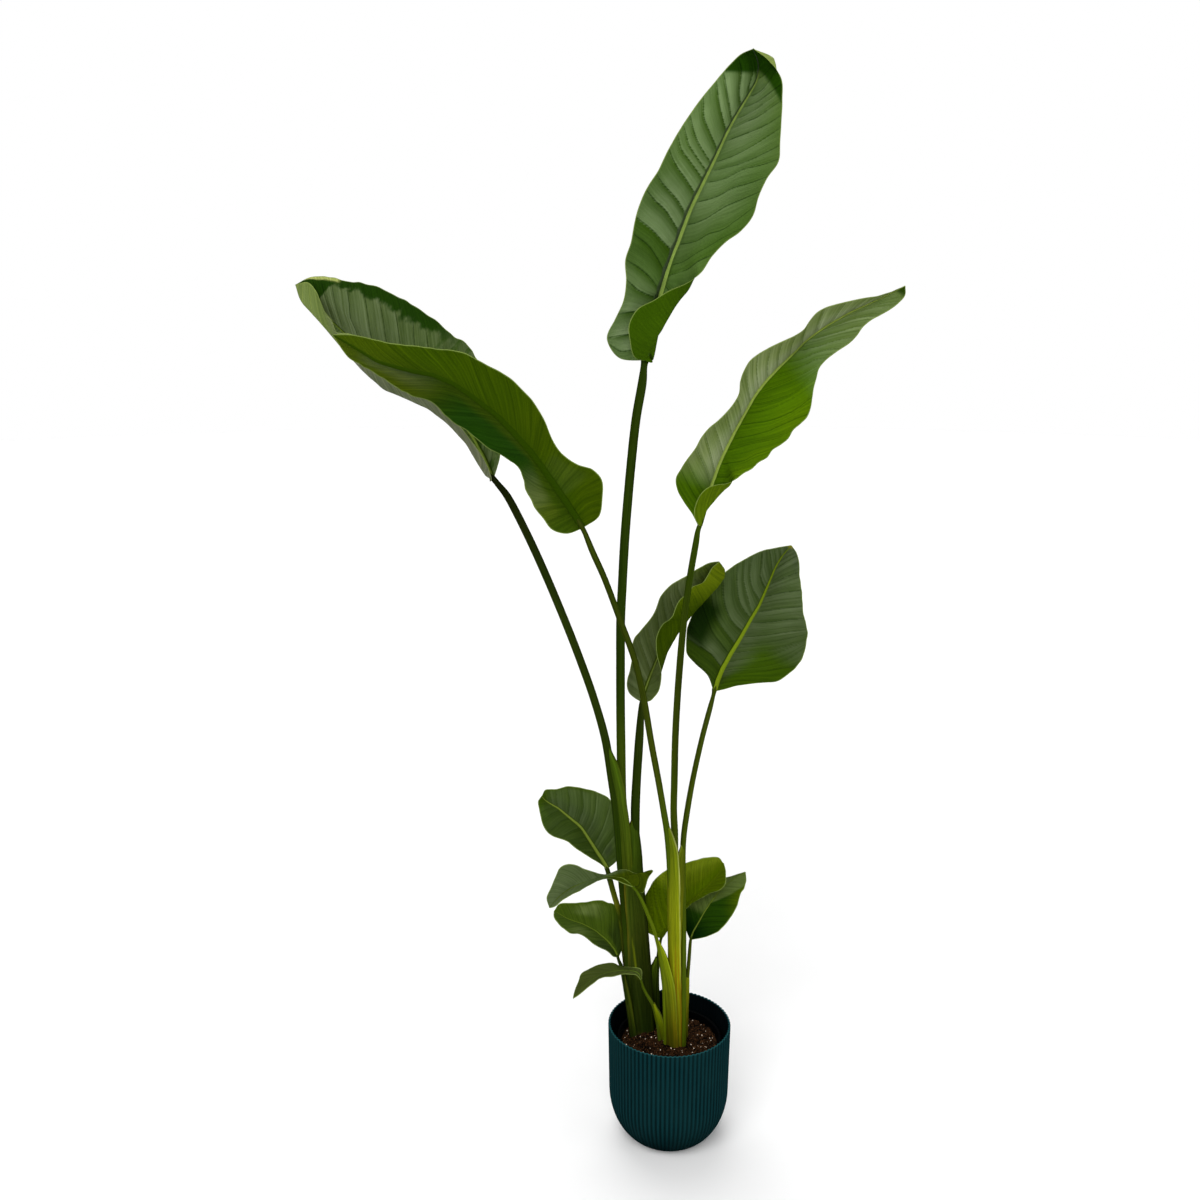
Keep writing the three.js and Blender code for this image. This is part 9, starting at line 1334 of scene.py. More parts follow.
STALK_LOOK = {  # colours from the soil (0) to the blade (1)
    "a": ((0, (0.056, 0.078, 0.0020)), (0.33, (0.043, 0.070, 0.0020)), (0.45, (0.015, 0.033, 0.0006)), (1, (0.012, 0.025, 0.0006))),
    "b": ((0, (0.020, 0.038, 0.0010)), (0.30, (0.016, 0.036, 0.0006)), (0.45, (0.015, 0.028, 0.0008)), (0.70, (0.011, 0.020, 0.0010)), (0.85, (0.006, 0.009, 0.0006)), (1, (0.005, 0.008, 0.0005))),
    "c": ((0, (0.050, 0.080, 0.0020)), (0.33, (0.032, 0.058, 0.0010)), (0.45, (0.030, 0.044, 0.0015)), (0.80, (0.022, 0.036, 0.0010)), (1, (0.024, 0.036, 0.0020))),
    "d": ((0, (0.050, 0.080, 0.0020)), (0.40, (0.029, 0.047, 0.0008)), (0.60, (0.022, 0.034, 0.0012)), (0.80, (0.025, 0.050, 0.0008)), (1, (0.028, 0.056, 0.0010))),
    "e": ((0, (0.018, 0.030, 0.0008)), (0.50, (0.012, 0.025, 0.0006)), (0.85, (0.013, 0.022, 0.0008)), (1, (0.030, 0.046, 0.0030))),
    "f": ((0, (0.050, 0.080, 0.0020)), (0.50, (0.027, 0.043, 0.0010)), (0.85, (0.028, 0.044, 0.0012)), (1, (0.040, 0.058, 0.0020))),
    "g": ((0, (0.020, 0.034, 0.0010)), (0.38, (0.020, 0.036, 0.0010)), (0.47, (0.095, 0.108, 0.0050)), (0.55, (0.050, 0.068, 0.0030)), (0.63, (0.016, 0.028, 0.0010)), (1, (0.012, 0.018, 0.0010))),
    "h": ((0, (0.080, 0.112, 0.0030)), (0.40, (0.066, 0.096, 0.0020)), (0.70, (0.045, 0.078, 0.0015)), (1, (0.036, 0.065, 0.0010))),
    "i": ((0, (0.014, 0.026, 0.0010)), (0.50, (0.014, 0.028, 0.0010)), (1, (0.020, 0.034, 0.0010))),
    "j": ((0, (0.060, 0.090, 0.0060)), (0.50, (0.036, 0.058, 0.0020)), (1, (0.026, 0.044, 0.0010))),
    "k": ((0, (0.010, 0.018, 0.0008)), (0.40, (0.014, 0.026, 0.0010)), (1, (0.040, 0.058, 0.0010))),
    "l": ((0, (0.080, 0.090, 0.0040)), (0.40, (0.040, 0.056, 0.0020)), (1, (0.018, 0.032, 0.0010))),
}
# sheaths: (how far down, colour at the closed side, colour of the middle, colour by the free edge);
# then the colour of the dry lip, how strong it is, how far down it runs, and how brown the old streaks are
SHEATH_TONE = {     # one tone low, half way and at the end of each sheath
    "b": (((0, (0.03, 0.06, 0.002)), (0.6, (0.03, 0.04, 0.002)), (0.95, (0.01, 0.02, 0.002))), (0.07, 0.09, 0.004), 0.4, 0.5, 0.3),
    "c": (((0, (0.06, 0.09, 0.002)), (0.6, (0.13, 0.15, 0.002)), (0.95, (0.07, 0.07, 0.002))), (0.34, 0.36, 0.14), 0.55, 0.45, 0.75),
    "e": (((0, (0.03, 0.06, 0.002)), (0.53, (0.02, 0.03, 0.002)), (0.97, (0.01, 0.02, 0.002))), (0.105, 0.09, 0.004), 0.8, 0.45, 0.35),
    "f": (((0, (0.07, 0.10, 0.002)), (0.56, (0.13, 0.14, 0.002)), (0.95, (0.07, 0.06, 0.002))), (0.34, 0.36, 0.14), 0.6, 0.45, 0.8),
    "g": (((0, (0.07, 0.10, 0.002)), (0.4, (0.03, 0.04, 0.002)), (1, (0.01, 0.02, 0.002))), (0.13, 0.15, 0.01), 0.6, 0.5, 0.4),
    "h": (((0, (0.11, 0.15, 0.002)), (0.5, (0.07, 0.09, 0.002)), (1, (0.05, 0.05, 0.002))), (0.2, 0.24, 0.02), 0.6, 0.6, 0.4),
    "i": (((0, (0.03, 0.04, 0.002)), (0.6, (0.02, 0.03, 0.002)), (1, (0.01, 0.02, 0.002))), (0.06, 0.07, 0.004), 0.4, 0.6, 0.3),
    "j": (((0, (0.12, 0.15, 0.002)), (0.5, (0.08, 0.11, 0.002)), (1, (0.04, 0.06, 0.002))), (0.17, 0.2, 0.04), 0.6, 0.7, 0.3),
    "k": (((0, (0.04, 0.07, 0.002)), (0.6, (0.01, 0.02, 0.002)), (1, (0.01, 0.02, 0.002))), (0.06, 0.09, 0.005), 0.5, 0.4, 0.3),
    "l": (((0, (0.12, 0.15, 0.002)), (0.9, (0.07, 0.06, 0.002)), (1, (0.06, 0.04, 0.002))), (0.2, 0.2, 0.03), 0.5, 0.5, 0.8),
}


def shade(c, f):
    return tuple(f * q for q in c)


# each tone is used three times round the sheath: a darker copy as painted shade on the closed side, the tone itself in
# the middle, and a lighter copy as painted light by the free edges
SHEATH_LOOK = {k: (tuple((t, shade(c, 0.62), c, shade(c, 1.4)) for t, c in v[0]),) + tuple(v[1:]) for k, v in SHEATH_TONE.items()}


def ramp_colour(f, stops):
    """Colours along f, smoothly from stop to stop."""
    f = np.asarray(f, float)
    pos = [p[0] for p in stops]
    return np.stack([np.interp(f, pos, [p[1][c] for p in stops]) for c in range(3)], -1)


def tube(P, steps, sides, look, seed, groove=0.16, facing=(0.0, -1.0)):
    """A closed stalk: oval, with a shallow channel on the side that faces the plant's middle."""
    P = np.array(P, float)
    n = len(P) - 1
    t = np.linspace(0, 1, steps + 1)
    C = cr(P, t * n)
    ctr, rx, ry = C[:, :3], C[:, 3], C[:, 4]
    ax = unit(np.gradient(ctr, axis=0))
    sidev = unit(np.array([1.0, 0, 0]) - ax * ax[:, :1])
    back = np.cross(sidev, ax)
    back = np.where(back[:, 1:2] < 0, -back, back)
    th = np.linspace(0, 2 * math.pi, sides, endpoint=False)
    ln = np.concatenate([[0], np.cumsum(np.linalg.norm(np.diff(ctr, axis=0), axis=1))])
    face = math.atan2(facing[1], facing[0])
    dth = (th - face + math.pi) % (2 * math.pi) - math.pi
    low = smooth(0, 0.25, t)[:, None]
    r = 1 - groove * low * np.exp(-(dth[None] / 0.42) ** 2)
    wob = Waves(seed + 30, 3, 0.03)
    r = r * (1 + 0.018 * wob(ln[:, None] * 0.6, th[None] * 14))
    r = r * (1 + 0.010 * np.sin(th[None] * 11 + 0.4) * low)
    V = ctr[:, None] + sidev[:, None] * (np.cos(th)[None] * rx[:, None] * r)[..., None] + back[:, None] * (np.sin(th)[None] * ry[:, None] * r)[..., None]
    rows, cols = V.shape[:2]
    caps = [ctr[0] - np.array([0, 0, 0.0]), ctr[-1] + ax[-1] * rx[-1] * 0.35]
    verts = np.concatenate([V.reshape(-1, 3), caps])
    F = grid_faces(rows, cols, 0, False, True)
    a = np.arange(cols)
    b = (a + 1) % cols
    c0, c1 = rows * cols, rows * cols + 1
    cap0 = np.stack([b, a, np.full(cols, c0), np.full(cols, c0)], -1)
    cap1 = np.stack([(rows - 1) * cols + a, (rows - 1) * cols + b, np.full(cols, c1), np.full(cols, c1)], -1)
    tint = ramp_colour(t, look)[:, None] * np.ones((rows, cols, 3))
    line = Waves(seed + 61, 4, 1.0)
    k = 1 + 0.20 * line(ln[:, None] * 0.006, th[None] * 3.0) + 0.10 * line(ln[:, None] * 0.01, th[None] * 9.0 + 5)
    tint = tint * k[..., None]
    sl = (ln[:, None] * np.ones((rows, cols)))
    an = (np.minimum(th, 2 * math.pi - th)[None] * rx[:, None] + 0 * sl)
    attrs = dict(tint=np.concatenate([tint.reshape(-1, 3), tint[0, :1], tint[-1, :1]]),
                 sl=np.concatenate([sl.ravel(), [0, ln[-1]]]), an=np.concatenate([an.ravel(), [0, 0]]),
                 edge=np.zeros(rows * cols + 2))
    return verts, F, np.concatenate([cap0, cap1]), attrs


def sheath(R, look, seed, steps=90, arc=34, thick=1.5):
    """An open sheath: a thin shell bent round its neighbours, closed at x of the apex, with two free edges."""
    R = np.array(R, float)
    n = len(R) - 1
    t = np.linspace(0, 1, steps + 1)
    # even steps in height
    z0 = np.interp(np.linspace(0, 1, 400), np.linspace(0, 1, 400), cr(R, np.linspace(0, n, 400))[:, 0])
    order = np.interp(np.linspace(z0[0], z0[-1], steps + 1)[::-1], z0[::-1], np.linspace(0, n, 400)[::-1])[::-1]
    C = cr(R, order)
    z, xa, xf, yc, ry = C.T
    phi = np.linspace(-1, 1, 2 * arc + 1)
    PH = math.radians(112)
    a = phi * PH
    W = (xf - xa)[:, None]
    wob = Waves(seed + 11, 3, 0.05)
    ragged = 1 + 0.025 * wob(z[:, None], phi[None] * 3) * np.abs(phi)[None] ** 3
    X = xa[:, None] + W * (1 - np.cos(a))[None] / (1 - math.cos(PH)) * ragged
    Y = yc[:, None] + ry[:, None] * np.sin(a)[None]
    # tip: the wings start as points that hug the stalk
    Z = z[:, None] + 0 * X
    drop = 1 - smooth(0.0, 0.06, t)
    Z = Z - (drop[:, None] * 5.0 * (1 - np.abs(phi)[None]))
    out = np.stack([X, Y, Z], -1)
    th = (thick * (1 - np.abs(phi) ** 1.6) + 0.35)[None] * (0.25 + 0.75 * smooth(0.0, 0.10, t))[:, None]
    du = np.gradient(out, axis=0)
    dv = np.gradient(out, axis=1)
    N = unit(np.cross(dv, du))
    cx = np.stack([0.5 * (xa + xf), yc], -1)
    outward = (out[..., :2] - cx[:, None]) * N[..., :2]
    if outward.sum() < 0:
        N = -N
        flip = True
    else:
        flip = False
    ridge = 0.16 * np.sin(a * 17)[None] * smooth(0.0, 0.2, t)[:, None]
    out = out + N * ridge[..., None]
    inn = out - N * th[..., None]
    rows, cols = out.shape[:2]
    m = rows * cols
    V = np.concatenate([out.reshape(-1, 3), inn.reshape(-1, 3)])
    top = grid_faces(rows, cols, 0, not flip)
    bot = grid_faces(rows, cols, m, flip)
    ring = np.concatenate([np.arange(cols), np.arange(1, rows) * cols + cols - 1,
                           (rows - 1) * cols + np.arange(cols - 2, -1, -1), np.arange(rows - 2, 0, -1) * cols])
    nxt = np.roll(ring, -1)
    rim = np.stack([ring, ring + m, nxt + m, nxt], -1)
    if not flip:
        rim = rim[:, ::-1]
    F = np.concatenate([top, bot, rim])
    stops, lip, lip_k, lip_end, old = look
    p = np.abs(phi)[None, :, None]
    closed, middle, free = [ramp_colour(t, [(s[0], s[k]) for s in stops])[:, None] for k in (1, 2, 3)]
    f1, f2 = smooth(0.05, 0.58, p), smooth(0.60, 0.86, p)
    tint = (closed * (1 - f1) + middle * f1) * (1 - f2) + free * f2
    lines = Waves(seed + 17, 4, 1.0)
    k = 1 + 0.16 * lines(z[:, None] * 0.010, phi[None] * 11) + 0.14 * lines(z[:, None] * 0.016 + 3, phi[None] * 31)
    tint = tint * k[..., None]
    brown = smooth(0.15, 0.7, lines(z[:, None] * 0.012 + 9, phi[None] * 17 + 4)) * smooth(0.35, 0.75, t)[:, None] * old
    tint = tint * (1 - brown[..., None]) + tint * np.array([1.25, 0.62, 0.5]) * brown[..., None]
    rim_k = smooth(0.90, 0.985, np.abs(phi))[None] * lip_k * (1 - smooth(lip_end, lip_end + 0.3, t))[:, None]
    rim_k = rim_k * (0.8 + 0.2 * wob(z[:, None], 3.0))
    tint = tint * (1 - rim_k[..., None]) + np.array(lip) * rim_k[..., None]
    foot = smooth(0.975, 1.0, t)[:, None] * (0.6 + 0.4 * lines(z[:, None], phi[None] * 60)) * 0.8 * old
    tint = tint * (1 - foot[..., None]) + np.array((0.13, 0.070, 0.020)) * foot[..., None]
    if seed == LEAF["e"]["seed"] + 70:
        # a younger fold shows as a bright sliver
        down = np.clip((t[:, None] - 0.55) / 0.16, -0.4, 1.4)
        mid_phi = -(0.83 - 0.08 * down)
        sliver = np.exp(-((phi[None] - mid_phi) / (0.018 + 0.020 * np.clip(down, 0, 1))) ** 2) * smooth(-0.25, 0.15, down) * (1 - smooth(0.85, 1.2, down))
        tint = tint * (1 - 0.85 * sliver[..., None]) + np.array((0.105, 0.135, 0.003)) * 0.85 * sliver[..., None]
    edge = np.zeros((rows, cols))
    sl = z[:, None] * np.ones((rows, cols))
    an = np.abs(a)[None] * 9 * np.ones((rows, 1))
    attrs = dict(tint=np.concatenate([tint.reshape(-1, 3)] * 2), sl=np.concatenate([sl.ravel()] * 2),
                 an=np.concatenate([an.ravel()] * 2), edge=np.concatenate([edge.ravel()] * 2))
    return V, F, attrs


def join_parts(parts):
    V, F, A, base = [], [], {}, 0
    for v, f, a in parts:
        V.append(v)
        F.append(f + base)
        base += len(v)
        for k, x in a.items():
            A.setdefault(k, []).append(x)
    return np.concatenate(V), F, {k: np.concatenate(x) for k, x in A.items()}


def build_stalk(key, G, blade_top):
    P = np.array(STALKS[key], float)
    G = np.array(G, float)
    big = key in "abcdef"
    # run on a little way under the blade, into its midrib
    m0, m1 = G[0, 3], G[1, 3]
    T, N, rib = blade_top
    k1, k2 = (3, 9) if big else (2, 5)
    mid = T.shape[1] // 2
    e1 = T[k1, mid] - N[k1, mid] * rib * 0.55
    e2 = T[k2, mid] - N[k2, mid] * rib * 0.50
    extra = [[*e1, rib * 0.80, rib * 0.80], [*e2, rib * 0.45, rib * 0.45]]
    P = np.concatenate([P, extra])
    P[0, 2] = SOIL_TOP - 2.0
    look = STALK_LOOK[key]
    facing = {"b": (1.0, 0.2), "c": (1.0, 0.4), "f": (-1.0, -0.3), "d": (-0.6, -0.8), "a": (0.5, -0.85), "e": (0.4, -0.9)}.get(key, (0.5, -0.85))
    V, F, caps, attrs = tube(P, 150 if big else 70, 28 if big else 20, look, LEAF[key]["seed"], 0.14, facing)
    parts = [(V, F, attrs)]
    tri = [caps[:, :3]]
    V2, Fs, A = join_parts(parts)
    if key in SHEATHS:
        sv, sf, sa = sheath(SHEATHS[key], SHEATH_LOOK[key], LEAF[key]["seed"] + 70, 110 if big else 70, 30 if big else 22, 1.5 if big else 0.9)
        V2, Fs, A = join_parts([(V, F, attrs), (sv, sf, sa)])
    ob = make_mixed(f"stalk_{key}", V2, np.concatenate(Fs), tri[0], [STALK], A)
    return ob


def make_mixed(name, verts, quads, tris, mats, attrs, quad_index=None):
    me = bpy.data.meshes.new(name)
    verts = np.asarray(verts, np.float64) * MM
    me.vertices.add(len(verts))
    me.vertices.foreach_set("co", verts.astype(np.float32).ravel())
    loops = np.concatenate([quads.ravel(), tris.ravel()]).astype(np.int32)
    me.loops.add(len(loops))
    me.loops.foreach_set("vertex_index", loops)
    nq, ntr = len(quads), len(tris)
    me.polygons.add(nq + ntr)
    start = np.concatenate([np.arange(nq) * 4, nq * 4 + np.arange(ntr) * 3]).astype(np.int32)
    total = np.concatenate([np.full(nq, 4), np.full(ntr, 3)]).astype(np.int32)
    me.polygons.foreach_set("loop_start", start)
    me.polygons.foreach_set("loop_total", total)
    for m in mats:
        me.materials.append(m)
    me.polygons.foreach_set("use_smooth", np.ones(nq + ntr, bool))
    me.update(calc_edges=True)
    me.validate(clean_customdata=False)
    for key, values in attrs.items():
        values = np.asarray(values, np.float32)
        if values.ndim == 2:
            a = me.attributes.new(key, "FLOAT_COLOR", "POINT")
            rgba = np.ones((len(values), 4), np.float32)
            rgba[:, :3] = values[:, :3]
            a.data.foreach_set("color", rgba.ravel())
        else:
            a = me.attributes.new(key, "FLOAT", "POINT")
            a.data.foreach_set("value", values)
    ob = bpy.data.objects.new(name, me)
    bpy.context.scene.collection.objects.link(ob)
    return ob


for key, P in LEAF.items():
    ob, T, N = build_blade(key, BLADES[key], P)
    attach(ob, "root")
    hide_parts(f"leaf_{key}_blade")
    st = build_stalk(key, BLADES[key], (T, N, P["rib"]))
    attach(st, "root")
    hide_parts(f"leaf_{key}_stalk")

# ------------------------------------------------------------------ cover pot

FLUTES = 84
RIM_R, RIM_Z, KNEE_R, KNEE_Z, FOOT_R, DROP, BASE_R, WALL, FLOOR_Z = 110.0, 220.7, 107.9, 93.8, 33.9, 101.2, 58.0, 4.0, 5.0


def outer_radius(z):
    z = np.asarray(z, float)
    low = FOOT_R + (KNEE_R - FOOT_R) * np.sqrt(np.clip(1 - ((KNEE_Z - z) / DROP) ** 2, 0, 1))
    high = KNEE_R + (RIM_R - KNEE_R) * (z - KNEE_Z) / (RIM_Z - KNEE_Z)
    return np.where(z < KNEE_Z, low, high)


def build_pot():
    per = 8
    seg = FLUTES * per
    th = np.arange(seg) / seg * 2 * math.pi
    wave = 0.5 - 0.5 * np.cos(FLUTES * th)          # 0 on the crest, 1 in the groove
    groove = wave ** 1.6
    rows = []   # (radius array, z, painted light on the flutes, painted highlight on the rim)
    zb = np.concatenate([[0.0], 0.6 * np.ones(1), np.linspace(2.0, 30, 15), np.linspace(34, KNEE_Z, 12)[0:], np.linspace(KNEE_Z + 12, RIM_Z - 1.4, 9)])
    for z in zb:
        amp = 1.9 * smooth(1.0, 16.0, z)
        r = outer_radius(z) if z > 1.9 else (BASE_R + 1.2 if z > 0.3 else BASE_R)
        rows.append((r - amp * groove, z, (1 - groove * smooth(1, 12, z)) * (0.35 + 0.65 * smooth(5, 110, z)), 0.0))
    for k in range(1, 6):                            # the rounded rim, 2.8 mm thick with the flutes' wave in it
        a = k / 5 * math.pi
        r = RIM_R - 1.9 * groove - 1.3 + 1.3 * math.cos(a)
        rows.append((r, RIM_Z - 1.3 + 1.3 * math.sin(a), np.ones(seg), 1.0))
    for z in np.concatenate([np.linspace(RIM_Z - 4, KNEE_Z, 8), np.linspace(80, 12, 9)]):
        deep = WALL - 1.2 * smooth(RIM_Z - 12, RIM_Z - 2, z) if z > KNEE_Z else WALL + 0.8 * smooth(KNEE_Z, 40, z)
        r = outer_radius(z) - deep
        rows.append((r - 1.3 * groove * smooth(60, 110, z), z, 0.55 * (1 - groove) + 0 * th, 0.0))
    rows.append((64.5 + 0 * th, FLOOR_Z + 0.6, 0.3 + 0 * th, 0.0))
    R = np.array([np.broadcast_to(r[0], seg) for r in rows])
    Z = np.array([r[1] for r in rows])[:, None] * np.ones_like(R)
    C = np.array([np.broadcast_to(r[2], seg) for r in rows])
    M = np.array([r[3] for r in rows])[:, None] * np.ones_like(R)
    V = np.stack([R * np.cos(th), R * np.sin(th), Z], -1)
    n, c = V.shape[:2]
    verts = np.concatenate([V.reshape(-1, 3), [[0, 0, 0], [0, 0, FLOOR_Z]]])
    F = grid_faces(n, c, 0, False, True)
    a = np.arange(c)
    b = (a + 1) % c
    t0 = np.stack([b, a, np.full(c, n * c)], -1)
    t1 = np.stack([(n - 1) * c + a, (n - 1) * c + b, np.full(c, n * c + 1)], -1)
    inner_shade = np.zeros(n)
    inner_shade[len(zb) + 4:] = 1.0
    I = inner_shade[:, None] * np.ones_like(R)
    attrs = dict(crest_light=np.concatenate([C.ravel(), [0.3, 0.3]]), rim=np.concatenate([M.ravel(), [0, 0]]), inner_shade=np.concatenate([I.ravel(), [0, 1]]))
    ob = make_mixed("fluted_pot", verts, F, np.concatenate([t0, t1]), [pot_material()], attrs)
    return ob


pot = build_pot()
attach(pot, "root")
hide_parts("cover_pot")


def lathe_obj(name, profile, seg, mat):
    """A closed turned piece whose profile starts and ends on the axis."""
    prof = np.array(profile, float)
    th = np.arange(seg) / seg * 2 * math.pi
    inner = prof[1:-1]
    V = np.stack([inner[:, :1] * np.cos(th), inner[:, :1] * np.sin(th), inner[:, 1:] * np.ones(seg)], -1)
    n, c = V.shape[:2]
    verts = np.concatenate([V.reshape(-1, 3), [[0, 0, prof[0, 1]], [0, 0, prof[-1, 1]]]])
    F = grid_faces(n, c, 0, False, True)
    a = np.arange(c)
    b = (a + 1) % c
    t0 = np.stack([b, a, np.full(c, n * c)], -1)
    t1 = np.stack([(n - 1) * c + a, (n - 1) * c + b, np.full(c, n * c + 1)], -1)
    return make_mixed(name, verts, F, np.concatenate([t0, t1]), [mat], {})


def grower_r(z):
    return 60 + 30 * (z - 5.3) / 189.7


prof = [(0, 5.3), (30, 5.3), (57, 5.3), (59.3, 5.8), (60.2, 7.2)]
for z in (20, 60, 100, 140, 170, 184):
    prof.append((grower_r(z), z))
prof += [(grower_r(187.6), 187.6), (grower_r(187.9) + 0.3, 188.0), (92.6, 188.0), (93.3, 188.4), (93.5, 189.2), (93.5, 193.4), (93.1, 194.6), (92.2, 195.0), (89.4, 195.0), (88.5, 194.7), (88.2, 193.8)]
for z in (186, 170, 120, 60, 12):
    prof.append((grower_r(z) - 1.8, z))
prof += [(57.6, 7.4), (56, 7.1), (30, 7.1), (0, 7.1)]
gp = lathe_obj("inner_pot", prof, 180, black_material())
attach(gp, "root")
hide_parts("grower_pot")

# ------------------------------------------------------------------ soil with bark and perlite

def height_map(size=420, half=90.0, seed=5):
    """Crumbs of many sizes heaped on a flat bed: heights in mm over a square."""
    rng = np.random.default_rng(seed)
    H = np.zeros((size, size))
    step = 2 * half / (size - 1)
    ax = np.linspace(-half, half, size)
    for count, lo, hi in ((420, 3.0, 6.0), (2600, 1.4, 3.0), (6500, 0.8, 1.5)):
        xs = rng.uniform(-half, half, count)
        ys = rng.uniform(-half, half, count)
        rs = rng.uniform(lo, hi, count)
        base = rng.uniform(-0.4, 0.5, count) * rs
        for x, y, r, b in zip(xs, ys, rs, base):
            i0, i1 = np.searchsorted(ax, [x - r, x + r])
            j0, j1 = np.searchsorted(ax, [y - r, y + r])
            if i1 <= i0 or j1 <= j0:
                continue
            dx = (ax[i0:i1] - x)[:, None]
            dy = (ax[j0:j1] - y)[None]
            s = r * r - dx * dx - dy * dy
            bump = np.where(s > 0, np.sqrt(np.clip(s, 0, None)) * 0.62 + b * 0.5, -9)
            blk = H[i0:i1, j0:j1]
            np.maximum(blk, bump, out=blk)
    big = Waves(seed + 3, 3, 0.05)
    return H, ax, big


HMAP, HAX, HBIG = height_map()


def soil_height(x, y):
    i = np.clip(np.searchsorted(HAX, x) - 1, 0, len(HAX) - 2)
    j = np.clip(np.searchsorted(HAX, y) - 1, 0, len(HAX) - 2)
    fx = np.clip((x - HAX[i]) / (HAX[1] - HAX[0]), 0, 1)
    fy = np.clip((y - HAX[j]) / (HAX[1] - HAX[0]), 0, 1)
    h = HMAP[i, j] * (1 - fx) * (1 - fy) + HMAP[i + 1, j] * fx * (1 - fy) + HMAP[i, j + 1] * (1 - fx) * fy + HMAP[i + 1, j + 1] * fx * fy
    r = np.hypot(x, y)
    return SOIL_TOP - 1.8 + 0.9 * h + 1.8 * HBIG(x, y) * (1 - smooth(70, 87, r)) - 2.0 * smooth(72, 87, r) + 6.5 * (1 - smooth(12, 82, r))


def build_soil():
    n = 190
    s = np.linspace(-1, 1, n)
    a, b = np.meshgrid(s, s, indexing="ij")
    # square to disc
    x = a * np.sqrt(np.clip(1 - b * b / 2, 0, 1))
    y = b * np.sqrt(np.clip(1 - a * a / 2, 0, 1))
    R = grower_r(SOIL_TOP) - 1.8 - 0.4
    X, Y = x * R, y * R
    Z = soil_height(X, Y)
    top = np.stack([X, Y, Z], -1)
    m = n * n
    ring = np.concatenate([np.arange(n), np.arange(1, n) * n + n - 1, (n - 1) * n + np.arange(n - 2, -1, -1), np.arange(n - 2, 0, -1) * n])
    base = top.reshape(-1, 3)[ring].copy()
    base[:, 2] = 7.4
    base[:, :2] *= (grower_r(7.4) - 2.2) / R
    verts = np.concatenate([top.reshape(-1, 3), base, [[0, 0, 7.4]]])
    # cross(row, column) is up: rows run along x, columns along y
    F = grid_faces(n, n, 0, True)
    k = len(ring)
    i = np.arange(k)
    j = (i + 1) % k
    # seen from above the ring runs from -x-y towards +y first, so clockwise
    side = np.stack([ring[i], m + i, m + j, ring[j]], -1)[:, ::-1]
    fan = np.stack([m + i, np.full(k, m + k), m + j], -1)[:, ::-1]
    return make_mixed("soil_surface", verts, np.concatenate([F, side]), fan, [soil_material()], {})


soil = build_soil()
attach(soil, "root")
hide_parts("potting_soil")

PHI = (1 + 5 ** 0.5) / 2
ICO_V = unit(np.array([(-1, PHI, 0), (1, PHI, 0), (-1, -PHI, 0), (1, -PHI, 0), (0, -1, PHI), (0, 1, PHI), (0, -1, -PHI), (0, 1, -PHI), (PHI, 0, -1), (PHI, 0, 1), (-PHI, 0, -1), (-PHI, 0, 1)], float))
ICO_F = np.array([(0, 11, 5), (0, 5, 1), (0, 1, 7), (0, 7, 10), (0, 10, 11), (1, 5, 9), (5, 11, 4), (11, 10, 2), (10, 7, 6), (7, 1, 8), (3, 9, 4), (3, 4, 2), (3, 2, 6), (3, 6, 8), (3, 8, 9), (4, 9, 5), (2, 4, 11), (6, 2, 10), (8, 6, 7), (9, 8, 1)])


def subdivide(V, F):
    V = list(map(tuple, V))
    seen = {}

    def half(i, j):
        k = (min(i, j), max(i, j))
        if k not in seen:
            p = np.array(V[i]) + np.array(V[j])
            V.append(tuple(p / np.linalg.norm(p)))
            seen[k] = len(V) - 1
        return seen[k]
    out = []
    for a, b, c in F:
        ab, bc, ca = half(a, b), half(b, c), half(c, a)
        out += [(a, ab, ca), (b, bc, ab), (c, ca, bc), (ab, bc, ca)]
    return np.array(V), np.array(out)


ICO1 = subdivide(ICO_V, ICO_F)
ICO2 = subdivide(*ICO1)


def blocked(x, y, clear):
    for key, P in STALKS.items():
        px, py, rx, ry = P[0][0], P[0][1], P[0][3], P[0][4]
        if ((x - px) / (rx + clear)) ** 2 + ((y - py) / (ry + clear)) ** 2 < 1:
            return True
    return False


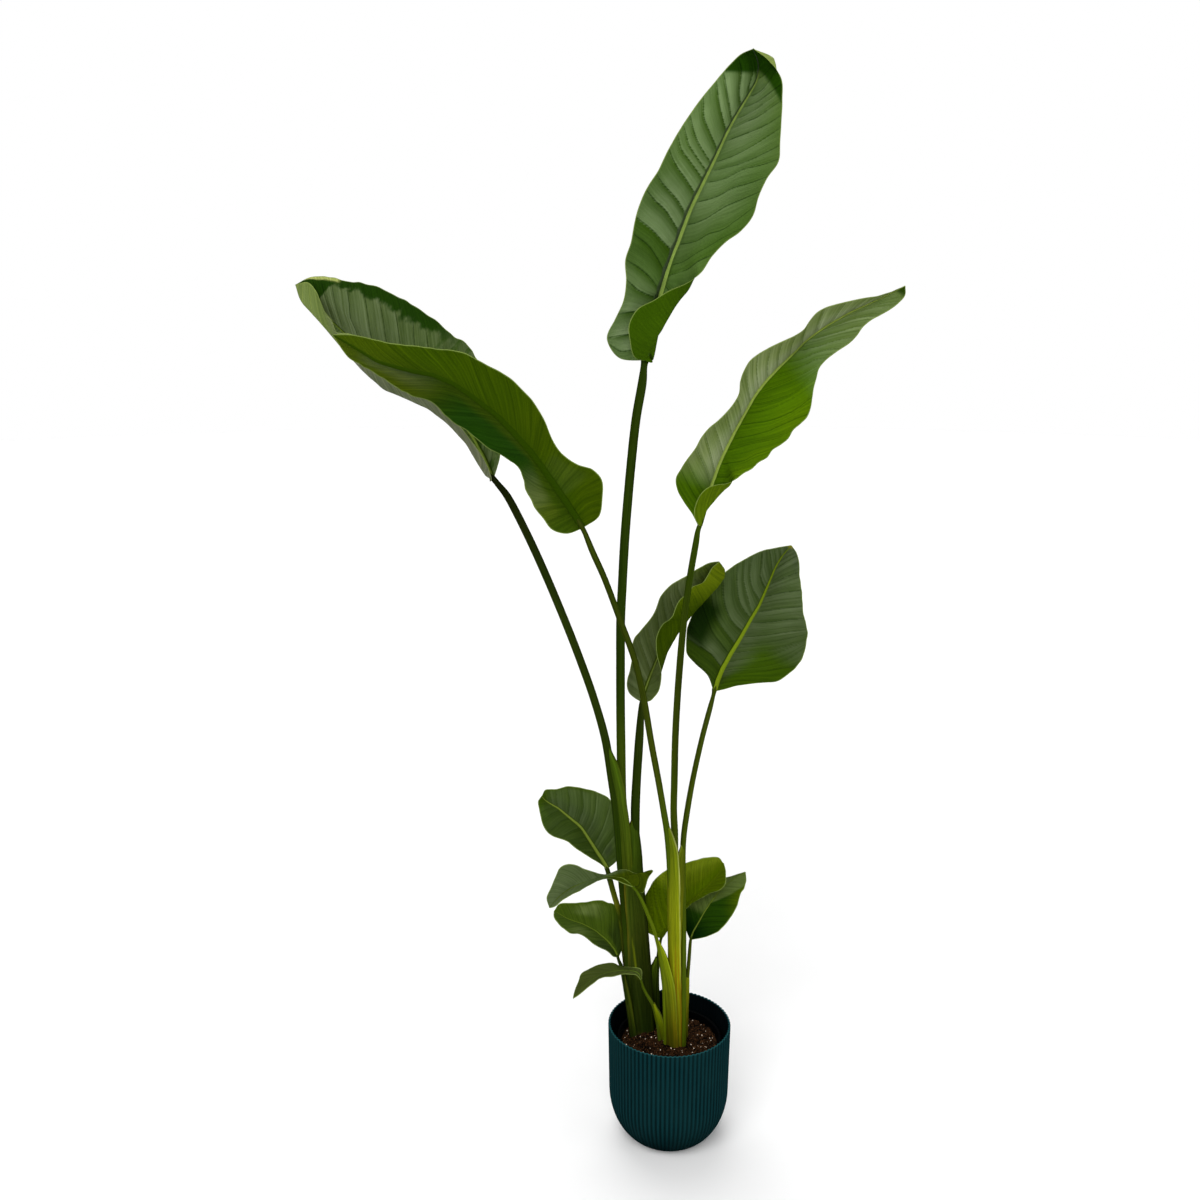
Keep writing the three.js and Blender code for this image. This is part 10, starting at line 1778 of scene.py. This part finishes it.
def build_bits(name, count, size, squash, seed, ico, mat, sink=0.35, ragged=0.25, rmax=84):
    rng = np.random.default_rng(seed)
    base, faces = ico
    Vs, Fs, n = [], [], 0
    while len(Vs) < count:
        r = rmax * math.sqrt(rng.uniform())
        a = rng.uniform(0, 2 * math.pi)
        x, y = r * math.cos(a), r * math.sin(a)
        s = rng.uniform(*size) if rng.uniform() < 0.75 else rng.uniform(size[0], 0.5 * (size[0] + size[1]))
        if blocked(x, y, s + 1.5):
            continue
        sc = np.array([1, rng.uniform(*squash), rng.uniform(*squash)])
        w = Waves(int(rng.integers(1, 10 ** 6)), 2, 2.6)
        v = base * (1 + ragged * w(base[:, 0] * 1.3 + base[:, 2], base[:, 1] * 1.3 - base[:, 2]))[:, None] * sc * s
        q = rng.normal(size=4)
        q /= np.linalg.norm(q)
        tilt = 0.35
        q = np.array([1, q[1] * tilt, q[2] * tilt, q[3] * 2.5])
        q /= np.linalg.norm(q)
        w_, x_, y_, z_ = q
        M = np.array([[1 - 2 * (y_ * y_ + z_ * z_), 2 * (x_ * y_ - w_ * z_), 2 * (x_ * z_ + w_ * y_)],
                      [2 * (x_ * y_ + w_ * z_), 1 - 2 * (x_ * x_ + z_ * z_), 2 * (y_ * z_ - w_ * x_)],
                      [2 * (x_ * z_ - w_ * y_), 2 * (y_ * z_ + w_ * x_), 1 - 2 * (x_ * x_ + y_ * y_)]])
        v = v @ M.T
        z = float(soil_height(np.array([x]), np.array([y]))[0]) + s * sc[2] * (0.5 - sink)
        v = v + np.array([x, y, z])
        if np.hypot(v[:, 0], v[:, 1]).max() > 86.5:
            continue
        Vs.append(v)
        Fs.append(faces + n)
        n += len(base)
    ob = make_mixed(name, np.concatenate(Vs), np.zeros((0, 4), int), np.concatenate(Fs), [mat], {})
    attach(ob, "root")
    return ob


build_bits("perlite_grains", 105, (0.55, 1.6), (0.7, 1.0), 21, ICO2, bit_material("perlite", (0.40, 0.30, 0.22), (0.90, 0.80, 0.66), 0.75, 500.0), 0.1, 0.22)
build_bits("bark_chips", 330, (1.4, 4.2), (0.35, 0.7), 22, ICO1, bit_material("bark", (0.0030, 0.0015, 0.0008), (0.052, 0.021, 0.007), 0.8, 260.0), 0.15, 0.3)
build_bits("fibre_crumbs", 460, (0.8, 2.0), (0.4, 0.9), 23, ICO1, bit_material("crumbs", (0.0045, 0.0022, 0.0012), (0.120, 0.052, 0.018), 0.85, 300.0), 0.2, 0.3)

# ------------------------------------------------------------------ floor, light, camera

def stage_floor():
    me = bpy.data.meshes.new("studio_floor")
    r = 14.0
    n = 96
    ring = [(r * math.cos(2 * math.pi * i / n), r * math.sin(2 * math.pi * i / n), -0.0005) for i in range(n)]
    me.from_pydata(ring, [], [list(range(n))])
    me.update()
    ob = bpy.data.objects.new("studio_floor", me)
    bpy.context.scene.collection.objects.link(ob)
    m, nt = new_mat("pale_floor")
    net = Net(nt)
    g = net.noise(3.0, 2, 0.5, net.obj())
    surface(net, net.mix(g, (0.86, 0.86, 0.86), (0.90, 0.90, 0.90)), 0.9, None, 0.1)
    me.materials.append(m)
    ob.visible_glossy = False
    return ob


stage_floor()

world = bpy.data.worlds.new("soft_studio")
bpy.context.scene.world = world
world.use_nodes = True
wn = world.node_tree
wn.nodes.clear()
wnet = Net(wn)
# white round the horizon, dimmer overhead
sep = wnet.node("ShaderNodeSeparateXYZ")
wn.links.new(wnet.node("ShaderNodeTexCoord").outputs["Generated"], sep.inputs[0])
up = wnet.band(sep.outputs[2], 0.22, 0.62)
bg = wnet.node("ShaderNodeBackground")
wn.links.new(wnet.mix(up, (1.0, 1.0, 1.0), (0.26, 0.26, 0.26)), bg.inputs[0])
bg.inputs[1].default_value = 1.0
world.cycles_visibility.glossy = False
wo = wnet.node("ShaderNodeOutputWorld")
wn.links.new(bg.outputs[0], wo.inputs[0])


def sun(name, azimuth, elevation, angle, strength):
    """azimuth 0 comes from the viewer's side, 90 from the viewer's left"""
    d = bpy.data.lights.new(name, "SUN")
    d.energy = strength
    d.angle = math.radians(angle)
    ob = bpy.data.objects.new(name, d)
    bpy.context.scene.collection.objects.link(ob)
    a, e = math.radians(azimuth), math.radians(elevation)
    frm = Vector((-math.sin(a) * math.cos(e), -math.cos(a) * math.cos(e), math.sin(e)))
    ob.location = frm * 4
    ob.rotation_euler = frm.to_track_quat("Z", "Y").to_euler()
    return ob


sun("key_soft", 20, 47, 40, 1.9)
sun("side_soft", -54, 14, 46, 0.95)
sun("top_soft", 165, 66, 40, 1.2)

cam_data = bpy.data.cameras.new("cam")
cam_data.sensor_width = 36.0
cam_data.lens = 37.5
cam_data.clip_end = 60
cam = bpy.data.objects.new("cam", cam_data)
cam.location = (-0.12487, -2.02189, 1.47343)
cam.rotation_euler = (math.radians(90 - 13.13828), 0, 0)
bpy.context.scene.collection.objects.link(cam)
bpy.context.scene.camera = cam

bpy.context.scene.view_settings.view_transform = "Standard"


bpy.context.view_layer.update()
